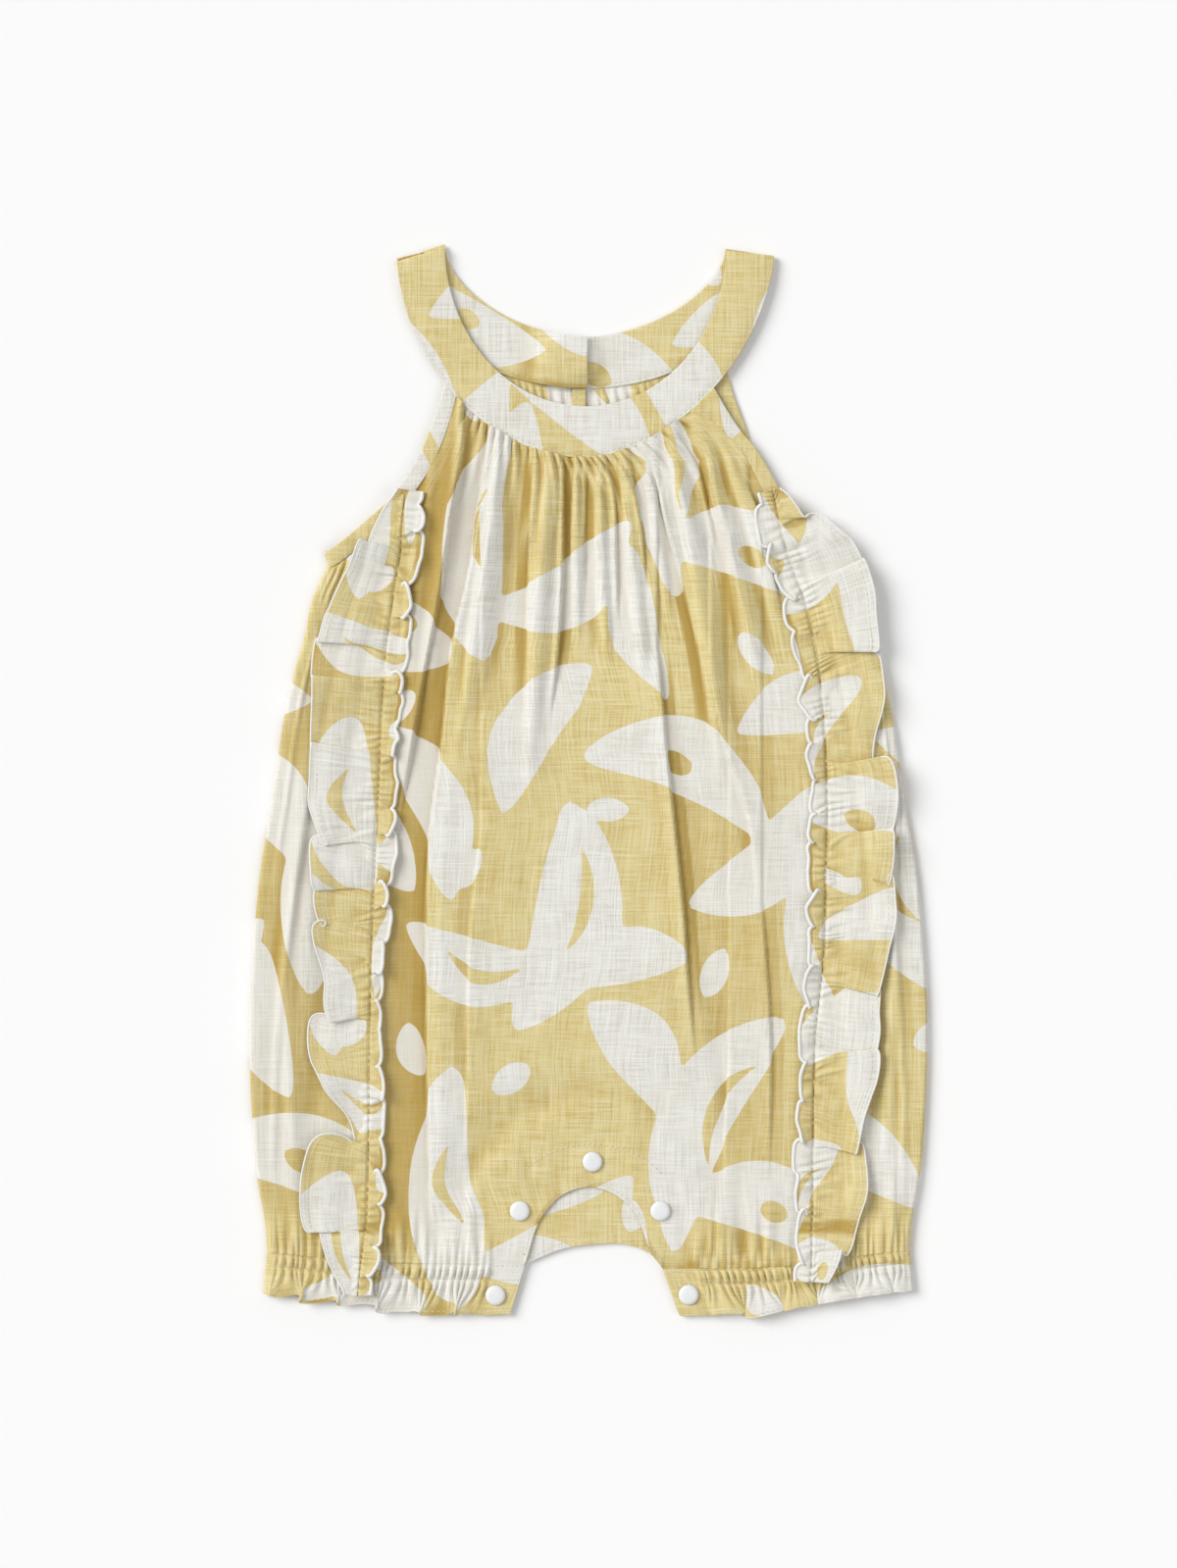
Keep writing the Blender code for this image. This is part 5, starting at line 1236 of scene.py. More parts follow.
@dataclass(frozen=True)
class ClothPiece:
    """A sheet of cloth in its form, with its sewing and rolled edges.

    cut is its flat width and length in millimetres, and area its flat area in square metres; neither is used.
    Rolls hold a label, a line and a radius.
    """

    name: str
    node: str
    form: ClothForm
    cut: Place
    held: Held
    rests_on: str
    area: float | None = None
    slot: Slot = Slot.PRINT
    wall: float = SHELL
    rounding: float = 0.0
    sewing: Sequence[StitchRow] = ()
    rolls: Sequence[tuple[str, Array, float]] = ()

    def fold_depth(self, u: Array, v: Array, points: Array) -> Array:
        """Painted shade in the folds, from how far each point lies below its neighbours: 0 on a crest and 1 in a
        deep hollow, plus the form's extra painted shade.

        Args:
            u, v, points: Shares of the grid's points, and the points in metres.

        Returns:
            The painted shade at each point.
        """
        columns, rows = self.form.columns, self.form.rows
        across = np.round(u * columns).astype(int)
        along = np.round(v * rows).astype(int)
        heights = np.zeros((rows + 1, columns + 1))
        heights[along, across] = points[:, 2] / MM
        size = np.ptp(points[:, :2], axis=0) / MM
        deep = np.zeros_like(heights)
        for axis, cells, length in ((1, columns, size[0]), (0, rows, size[1])):
            reach = max(1, round(cells * PAINTED_SHADE_WINDOW / max(length, 1)))
            for step in (reach, 2 * reach):
                shifted = [np.roll(heights, sign * step, axis=axis) for sign in (-1, 1)]
                deep = np.maximum(deep, (shifted[0] + shifted[1]) / 2 - heights)
        edge = 2
        deep[:, :edge] = deep[:, edge : edge + 1]
        deep[:, -edge:] = deep[:, -edge - 1 : -edge]
        return np.clip(deep[along, across] / PAINTED_SHADE_FULL_DEPTH + self.form.recess(u, v), 0, 1)

    def grid(self) -> bpy.types.Object:
        """Make the cloth with its weave map, its print distances, its painted fold shade and its wall."""
        mesh_tool = bmesh.new()
        bmesh.ops.create_grid(mesh_tool, x_segments=self.form.columns, y_segments=self.form.rows, size=0.5)
        if self.rounding == 0:
            for edge in mesh_tool.edges:
                edge.smooth = not edge.is_boundary
        places = np.array([vertex.co for vertex in mesh_tool.verts])
        u = np.clip(places[:, 0] + 0.5, 0, 1)
        v = np.clip(0.5 - places[:, 1], 0, 1)
        piece = link_mesh(self.name, mesh_tool)
        mesh = piece.data
        points = self.form.surface(u, v) * MM
        mesh.vertices.foreach_set("co", points.astype(np.float32).ravel())
        flat = self.form.flat(u, v)
        corner_vertex = np.zeros(len(mesh.loops), np.int32)
        mesh.loops.foreach_get("vertex_index", corner_vertex)
        weave = mesh.uv_layers.new(name="weave")
        weave.uv.foreach_set("vector", (flat[corner_vertex] * MM).astype(np.float32).ravel())
        # print_edge is the print; the second attribute holds painted shade for the folds.
        for name, values in (("print_edge", print_edge(flat)), ("fold_depth", self.fold_depth(u, v, points))):
            attribute = mesh.attributes.new(name, "FLOAT", "POINT")
            attribute.data.foreach_set("value", values.astype(np.float32))
        mesh.update()
        wall = piece.modifiers.new("wall", "SOLIDIFY")
        wall.thickness = self.wall * MM
        wall.offset = 0
        if self.rounding > 0:
            bevel = piece.modifiers.new("rounding", "BEVEL")
            bevel.width = self.rounding * MM
            bevel.segments = 2
            bevel.limit_method = "ANGLE"
            bevel.angle_limit = math.radians(50)
        return piece

    def make(self, finishes: Finishes) -> None:
        material = finishes.bindings if self.slot is Slot.BINDING else finishes.cloth
        piece = finish(self.grid(), material, self.slot, self.node)
        for label, line, radius in self.rolls:
            roll = roll_along(self.name.replace("cloth", label), line, radius)
            finish(roll, finishes.overlock, self.slot)
        if self.sewing:
            sewing = stitch_piece(self.name.replace("cloth", "sewing"), self.sewing)
            finish(sewing, finishes.sewing, self.slot)


@dataclass
class BodyPanel(ClothForm):
    """A panel between the collar, the armholes, the seams, the casings and the crotch arch."""

    finishes: Finishes
    columns: int
    rows: int
    arch: Table
    arch_run: Place
    armhole_share: float
    cut: Place
    cut_area: float

    @abstractmethod
    def top(self, u: Array) -> Array:
        """The collar seam."""

    @abstractmethod
    def edge(self, side: Side, v: Array) -> Array:
        """The left or right edge."""

    def plan(self, u: Array, v: Array) -> Array:
        """x and y of the panel."""
        feet = tuple(self.edge(side, np.ones(1))[0] for side in Side)
        bottom = partial(body_bottom, feet=feet, arch=self.arch, arch_run=self.arch_run)
        return patch((self.top, bottom, partial(self.edge, Side.LEFT), partial(self.edge, Side.RIGHT)), u, v)


@dataclass
class FrontPanel(BodyPanel):
    """The front, gathered into the collar, with its folds, belly and crotch arch."""

    columns: int = 270
    rows: int = 160
    arch: Table = FRONT_ARCH
    arch_run: Place = (17 / 48, 31 / 48)
    armhole_share: float = 0.13
    cut: Place = (252.0, 385.0)
    cut_area: float = 0.082
    # Gathers along the collar seam: place across, height, reach down, width.
    neck_gathers: Table = (
        (0.03, 0.9, 20, 0.01), (0.062, 1.1, 34, 0.0095), (0.098, 0.8, 16, 0.0085), (0.128, 1.4, 52, 0.011),
        (0.163, 0.9, 24, 0.0085), (0.194, 1.5, 70, 0.0115), (0.232, 1, 26, 0.009), (0.262, 1.5, 44, 0.01),
        (0.296, 0.9, 18, 0.008), (0.327, 1.6, 80, 0.0125), (0.366, 1, 22, 0.0085), (0.394, 1.4, 60, 0.01),
        (0.428, 1.2, 28, 0.009), (0.458, 1.6, 48, 0.0105), (0.492, 1, 20, 0.008), (0.522, 1.5, 66, 0.011),
        (0.556, 1.1, 30, 0.009), (0.588, 1.6, 54, 0.0105), (0.621, 1, 22, 0.0085), (0.652, 1.5, 74, 0.012),
        (0.688, 1.1, 32, 0.009), (0.719, 1.5, 46, 0.01), (0.752, 0.9, 20, 0.0085), (0.784, 1.4, 62, 0.012),
        (0.823, 0.9, 26, 0.009), (0.857, 1.2, 38, 0.0105), (0.892, 0.8, 18, 0.0085), (0.925, 1.1, 30, 0.01),
        (0.962, 0.7, 16, 0.01),
    )

    def top(self, u: Array) -> Array:
        """The collar seam."""
        left, right = FRONT_ANGLES[Side.LEFT][1] - ANGLE_GAP, FRONT_ANGLES[Side.RIGHT][1] + ANGLE_GAP
        return front_collar_outer(left + (right - left) * u, 0.1)

    def edge(self, side: Side, v: Array) -> Array:
        """The left or right edge."""
        start = self.top(np.array([0 if side < 0 else 1]))
        armhole = front_armhole(side, 1, np.linspace(0.1, 0.97, 9) * armhole_split(side))
        points = np.vstack([start, armhole + 0.7 * SEAM_GAP * np.array([-side, -1])])
        return body_edge(points, seam_x, seam_corner_y(side), side, v, self.armhole_share)

    def gathers(self, u: Array, down: Array) -> Array:
        """Gathers below the collar seam: long ones, fine ones and the pinches between them.

        Args:
            u, down: Shares across, and distances below the seam.

        Returns:
            Their height.
        """
        rise = np.zeros_like(u)
        for place, height, reach, width in self.neck_gathers:
            grow = 0.5 + 0.5 * ease(0, 5, down)
            fade = ease(reach, 0.15 * reach, down)
            rise = rise + height * grow * fade * bell(u - place, width * (1 + down / reach * 0.5))
        fine = wave(u * 42 * 2 * math.pi + 2.2 * wander(u * 100, 2.4, 15))
        rise = rise + 0.8 * fine * ease(7.5 + 5 * wander(u * 100, 1.7, 16), 0, down) * ease(0, 1, down)
        places = [row[0] for row in self.neck_gathers]
        for first, second in zip(places, places[1:]):
            pinch = bell(u - 0.5 * (first + second), 0.0042)
            rise = rise - 1 * pinch * ease(11, 1, down) * ease(0, 1.2, down)
        return rise

    def crumple(self, x: Array, y: Array) -> Array:
        """Soft unevenness: broad over the front, finer round the snaps, none at the ruffles."""
        soft = crumples(x, y, (0.35, 17, 46, 11), (0.14, 7, 24, 12))
        at_crotch = seam_calm(x, y) * (1 - ease(*CROTCH_CALM, crotch_reach(x, y)))
        return soft * front_calm(x, y) + crumples(x, y, (0.3, 4.5, 9, 13)) * at_crotch

    def surface(self, u: Array, v: Array) -> Array:
        """The middle of the cloth."""
        plan = self.plan(u, v)
        x, y = plan.T
        relief = self.gathers(u, v * self.cut[1]) + fold_edge_height(x, y) * front_calm(x, y) + self.crumple(x, y)
        z = front_underside(x, y) + CLOTH / 2 + relief
        left, right = (gather_to_leg(x, y, z, side) for side in Side)
        z = np.where(u < self.arch_run[0], left, np.where(u > self.arch_run[1], right, z))
        return np.column_stack([plan, z])

    def flat(self, u: Array, v: Array) -> Array:
        """Place on the flat cloth."""
        return front_cloth_place(*self.plan(u, v).T)

    def recess(self, u: Array, v: Array) -> Array:
        """Extra painted shade on the strips that lie low beside the ruffles, and less of it on the chest, most
        towards the right.
        """
        x, y = self.plan(u, v).T
        left = ease(1, -1.5, x - follow(LEFT_STRIP_EDGE, y)) * ease(-6, 14, x - seam_x(y, Side.LEFT))
        right = ease(-2, 6, x - follow(RIGHT_STRIP_EDGE, y)) * ease(60, 0, y)
        right = right * ease(seam_x(y, Side.RIGHT), seam_x(y, Side.RIGHT) - 30, x)
        strips = (0.85 * left + 0.22 * right) * ease(150, 118, y) * ease(-206, -186, y)
        return strips - 0.3 * ease(-45, 25, x) * ease(20, 50, y)

    def sewn(self, plan: Array, proud: float = 0.0) -> Array:
        """Points on the front's upper face round the crotch."""
        z = front_underside(*plan.T) + self.crumple(*plan.T) + CLOTH / 2 + SHELL / 2 + proud
        return np.column_stack([plan, z])

    def sewing(self) -> list[StitchRow]:
        """Topstitching of the facing round the snaps, and of the arch's edge."""
        facing = path(FACING_TOP, np.linspace(0.30, 0.72, 90)) + np.array([0, -5])
        arch = path(FRONT_ARCH, np.linspace(0.03, 0.97, 120))
        outward = arch - np.array([2, -214])
        outward /= np.linalg.norm(outward, axis=1, keepdims=True)
        return [
            StitchRow(self.sewn(facing, 0.06), pitch=2.4, length=1.8, thickness=0.5),
            StitchRow(self.sewn(arch + outward * 1.6), pitch=2.2, length=1.6, thickness=0.36),
        ]

    def build(self) -> None:
        """Make the panel and its sewing."""
        ClothPiece(
            "front_cloth", "front_panel", self, self.cut, Held.GATHERED, "back_cloth", self.cut_area,
            sewing=self.sewing(),
        ).make(self.finishes)  # fmt: skip


@dataclass
class BackPanel(BodyPanel):
    """The back lies on the floor, gathered at the neck and slit below the button."""

    columns: int = 150
    rows: int = 120
    arch: Table = BACK_ARCH
    arch_run: Place = (0.4, 0.6)
    armhole_share: float = 0.22
    cut: Place = (262.0, 392.0)
    cut_area: float = 0.094

    def top(self, u: Array) -> Array:
        """The collar seam."""
        half = BACK_ANGLES[1] + ANGLE_GAP
        return back_collar_outer(180 - half + (2 * half - 180) * u, SEAM_GAP)

    def edge(self, side: Side, v: Array) -> Array:
        """The left or right edge."""
        start = self.top(np.array([0 if side < 0 else 1]))
        armhole = back_armhole(side, 1, np.linspace(0.08, back_split(side) - 0.02, 12))
        points = np.vstack([start, armhole + 2 * SEAM_GAP * np.array([-side, -1])])
        return body_edge(points, back_seam_x, back_corner_y(side), side, v, self.armhole_share)

    def surface(self, u: Array, v: Array) -> Array:
        """The middle of the cloth, open along the slit."""
        x, y = self.plan(u, v).T
        from_slit = x - BACK_LAP_LEFT_END
        gathers = wave(u * 56 * math.pi + 2.2 * wander(u * 100, 7, 21))
        rise = 1.3 * gathers * ease(132, 166, y) * ease(1, 6, np.abs(from_slit)) * ease(0, 0.012, v)
        rise = rise * ease(0, 0.05, u) * ease(1, 0.95, u)
        in_slit = ease(111, 116, y) * ease(5, 0.5, np.abs(from_slit))
        x = x + in_slit * np.sign(from_slit + 1e-9) * SLIT_WIDTH / 2
        return np.column_stack([x, y, SHELL / 2 + rise])

    def flat(self, u: Array, v: Array) -> Array:
        """Place on the flat cloth."""
        x, y, _ = self.surface(u, v).T
        return np.column_stack([x * 1.05 + 40, y + 160])

    def build(self) -> None:
        """Make the panel."""
        piece = ClothPiece("back_cloth", "back_panel", self, self.cut, Held.GATHERED, "surface", self.cut_area)
        piece.make(self.finishes)


@dataclass
class WrappedCloth(ClothForm):
    """A cloth that lies in front, turns under at the side's fold and runs back below."""

    finishes: Finishes
    side: Side
    rows: int = 170
    front_columns: int = 90
    fold_columns: int = 12
    back_columns: int = 10

    @property
    def columns(self) -> int:
        """Columns of all three stretches."""
        return self.front_columns + self.fold_columns + self.back_columns

    @property
    def ends(self) -> tuple[float, float]:
        """Shares u where the front stretch and the fold end."""
        return self.front_columns / self.columns, (self.front_columns + self.fold_columns) / self.columns

    def stretches(self, u: Array) -> tuple[Array, ...]:
        """Shares along the front stretch, the fold and the back stretch."""
        spans = zip((0, *self.ends), (*self.ends, 1))
        return tuple(np.clip((u - start) / (end - start), 0, 1) for start, end in spans)

    def wrap(self, points: Array, u: Array) -> Array:
        """Bend the points past the front stretch round the fold, and say which lie in the back one."""
        turn_under(points, self.stretches(u)[1], u > self.ends[0] + 1e-4, self.side, CLOTH)
        return u > self.ends[1] + 1e-4


@dataclass
class SidePanel(WrappedCloth):
    """A side panel: from the ruffle seam, round the side and under to the back seam."""

    cut: Place = (82.0, 330.0)
    cut_share: float = 0.92
    # Long creases: share across at the top and at the foot, width, height, and where each runs.
    creases: Table = (
        (0.62, 0.8, 0.045, 1.3, 0.02, 0.62), (0.8, 0.66, 0.06, 1.1, 0.22, 0.95), (0.5, 0.92, 0.035, 0.9, 0.4, 0.98),
        (0.9, 0.88, 0.03, 0.8, 0.05, 0.55),
    )

    def across(self, share: Array, y: Array, seam: Seam) -> Array:
        """x at a share from a seam to the side's fold."""
        start = seam(y, self.side) + self.side * SEAM_GAP / 2
        return start + (fold_x(y, self.side) - start) * share

    def place(self, share: Array, v: Array, seam: Seam, corner_y: float) -> tuple[Array, Array]:
        """Plan of one layer.

        Args:
            share, v: Shares from the seam to the fold, and down.
            seam, corner_y: The layer's seam, and where it starts.

        Returns:
            x and y.
        """
        top_y = np.full_like(share, corner_y)
        for _ in range(12):
            top_y = underarm_y(self.across(share, top_y, seam), self.side) - JOIN
        top_y = np.where(share < 0.001, corner_y, top_y)
        foot_y = np.full_like(share, INNER_LEG_TOP)
        for _ in range(4):
            foot_y = leg_line(self.across(share, foot_y, seam), self.side, 1) + JOIN
        y = top_y + (foot_y - top_y) * v
        return self.across(share, y, seam), y

    def surface(self, u: Array, v: Array) -> Array:
        """The middle of the cloth."""
        front, _, back = self.stretches(u)
        x, y = self.place(front, v, seam_x, seam_corner_y(self.side))
        back_x, back_y = self.place(1 - back, v, back_seam_x, back_corner_y(self.side))
        pleats = wave(front * 17 * math.pi + 2.2 * wander(front * 10, 1.3, 31))
        reach = 0.07 + 0.045 * wander(front * 10, 0.9, 35)
        rise = 1.5 * pleats * ease(reach, 0, v) * ease(0, 0.06, front) * ease(1, 0.93, front)
        rise = rise * ease(0, 0.012, v) - 0.45 * ease(0.008, 0, v)
        for start, end, width, height, first, last in self.creases:
            fade = ease(first, first + 0.14, v) * ease(last, last - 0.2, v)
            rise = rise + height * fade * bell(front - (start + (end - start) * v), width)
        soft = crumples(x, y, (0.5, 12, 52, 33), (0.2, 6, 22, 34))
        rise = rise + soft * ease(0, 0.12, front) * ease(1, 0.85, front)
        z = gather_to_leg(x, y, side_underside(front, y, self.side) + CLOTH / 2 + rise, self.side)
        points = np.column_stack([x, y, z])
        in_back = self.wrap(points, u)
        points[in_back] = np.column_stack([back_x, back_y, np.full_like(back_x, CLOTH / 2)])[in_back]
        return points

    def flat(self, u: Array, v: Array) -> Array:
        """Place on the flat cloth."""
        x, y, _ = self.surface(u, v).T
        under = u > (self.front_columns + self.fold_columns / 2) / self.columns
        x = np.where(under, 2 * outline_x(y, self.side) - x + self.side * 2, x)
        return np.column_stack([x, y]) + np.array(SIDE_PRINT_START[self.side])

    def recess(self, u: Array, v: Array) -> Array:
        """Extra painted shade on the left panel only, strongest along its middle."""
        return (0.42 if self.side < 0 else 0) * ease(0.04, 0.3, v) * ease(1, 0.9, v) * ease(0, 0.3, u)

    def build(self) -> None:
        """Make the panel."""
        cloth, node = f"side_cloth_{self.side.label}", f"side_panel_{self.side.label}"
        area = self.cut_share * self.cut[0] * MM * self.cut[1] * MM
        ClothPiece(cloth, node, self, self.cut, Held.LAID, "surface", area).make(self.finishes)


@dataclass(frozen=True)
class CollarStretch(ClothForm):
    """One stretch of the collar, from start to end and from its inner line to its outer one.

    start and end hold the angles on both lines, and whether the band turns over there. upper is
    the front band, which lies over the back halves, and lift is the height of the underside.
    """

    node: str
    columns: int
    lines: tuple[Edge, Edge]
    start: tuple[float, float, bool]
    end: tuple[float, float, bool]
    upper: bool
    lift: Surface
    width: float
    print_start: Place
    seed: int
    rows: int = 16
    overhang: float = 0.6
    raised: float = 0.32
    fold_reach: float = 0.0045
    seam_share: float = 0.925

    def plan(self, share: Array, v: Array) -> Array:
        """x and y at a share along the stretch."""
        inner = self.lines[0](self.start[0] + (self.end[0] - self.start[0]) * share)
        outer = self.lines[1](self.start[1] + (self.end[1] - self.start[1]) * share, self.overhang)
        return inner + (outer - inner) * v[:, None]

    def band(self, share: Array, v: Array) -> Array:
        """The smooth band: flat, and round the shoulder's fold where it turns over.

        Args:
            share, v: Shares along the stretch, and from the inner line to the outer one.

        Returns:
            Points of its middle.
        """
        step = 0.002
        plan = self.plan(share, v)
        ahead = self.plan(share + step, v) - plan
        span = np.linalg.norm(ahead, axis=1, keepdims=True)
        direction, speed = ahead / span, span[:, 0] / step
        radius = FOLD_INNER_RADIUS + COLLAR_WALL / 2
        folds = ((self.start[2], share * speed, 1), (self.end[2], (1 - share) * speed, -1))
        from_fold = np.minimum(*(distance if turns else 99 for turns, distance, _ in folds))
        flat_z = self.lift(*plan.T) + COLLAR_WALL / 2 + self.raised * ease(3, 14, from_fold)
        points = np.column_stack([plan, flat_z])
        for turns, distance, sign in folds:
            rounded = turns & (distance < FOLD_OUTER_RADIUS * math.pi / 2)
            turn = np.clip(distance / FOLD_OUTER_RADIUS, -1.2, math.pi / 2)
            inwards = FOLD_OUTER_RADIUS - distance - np.cos(turn) * radius
            spot = plan + direction * (sign * inwards)[:, None]
            height = np.sin(turn) * radius
            turned_z = FOLD_OUTER_RADIUS + (np.sin(turn) * SEAM_GAP + height if self.upper else -height)
            points[rounded] = np.column_stack([spot, turned_z])[rounded]
        return points

    def surface(self, u: Array, v: Array) -> Array:
        """The middle of the cloth, drawn in at its outer seam between stitches and softly bowed."""
        spread = u * 0.7 + (0.5 - 0.5 * np.cos(u * math.pi)) * 0.3
        reach = self.fold_reach if self.upper else -self.fold_reach * 2 * (1 - u)
        share = spread + reach * (2 * spread - 1 if self.upper else -1)
        points = self.band(share, v)
        x, y, _ = points.T
        place = np.arctan2(y - COLLAR_CENTRE[1], x - COLLAR_CENTRE[0]) * 78
        points[:, 2] += -0.28 * bell(v - self.seam_share, 0.035) + 0.10 * wander(place + 900, 2.1, self.seed) * v**4
        points[:, 2] += 0.18 * np.sin(v * math.pi) + 0.12 * mottle(x + 300, y + 300, 15, 15, self.seed)
        return points


@dataclass
class Collar:
    """The halter collar: a wide front band and two back halves lapped at the centre."""

    finishes: Finishes
    front_columns: int = 150
    back_columns: int = 70
    wall: float = 1.0
    rounding: float = 0.38
    front_width: float = 24.0
    back_width: float = 25.0

    @staticmethod
    def front_lift(x: Array, y: Array) -> Array:
        """Underside of the front band."""
        return np.full_like(x, FRONT_COLLAR_REST)

    @staticmethod
    def button_lift(x: Array, y: Array) -> Array:
        """Rise of the back collar over the button beneath it."""
        distance = np.hypot(x - BUTTON_CENTRE[0], y - BUTTON_CENTRE[1])
        return BUTTON_LIFT * ease(BUTTON_SPREAD, BUTTON_FLAT, distance)

    def lapped_lift(self, x: Array, y: Array) -> Array:
        """Underside of the left back half, which laps over the right one."""
        lap = ease(BACK_LAP_RIGHT_END - LAP_RAMP[0], BACK_LAP_RIGHT_END - LAP_RAMP[1], x)
        return self.button_lift(x, y) + lap * (COLLAR_WALL + 2 * SEAM_GAP)

    @staticmethod
    def front_inner(angle: Array) -> Array:
        """Inner line of the front band."""
        return collar_point(angle, COLLAR_HALF_INNER, FRONT_INNER_DROP, FULLNESS_FRONT_INNER)

    @staticmethod
    def back_inner(angle: Array) -> Array:
        """Inner line of the back halves."""
        return collar_point(angle, COLLAR_HALF_INNER, BACK_INNER_DROP, FULLNESS_BACK_INNER)

    @staticmethod
    def lap_end(x: float) -> tuple[float, float, bool]:
        """Angles on the back collar's lines at a place x, where it ends without turning over."""
        angles = []
        for half, fullness in ((COLLAR_HALF_INNER, FULLNESS_BACK_INNER), (COLLAR_HALF_OUTER, FULLNESS_BACK_OUTER)):
            across = (x - COLLAR_CENTRE[0]) / half
            angles.append(math.degrees(math.acos(math.copysign(abs(across) ** (fullness / 2), across))))
        return (*angles, False)

    def stretches(self) -> list[CollarStretch]:
        """The front band and both back halves."""
        front_lines, back_lines = (self.front_inner, front_collar_outer), (self.back_inner, back_collar_outer)
        left, right = (*SHOULDER_LEFT, True), (*SHOULDER_RIGHT, True)
        return [
            CollarStretch(
                "collar_front", self.front_columns, front_lines, left, right, True, self.front_lift,
                self.front_width, (252, 52), 40,
            ),
            CollarStretch(
                "collar_back_left", self.back_columns, back_lines, left, self.lap_end(BACK_LAP_LEFT_END), False,
                self.lapped_lift, self.back_width, (60, 100), 41,
            ),
            CollarStretch(
                "collar_back_right", self.back_columns, back_lines, right, self.lap_end(BACK_LAP_RIGHT_END), False,
                self.button_lift, self.back_width, (148, 64), 42,
            ),
        ]  # fmt: skip

    def build(self) -> None:
        """Make the three stretches and their edge stitching."""
        share = np.linspace(0.02, 0.99, 260)
        for stretch in self.stretches():
            line = upper_line(stretch.surface, share, stretch.seam_share, self.wall)
            cut = (stretch.width, run_along(upper_line(stretch.surface, share, 0.5))[-1])
            ClothPiece(
                f"{stretch.node}_cloth", stretch.node, stretch, cut, Held.LAID, "back_cloth", wall=self.wall,
                rounding=self.rounding, sewing=[StitchRow(line, pitch=2.5, length=1.8, thickness=0.5)],
            ).make(self.finishes)  # fmt: skip


@dataclass(frozen=True)
class BindingStrip(ClothForm):
    """One bias strip: beside the front panel, over the side panel or beside the back panel."""

    side: Side
    part: BindingPart
    rows: int
    sewn_share: float
    print_start: Place
    columns: int = 6
    wall: float = 0.8
    raised: float = 0.28
    lap: float = 0.09
    end_share: float = 0.01
    fold_rows: tuple[int, int] = (8, 3)
    ramp: float = 0.3

    @property
    def name(self) -> str:
        """The strip's CAD node."""
        return f"armhole_binding_{self.part.value}_{self.side.label}"

    def plan(self, armhole: Callable, share: Array, u: Array) -> tuple[Array, Array]:
        """x and y between an armhole's inner and outer edge, and the front bindings' height there."""
        inner = armhole(self.side, 1, share)
        plan = inner + (armhole(self.side, 0, share) - inner) * u[:, None]
        rest = FRONT_REST + SEAM_GAP + NECK_LIFT * ease(*NECK_LIFT_RUN, plan[:, 1]) + BINDING_WALL / 2
        return plan, rest

    def front(self, u: Array, v: Array) -> Array:
        """The strip beside the front panel."""
        return np.column_stack(self.plan(front_armhole, v * (armhole_split(self.side) - self.end_share), u))

    def over_side(self, u: Array, v: Array) -> Array:
        """The strip over the side panel, which turns under at the side."""
        front_end = self.fold_rows[0] / sum(self.fold_rows)
        along = np.clip(v / front_end, 0, 1)
        start = armhole_split(self.side) + self.end_share
        plan, neck = self.plan(front_armhole, start + (SIDE_BINDING_END - start) * along, u)
        flat_z = neck + (2 * SIDE_RADIUS + BINDING_WALL / 2 - neck) * ease(self.ramp, 1, along)
        points = np.column_stack([plan, flat_z])
        fold = np.clip((v - front_end) / (1 - front_end), 0, 1)
        turn_under(points, fold, v > front_end, self.side, BINDING_WALL)
        return points

    def back(self, u: Array, v: Array) -> Array:
        """The strip beside the back panel."""
        return np.column_stack([self.plan(back_armhole, v, u)[0], np.full_like(u, BINDING_WALL / 2)])

    def surface(self, u: Array, v: Array) -> Array:
        """The middle of the strip, a little lapped over the panel and softly bowed."""
        strips = {BindingPart.FRONT: self.front, BindingPart.SIDE: self.over_side, BindingPart.BACK: self.back}
        points = strips[self.part](u * (1 + self.lap) - self.lap, v)
        points[:, 2] += self.raised + 0.12 * np.sin(u * math.pi) + 0.06 * wander(points[:, 1] + 500, 3, 51)
        return points


@dataclass
class ArmholeBindings:
    """Bias strips round both armholes."""

    finishes: Finishes
    rounding: float = 0.3
    cut_width: float = 10.5
    least_length: float = 12.0
    strip_width: float = 6.6
    strips: tuple[BindingStrip, ...] = (
        BindingStrip(Side.LEFT, BindingPart.FRONT, 60, 0.97, (84.0, 70.0)),
        BindingStrip(Side.LEFT, BindingPart.SIDE, 44, 0.7, (0.0, 180.0)),
        BindingStrip(Side.LEFT, BindingPart.BACK, 90, 0.97, (6.0, 70.0)),
        BindingStrip(Side.RIGHT, BindingPart.FRONT, 60, 0.97, (6.0, 70.0)),
        BindingStrip(Side.RIGHT, BindingPart.SIDE, 44, 0.7, (0.0, 245.0)),
        BindingStrip(Side.RIGHT, BindingPart.BACK, 90, 0.97, (160.0, 220.0)),
    )

    def build(self) -> None:
        """Make the six strips and their topstitching."""
        for strip in self.strips:
            line = upper_line(strip.surface, 0.2, np.linspace(0, strip.sewn_share, 80), strip.wall)
            length = run_along(upper_line(strip.surface, 0.5, np.linspace(0, 1, 200)))[-1]
            cut, area = (self.cut_width, max(length, self.least_length)), self.strip_width * MM * length * MM
            ClothPiece(
                f"{strip.name}_cloth", strip.name, strip, cut, Held.FOLDED, "back_cloth", area, Slot.BINDING,
                strip.wall, self.rounding, [StitchRow(line, pitch=2.3, length=1.7, thickness=0.32)],
            ).make(self.finishes)  # fmt: skip


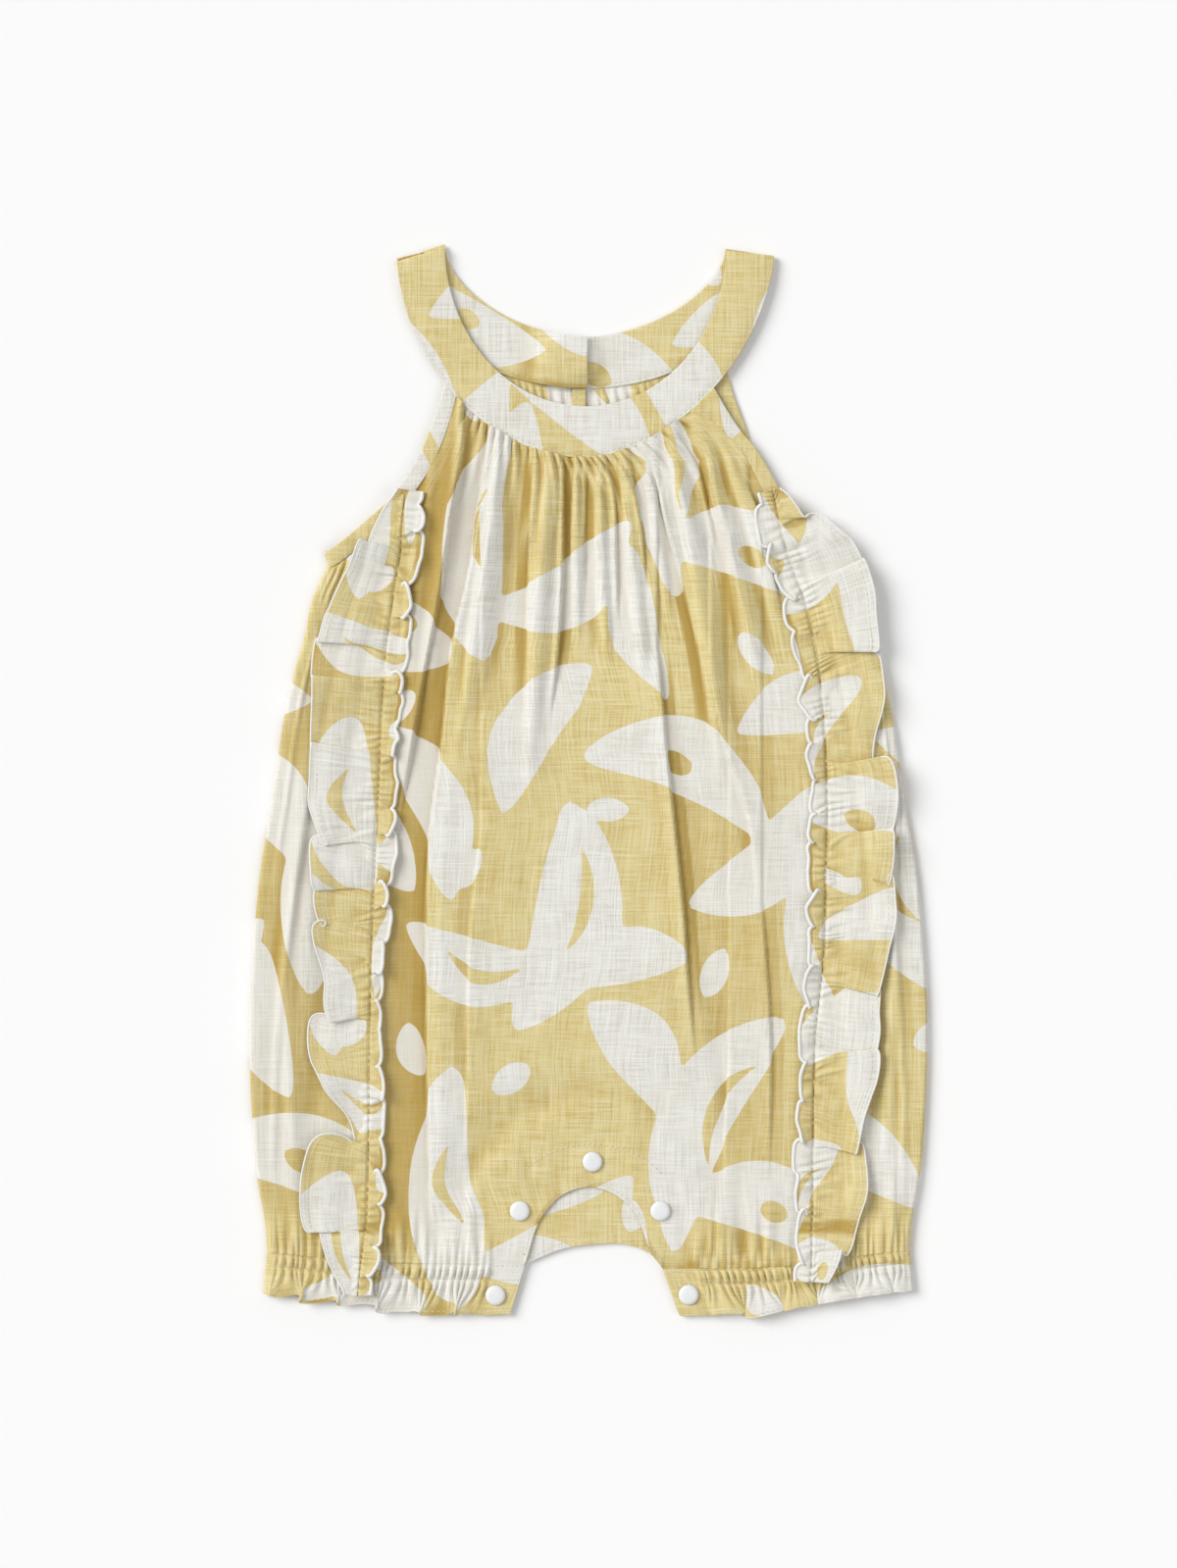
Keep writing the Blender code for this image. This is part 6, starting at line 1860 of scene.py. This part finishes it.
@dataclass
class LegCuff(WrappedCloth):
    """A leg's elastic casing and frill: front layer, round the side and back layer."""

    rows: int = 34
    front_columns: int = 190
    fold_columns: int = 10
    back_columns: int = 120
    frill_wave: float = 2.4
    frill_scallop: float = 2.0
    frill_lean: float = 4.0
    hem_share: float = 0.93
    depth: float = 24.0
    cut: Place = (200.0, 28.5)
    # Waves of the frill: place and height of each crest.
    left_crests: Table = (
        (0.02, 0.2), (0.23, 1), (0.37, 0.6), (0.55, 1), (0.71, 0.8), (0.86, 1), (1, 0.4),
    )
    right_crests: Table = (
        (0.02, 0.2), (0.2, 0.7), (0.38, 1), (0.52, 0.7), (0.69, 1), (0.85, 0.9), (1, 0.4),
    )

    def waves(self, share: Array) -> tuple[Array, Array]:
        """Phase and height share of this side's frill waves."""
        return waves_at(self.left_crests if self.side < 0 else self.right_crests, share)

    def across(self, share: Array, y: float) -> Array:
        """x at a share from the inner leg to the side's fold."""
        inner = inner_leg_x(y, self.side)
        return inner + (fold_x(y, self.side) - inner) * share

    def gathered(self, share: Array, x: Array, y: Array | float) -> Array:
        """0 on the flat snap tab and at the side's fold, and 1 where the elastic gathers."""
        return tab_calm(x, y, self.side) * ease(1, 0.97, share)

    def place(self, share: Array, v: Array) -> tuple[Array, Array]:
        """Plan of the cuff, with the hem's scallops.

        Args:
            share, v: Shares from the inner leg to the fold, and down.

        Returns:
            x and y.
        """
        top_x = self.across(share, INNER_LEG_TOP)
        foot_x = self.across(share, INNER_LEG_FOOT)
        top_y, foot_y = leg_line(top_x, self.side, 1), leg_line(foot_x, self.side, 2)
        phase, strength = self.waves(share)
        gathered = self.gathered(share, top_x, INNER_LEG_TOP)
        scallop = self.frill_scallop * strength * (0.5 + 0.5 * np.sin(phase)) * ease(0.4, 1, v)
        scallop = scallop + 0.7 * wander(share * 100, 2.6, 61 + self.side) * ease(0.5, 1, v)
        calm = gathered * ease(0, 0.03, share)
        lean = self.frill_lean * strength * np.sin(phase) * ease(0.38, 1, v) * calm
        return top_x + (foot_x - top_x) * v + lean, top_y + (foot_y - top_y) * v + scallop * gathered

    def ripple(self, share: Array, v: Array, x: Array, y: Array) -> Array:
        """Height of the shirring and of the frill's waves.

        Args:
            share, v: Shares from the inner leg to the fold, and down.
            x, y: Plan of the points.

        Returns:
            Their height over the flat cuff.
        """
        ridge = elastic_gathers(self.across(share, INNER_LEG_TOP), self.side)
        shirr = CASING_GATHER * ridge * casing_profile(v) * ease(1, 0.4, v)
        shirr = shirr + 0.5 * (casing_profile(v) - casing_profile(0)) * ease(0, 0.1, v) * ease(0.45, 0.3, v)
        fine = 0.6 * ridge * ease(0.33, 0.45, v) * ease(1, 0.5, v)
        phase, strength = self.waves(share)
        frill = self.frill_wave * strength * wave(phase) * ease(0.4, 1, v)
        return self.gathered(share, x, y) * (shirr + fine + frill)

    def surface(self, u: Array, v: Array) -> Array:
        """The middle of the cloth."""
        front, _, back = self.stretches(u)
        x, y = self.place(np.where(u > self.ends[1], 1 - back, front), v)
        points = np.column_stack([x, y, cuff_rest(x, y, self.side) + self.ripple(front, v, x, y)])
        in_back = self.wrap(points, u)
        lift = 0.3 * np.minimum(self.ripple(1 - back, v, x, y), 1.6)
        points[in_back] = np.column_stack([x, y, CLOTH / 2 + lift])[in_back]
        return points

    def flat(self, u: Array, v: Array) -> Array:
        """Place on the flat cloth."""
        x = self.across(np.clip(u * self.columns / self.front_columns, 0, 1), INNER_LEG_TOP)
        y = leg_line(x, self.side, 1) - v * self.depth
        beside = self.side * (x - seam_x(y, self.side)) > 0
        from_side = np.column_stack([2 * x - self.surface(u, v)[:, 0], y]) + np.array(SIDE_PRINT_START[self.side])
        return np.where(beside[:, None], from_side, front_cloth_place(x, y))

    def recess(self, u: Array, v: Array) -> float:
        """Less painted shade in the cuffs' hollows than in the panels'."""
        return -0.25

    def build(self) -> None:
        """Make the cuff, its elastic's stitch rows and its hem."""
        name = f"leg_cuff_{self.side.label}"
        share = np.linspace(0, self.ends[0], 700)
        lines = [upper_line(self.surface, share, row) for row in (*CASING_ROWS, self.hem_share)]
        rows = [StitchRow(line, pitch=2.1, length=1.7, thickness=0.4) for line in lines[:-1]]
        rows.append(StitchRow(lines[-1], pitch=2.4, length=1.6, thickness=0.3))
        piece = ClothPiece(f"{name}_cloth", name, self, self.cut, Held.GATHERED, "surface", sewing=rows)
        piece.make(self.finishes)


@dataclass
class CrotchFacing(ClothForm):
    """The back's crotch facing, which shows below the front's arch."""

    finishes: Finishes
    columns: int = 90
    rows: int = 40
    inset: float = 0.01
    cut: Place = (94.0, 56.0)
    cut_area: float = 0.0033
    seam_share: float = 0.94
    print_start: Place = (150.0, 330.0)

    def surface(self, u: Array, v: Array) -> Array:
        """The middle of the cloth."""
        low = path(BACK_ARCH, self.inset + (1 - 2 * self.inset) * u)
        high = path(FACING_TOP, u)
        plan = high + (low - high) * v[:, None]
        soft = 0.2 * mottle(plan[:, 0] + 300, plan[:, 1] + 300, 9, 9, 71) * ease(0, 0.3, v)
        return np.column_stack([plan, CLOTH + SEAM_GAP + CLOTH / 2 + soft])

    def build(self) -> None:
        """Make the facing and the stitching along its lower edge."""
        line = upper_line(self.surface, np.linspace(0.05, 0.95, 90), self.seam_share)
        ClothPiece(
            "crotch_facing_cloth", "back_crotch_facing", self, self.cut, Held.LAID, "back_cloth", self.cut_area,
            sewing=[StitchRow(line, thickness=0.32)],
        ).make(self.finishes)  # fmt: skip


@dataclass
class SlitPlacket(ClothForm):
    """The binding strip along the left of the slit, on the inside of the back."""

    finishes: Finishes
    columns: int = 6
    rows: int = 50
    width: float = 5.8
    length: float = 52.0
    wall: float = 0.9
    thinner: float = 0.1
    rounding: float = 0.3
    cut_width: float = 10.5
    cut_area: float = 0.00036
    print_start: Place = (108.0, 212.0)

    def surface(self, u: Array, v: Array) -> Array:
        """The middle of the strip."""
        top_y = float(back_collar_outer(np.array(90))[1]) - 2 * SEAM_GAP
        right_x = BACK_LAP_LEFT_END - SLIT_WIDTH / 2 - SEAM_GAP
        z = CLOTH + SEAM_GAP + self.wall / 2 + 0.1 * wander(v * self.length, 4, 81)
        return np.column_stack([right_x - self.width * (1 - u), top_y - self.length * v, z])

    def build(self) -> None:
        """Make the strip and its stitching."""
        line = upper_line(self.surface, 0.3, np.linspace(0, 1, 60), self.wall)
        cut = (self.cut_width, self.length)
        ClothPiece(
            "slit_placket_cloth", "back_placket", self, cut, Held.FOLDED, "back_cloth", self.cut_area, Slot.BINDING,
            self.wall - self.thinner, self.rounding, [StitchRow(line, thickness=0.32)],
        ).make(self.finishes)  # fmt: skip


@dataclass(frozen=True)
class RuffleLayout:
    """Where a ruffle is wide, waved, folded over and hooked. Places are along its seam.

    widths are place, width outwards and width inwards. pleats are the wide side's waves, place and
    height share. folds are its fold-overs: place, which panel lies on top (1 is the one nearer the
    neck), how far the cloth runs back, how far its edge turns in, and the run over which it does
    so. hooks, where the narrow side's edge turns in, are place, depth and direction.
    """

    widths: Table
    pleats: Table
    folds: Table
    hooks: Table


RUFFLES = {
    Side.LEFT: RuffleLayout(
        widths=(
            (0, 3, 7.6), (22, 14.5, 9.4), (38, 20.6, 9.6), (66, 28, 8.2), (116, 28.6, 8.2), (150, 29, 7.4),
            (170, 25, 7.6), (190, 25, 7), (212, 18.4, 5), (234, 26, 5.4), (254, 20.4, 6.4), (272, 17, 6.8),
            (290, 27, 7.6), (314, 24.6, 7.6), (328, 15, 7.4), (344, 5, 6),
        ),
        pleats=(
            (4, 0.3), (26, 0.8), (50, 0.65), (92, 1), (132, 0.9), (163, 0.7), (178, 0.9), (205, 0.9), (250, 1),
            (300, 0.9), (328, 0.6), (343, 0.4),
        ),
        folds=(
            (24, -1, 6, 0.5, 4), (68, 1, 7, 0.5, 4), (82, -1, 6, 1, 4), (112, -1, 10, 1, 4), (151, 1, 9, 9.5, 9),
            (171, 1, 8, 4, 3), (186, -1, 7, 7, 6), (226, 1, 9, 8.5, 6), (279, -1, 12, 14, 17), (318, 1, 8, 2.5, 5),
        ),
        hooks=(
            (5, 0.5, 1), (19, 0.9, -1), (38, 0.7, 1), (55, 0.8, -1), (76, 1, 1), (88, 0.35, -1), (101, 0.25, 1),
            (115, 0.45, -1), (136, 0.4, 1), (148, 0.9, -1), (167, 1, 1), (179, 0.8, -1), (192, 0.4, 1),
            (208, 0.9, -1), (217, 0.6, 1), (231, 0.3, -1), (245, 0.5, 1), (261, 0.6, -1), (276, 0.3, 1),
            (290, 0.8, 1), (306, 0.4, -1), (321, 0.8, 1), (336, 0.7, -1),
        ),
    ),
    Side.RIGHT: RuffleLayout(
        widths=(
            (0, 3, 7.4), (14, 13, 8.6), (26, 24, 8.8), (46, 28.6, 8.6), (70, 26.6, 8), (92, 26, 8.2),
            (112, 22, 7.8), (126, 28.6, 7.6), (150, 27.6, 7.2), (186, 28.6, 7.4), (214, 24.8, 6.6),
            (248, 27.4, 6.4), (270, 21, 7), (294, 22.4, 7.4), (318, 17.6, 7.2), (338, 7, 6),
        ),
        pleats=(
            (4, 0.3), (26, 0.7), (57, 1), (95, 0.8), (133, 1), (158, 0.8), (188, 1), (228, 0.8), (260, 1),
            (302, 0.8), (338, 0.5),
        ),
        folds=(
            (14, 1, 6, 1, 4), (42, -1, 8, 0.5, 4), (72, 1, 11, 4.5, 3), (119, -1, 10, 4, 9), (148, -1, 9, 2.5, 8),
            (167, -1, 9, 2.5, 6), (212, 1, 9, 2.5, 10), (241, -1, 9, 4, 8), (281, 1, 10, 4, 9), (325, -1, 7, 2, 6),
        ),
        hooks=(
            (6, 0.5, -1), (22, 0.8, 1), (35, 0.3, -1), (48, 1, -1), (60, 0.4, 1), (80, 0.9, 1), (100, 1, -1),
            (109, 0.5, 1), (126, 0.6, -1), (138, 0.6, 1), (154, 0.7, -1), (172, 1, 1), (189, 0.6, -1),
            (203, 0.8, 1), (223, 0.5, -1), (234, 0.3, 1), (244, 0.6, 1), (262, 0.5, -1), (280, 0.8, -1),
            (293, 0.3, 1), (307, 1, 1), (331, 0.7, -1),
        ),
    ),
}


@dataclass
class Ruffle(ClothForm):
    """A ruffle gathered on its stitch line: wide pleats outwards and a curled frill inwards."""

    finishes: Finishes
    side: Side
    columns_in: int = 14
    columns_out: int = 30
    rows: int = 820
    stitch: float = 0.35
    hem_share: float = 0.93
    top_y: float = 124.6
    clear: float = 0.6
    outer_lift: float = 2.6
    fold_turn: float = 4.0
    fold_lap: float = 1.6
    inner_lift: float = 2.2
    hook_draw: float = 5.8
    hook_lap: float = 2.4
    inner_roll: float = 0.8
    outer_roll: float = 0.42
    print_width: float = 44.0
    print_gather: float = 1.45
    cut_width: float = 38.0
    cut_gather: float = 1.36
    cut_share: float = 0.84

    @property
    def layout(self) -> RuffleLayout:
        """This side's waves, folds and hooks."""
        return RUFFLES[self.side]

    @property
    def columns(self) -> int:
        """Columns of both sides."""
        return self.columns_in + self.columns_out

    @property
    def length(self) -> float:
        """Length of the stitch line."""
        return self.layout.widths[-1][0]

    def uneven(self, place: Array, step: float, seed: int) -> Array:
        """Unevenness of its own along the ruffle."""
        return wander(place, step, seed + self.side)

    def stitch_line(self, v: Array) -> tuple[Array, Array, Array]:
        """Points of the stitch line, its direction down and its direction outwards."""
        heights = np.linspace(self.top_y, self.top_y - self.length, 40)
        line = np.column_stack([seam_x(heights, self.side), heights])
        ahead = path(line, np.minimum(v + 0.01, 1)) - path(line, np.maximum(v - 0.01, 0))
        ahead /= np.linalg.norm(ahead, axis=1, keepdims=True)
        return path(line, v), ahead, np.column_stack([ahead[:, 1], -ahead[:, 0]]) * -self.side

    def fold_overs(self, distance: Array) -> tuple[Array, Array, Array]:
        """How far the wide side's edge turns in, runs back and lies over at places on the seam."""
        turned, run_back, over = np.zeros((3, len(distance)))
        for place, upper, overlap, turn_in, run in self.layout.folds:
            off = distance - place
            share = off / self.fold_turn
            run_back = run_back - overlap * share * np.exp(-(share**2) / 2)
            turned = turned + turn_in * bell(off, np.where(off < 0, run, 3.5))
            over = over + self.fold_lap * (1 - upper * np.tanh(1.25 * share)) * bell(share, 2.6)
        return turned, run_back, over

    def hooks(self, distance: Array) -> tuple[Array, Array, Array]:
        """How far the narrow side's edge turns in, is drawn along and laps over in its hooks."""
        pinch, draw, lap = np.zeros((3, len(distance)))
        for place, depth, direction in self.layout.hooks:
            off = distance - place
            near = bell(off, np.where(off * direction > 0, 4.2, 2))
            pinch = pinch + depth * near
            draw = draw - self.hook_draw * depth * off / 2.6 * bell(off, 3.6) + 2.6 * direction * depth * near
            lap = lap + self.hook_lap * depth * direction * off / 3 * bell(off, 4.4)
        return np.minimum(pinch, 1), draw, lap

    def puckers(self, distance: Array, outwards: Array, inwards: Array) -> Array:
        """Height of the fine gathers on both sides of the stitch line.

        Args:
            distance: Places along the seam.
            outwards, inwards: Shares from the stitch line to the outer and the inner edge.

        Returns:
            Their height.
        """
        drift = distance + outwards * 9 * self.uneven(distance, 14, 92)
        fine = np.cos(drift * 2 * math.pi / 3.5 + 9 * self.uneven(drift, 9, 93))
        fine = fine * (0.55 + 0.45 * self.uneven(drift, 3.4, 94))
        reach = 0.42 + 0.36 * self.uneven(drift, 3, 95)
        outer = ease(0, 0.03, outwards) * ease(reach, 0.05, outwards)
        inner = ease(0, 0.15, inwards) * ease(1.1, 0.2, inwards)
        return 1.45 * (0.5 + 0.5 * fine) * (outer + inner)

    def cloth(self, u: Array, v: Array) -> Array:
        """The middle of the cloth, whose stitch line is at the share stitch."""
        distance = v * self.length
        stitch, ahead, across = self.stitch_line(v)
        outwards = np.clip((u - self.stitch) / (1 - self.stitch), 0, 1)
        inwards = np.clip((self.stitch - u) / self.stitch, 0, 1)
        phase, strength = waves_at(self.layout.pleats, distance)
        turned, run_back, over = self.fold_overs(distance)
        pinch, draw, lap = self.hooks(distance)
        width_out, width_in = (follow(self.layout.widths, distance, index) for index in (1, 2))
        ends = ease(0, 12, distance) * ease(self.length, self.length - 12, distance)
        offset = width_out * outwards * (1.03 + 0.03 * self.uneven(distance, 13, 87)) - turned * outwards**1.5
        lobe = 1 + 0.10 * self.uneven(distance, 5, 89) + 0.18 * self.uneven(distance, 13, 90)
        offset = offset - width_in * inwards * (lobe - 0.6 * pinch * inwards**0.6)
        small = self.uneven(distance, 3.4, 91)
        lean = (run_back * outwards**0.7 + draw * inwards**1.3) * ends
        lean = lean + 0.5 * small * outwards + 0.9 * small * inwards
        lift = self.outer_lift * strength * outwards**0.9 * wave(phase) + over * outwards**0.5
        standing = self.inner_lift * (0.55 + 0.35 * self.uneven(distance, 8, 86)) + lap
        lift = lift + np.maximum(standing, 0.2) * inwards**0.9 + self.puckers(distance, outwards, inwards)
        drape = mottle(distance + 50, offset + 80, 11, 14, 97 + self.side)
        lift = lift + 0.45 * drape * ease(0.1, 0.6, outwards)
        plan = stitch + across * offset[:, None] + ahead * lean[:, None]
        x, y = plan.T
        rest = body_topside(x, y, self.side)
        for shift_x, shift_y in ((2.5, 0), (-2.5, 0), (0, 3), (0, -3)):
            rest = np.maximum(rest, body_topside(x + shift_x, y + shift_y, self.side) - 0.2)
        return np.column_stack([plan, rest + self.clear + CLOTH / 2 + lift])

    def bunched(self, u: Array) -> Array:
        """Spread the columns over the narrow and the wide side."""
        return np.interp(u, (0, self.columns_in / self.columns, 1), (0, self.stitch, 1))

    def surface(self, u: Array, v: Array) -> Array:
        """The middle of the cloth."""
        return self.cloth(self.bunched(u), v)

    def flat(self, u: Array, v: Array) -> Array:
        """Place on the flat cloth: a straight strip, gathered to a bit over half its length."""
        across = (self.bunched(u) - self.stitch) * self.print_width
        along = v * self.length * self.print_gather
        return np.column_stack([self.side * across + (60 if self.side < 0 else 190), 250 - along])

    def build(self) -> None:
        """Make the ruffle, its rolled edges and its sewing."""
        name = f"ruffle_{self.side.label}"
        shares = np.linspace(0, 1, 620)
        inner, outer = (self.cloth(np.full_like(shares, edge), shares) for edge in (0, 1))
        gathering, hem = (upper_line(self.cloth, row, shares) for row in (self.stitch, self.hem_share))
        cut = (self.cut_width, self.length * self.cut_gather)
        area = self.cut_share * cut[0] * MM * cut[1] * MM
        ClothPiece(
            f"{name}_cloth", name, self, cut, Held.GATHERED, "front_cloth", area,
            rolls=(("inner_roll", inner, self.inner_roll), ("outer_roll", outer, self.outer_roll)),
            sewing=[
                StitchRow(gathering, pitch=2.5, length=2, thickness=0.5),
                StitchRow(hem, pitch=2.5, length=1.8, thickness=0.36),
            ],
        ).make(self.finishes)  # fmt: skip


@dataclass
class Fasteners:
    """Snap caps with their studs beneath, and the back collar's button."""

    finishes: Finishes
    segments: int = 40
    # Sections from the middle to the foot: radius, height.
    cap: Table = (
        (0, 1.42), (1.4, 1.4), (2.6, 1.3), (3.4, 1.12), (3.9, 0.82), (4.2, 0.42), (4.3, 0.12), (4.22, 0), (0, 0),
    )
    stud: Table = (
        (0, 0.9), (1.6, 0.9), (1.8, 0.62), (3.6, 0.58), (4.1, 0.42), (4.3, 0.2), (4.3, 0), (0, 0),
    )
    button: Table = (
        (0, 1), (3.4, 1), (3.9, 1.5), (4.6, 1.6), (5.2, 1.35), (5.5, 0.8), (5.2, 0.2), (4.6, 0), (0, 0),
    )
    bar_half: float = 1.3
    bar_step: float = 0.7

    def turned(self, name: str, section: Table, place: tuple[float, float, float], *nodes: str) -> None:
        """Turn a section of plastic round its upright axis.

        Args:
            name, nodes: The piece's name, and CAD nodes it stands for.
            section, place: Radius and height of each point, and where its foot stands.
        """
        mesh_tool = bmesh.new()
        points = [mesh_tool.verts.new((radius * MM, 0, height * MM)) for radius, height in section]
        edges = [mesh_tool.edges.new(pair) for pair in zip(points, points[1:])]
        bmesh.ops.spin(
            mesh_tool, geom=points + edges, cent=(0, 0, 0), axis=(0, 0, 1), angle=2 * math.pi,
            steps=self.segments, use_merge=True,
        )  # fmt: skip
        bmesh.ops.remove_doubles(mesh_tool, verts=mesh_tool.verts[:], dist=1e-7)
        bmesh.ops.recalc_face_normals(mesh_tool, faces=mesh_tool.faces[:])
        bmesh.ops.translate(mesh_tool, verts=mesh_tool.verts[:], vec=Vector(place) * MM)
        finish(link_mesh(name, mesh_tool), self.finishes.plastic, Slot.PLASTIC, *nodes)

    def build(self) -> None:
        """Make the caps, the studs and the button with its thread."""
        for number, place in enumerate(SNAPS, start=1):
            cap, stud = f"snap_cap_{number}", f"snap_stud_{number}"
            self.turned(f"snap_{number}_cap", self.cap, (*place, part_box(cap)[0].z / MM), cap)
            self.turned(f"snap_{number}_stud", self.stud, (*place, 0), stud)
        self.turned("collar_button", self.button, (*BUTTON_CENTRE, 0), "back_button")
        x, y = BUTTON_CENTRE
        z = BUTTON_LIFT + 2 * COLLAR_WALL + 2 * SEAM_GAP + 0.1
        bars = []
        for step in (-self.bar_step, 0, self.bar_step):
            line = np.array([(x - self.bar_half, y + step, z), (x + self.bar_half, y + step, z)])
            bars.append(StitchRow(line, pitch=2.6, length=2.4, thickness=0.5))
        finish(stitch_piece("collar_button_thread", bars), self.finishes.sewing, Slot.PRINT)


@dataclass
class Studio:
    """The pale surface the romper lies on, the lights and the camera, in metres."""

    distance: float = 1.8
    view_height: float = 0.6716
    sensor: float = 36.0
    centre_y: float = -0.00105
    floor_size: float = 24.0
    floor_drop: float = 0.0002
    floor_colour: Colour = (0.955, 0.955, 0.955)
    world_strength: float = 0.385

    def floor(self) -> None:
        """Make the surface."""
        mesh_tool = bmesh.new()
        bmesh.ops.create_grid(mesh_tool, x_segments=1, y_segments=1, size=self.floor_size / 2)
        plane = link_mesh("surface", mesh_tool)
        values = {"Base Color": self.floor_colour, "Roughness": 0.95, "Specular IOR Level": 0.1}
        plane.data.materials.append(new_material("pale_surface", values)[0])
        plane.location.z = -self.floor_drop

    def light(self, name: str, towards: tuple[float, float, float], softness: float, power: float) -> None:
        """Add a distant soft light.

        Args:
            name, towards: Its name, and the direction from the garment to it.
            softness, power: Its angle in the sky, in degrees, and its strength.
        """
        lamp = bpy.data.lights.new(name, "SUN")
        lamp.angle = math.radians(softness)
        lamp.energy = power
        item = bpy.data.objects.new(name, lamp)
        item.location = towards
        item.rotation_euler = (-Vector(towards)).to_track_quat("-Z", "Y").to_euler()
        bpy.context.scene.collection.objects.link(item)

    def build(self) -> None:
        """Set up the surface, the lights, the pale world and the camera."""
        self.floor()
        self.light("key_light", (-1.4, 0.7, 1.25), 36, 2.42)
        self.light("fill_light", (1.2, -0.5, 1.8), 50, 0.56)
        world = bpy.data.worlds.new("pale_room")
        world.use_nodes = True
        room = {"Color": (1, 1, 1), "Strength": self.world_strength}
        feed(world.node_tree, world.node_tree.nodes["Background"], room)
        bpy.context.scene.world = world
        lens = bpy.data.cameras.new("photo_camera")
        lens.sensor_fit = "VERTICAL"
        lens.sensor_height = self.sensor
        lens.lens = self.sensor * self.distance / self.view_height
        camera = bpy.data.objects.new("photo_camera", lens)
        camera.location = (0, self.centre_y, self.distance)
        bpy.context.scene.collection.objects.link(camera)
        bpy.context.scene.camera = camera
        bpy.context.scene.view_settings.view_transform = "Standard"


def make_finishes() -> Finishes:
    """Build every finish once."""
    weave = slub_weave_group()
    return Finishes(
        cloth=PrintedCloth("printed_slub_cloth", weave).material(),
        bindings=PrintedCloth("binding_cloth", weave).material(),
        overlock=ThreadFinish("overlock_thread", (0.90, 0.90, 0.88), (0.74, 0.73, 0.70)).material(),
        sewing=ThreadFinish("sewing_thread", (0.80, 0.77, 0.68), (0.60, 0.56, 0.46)).material(),
        plastic=SnapPlastic().material(),
    )


def main() -> None:
    """Build the garment in order."""
    logging.basicConfig(level=logging.INFO, format="%(message)s")
    finishes = make_finishes()
    assemblies = [
        Collar(finishes),
        BackPanel(finishes),
        CrotchFacing(finishes),
        SlitPlacket(finishes),
        FrontPanel(finishes),
        SidePanel(finishes, Side.LEFT),
        SidePanel(finishes, Side.RIGHT),
        LegCuff(finishes, Side.LEFT),
        LegCuff(finishes, Side.RIGHT),
        ArmholeBindings(finishes),
        Ruffle(finishes, Side.LEFT),
        Ruffle(finishes, Side.RIGHT),
        Fasteners(finishes),
        Studio(),
    ]
    for assembly in assemblies:
        assembly.build()
        log.info("%s is in place", type(assembly).__name__)


if __name__ == "__main__":
    main()
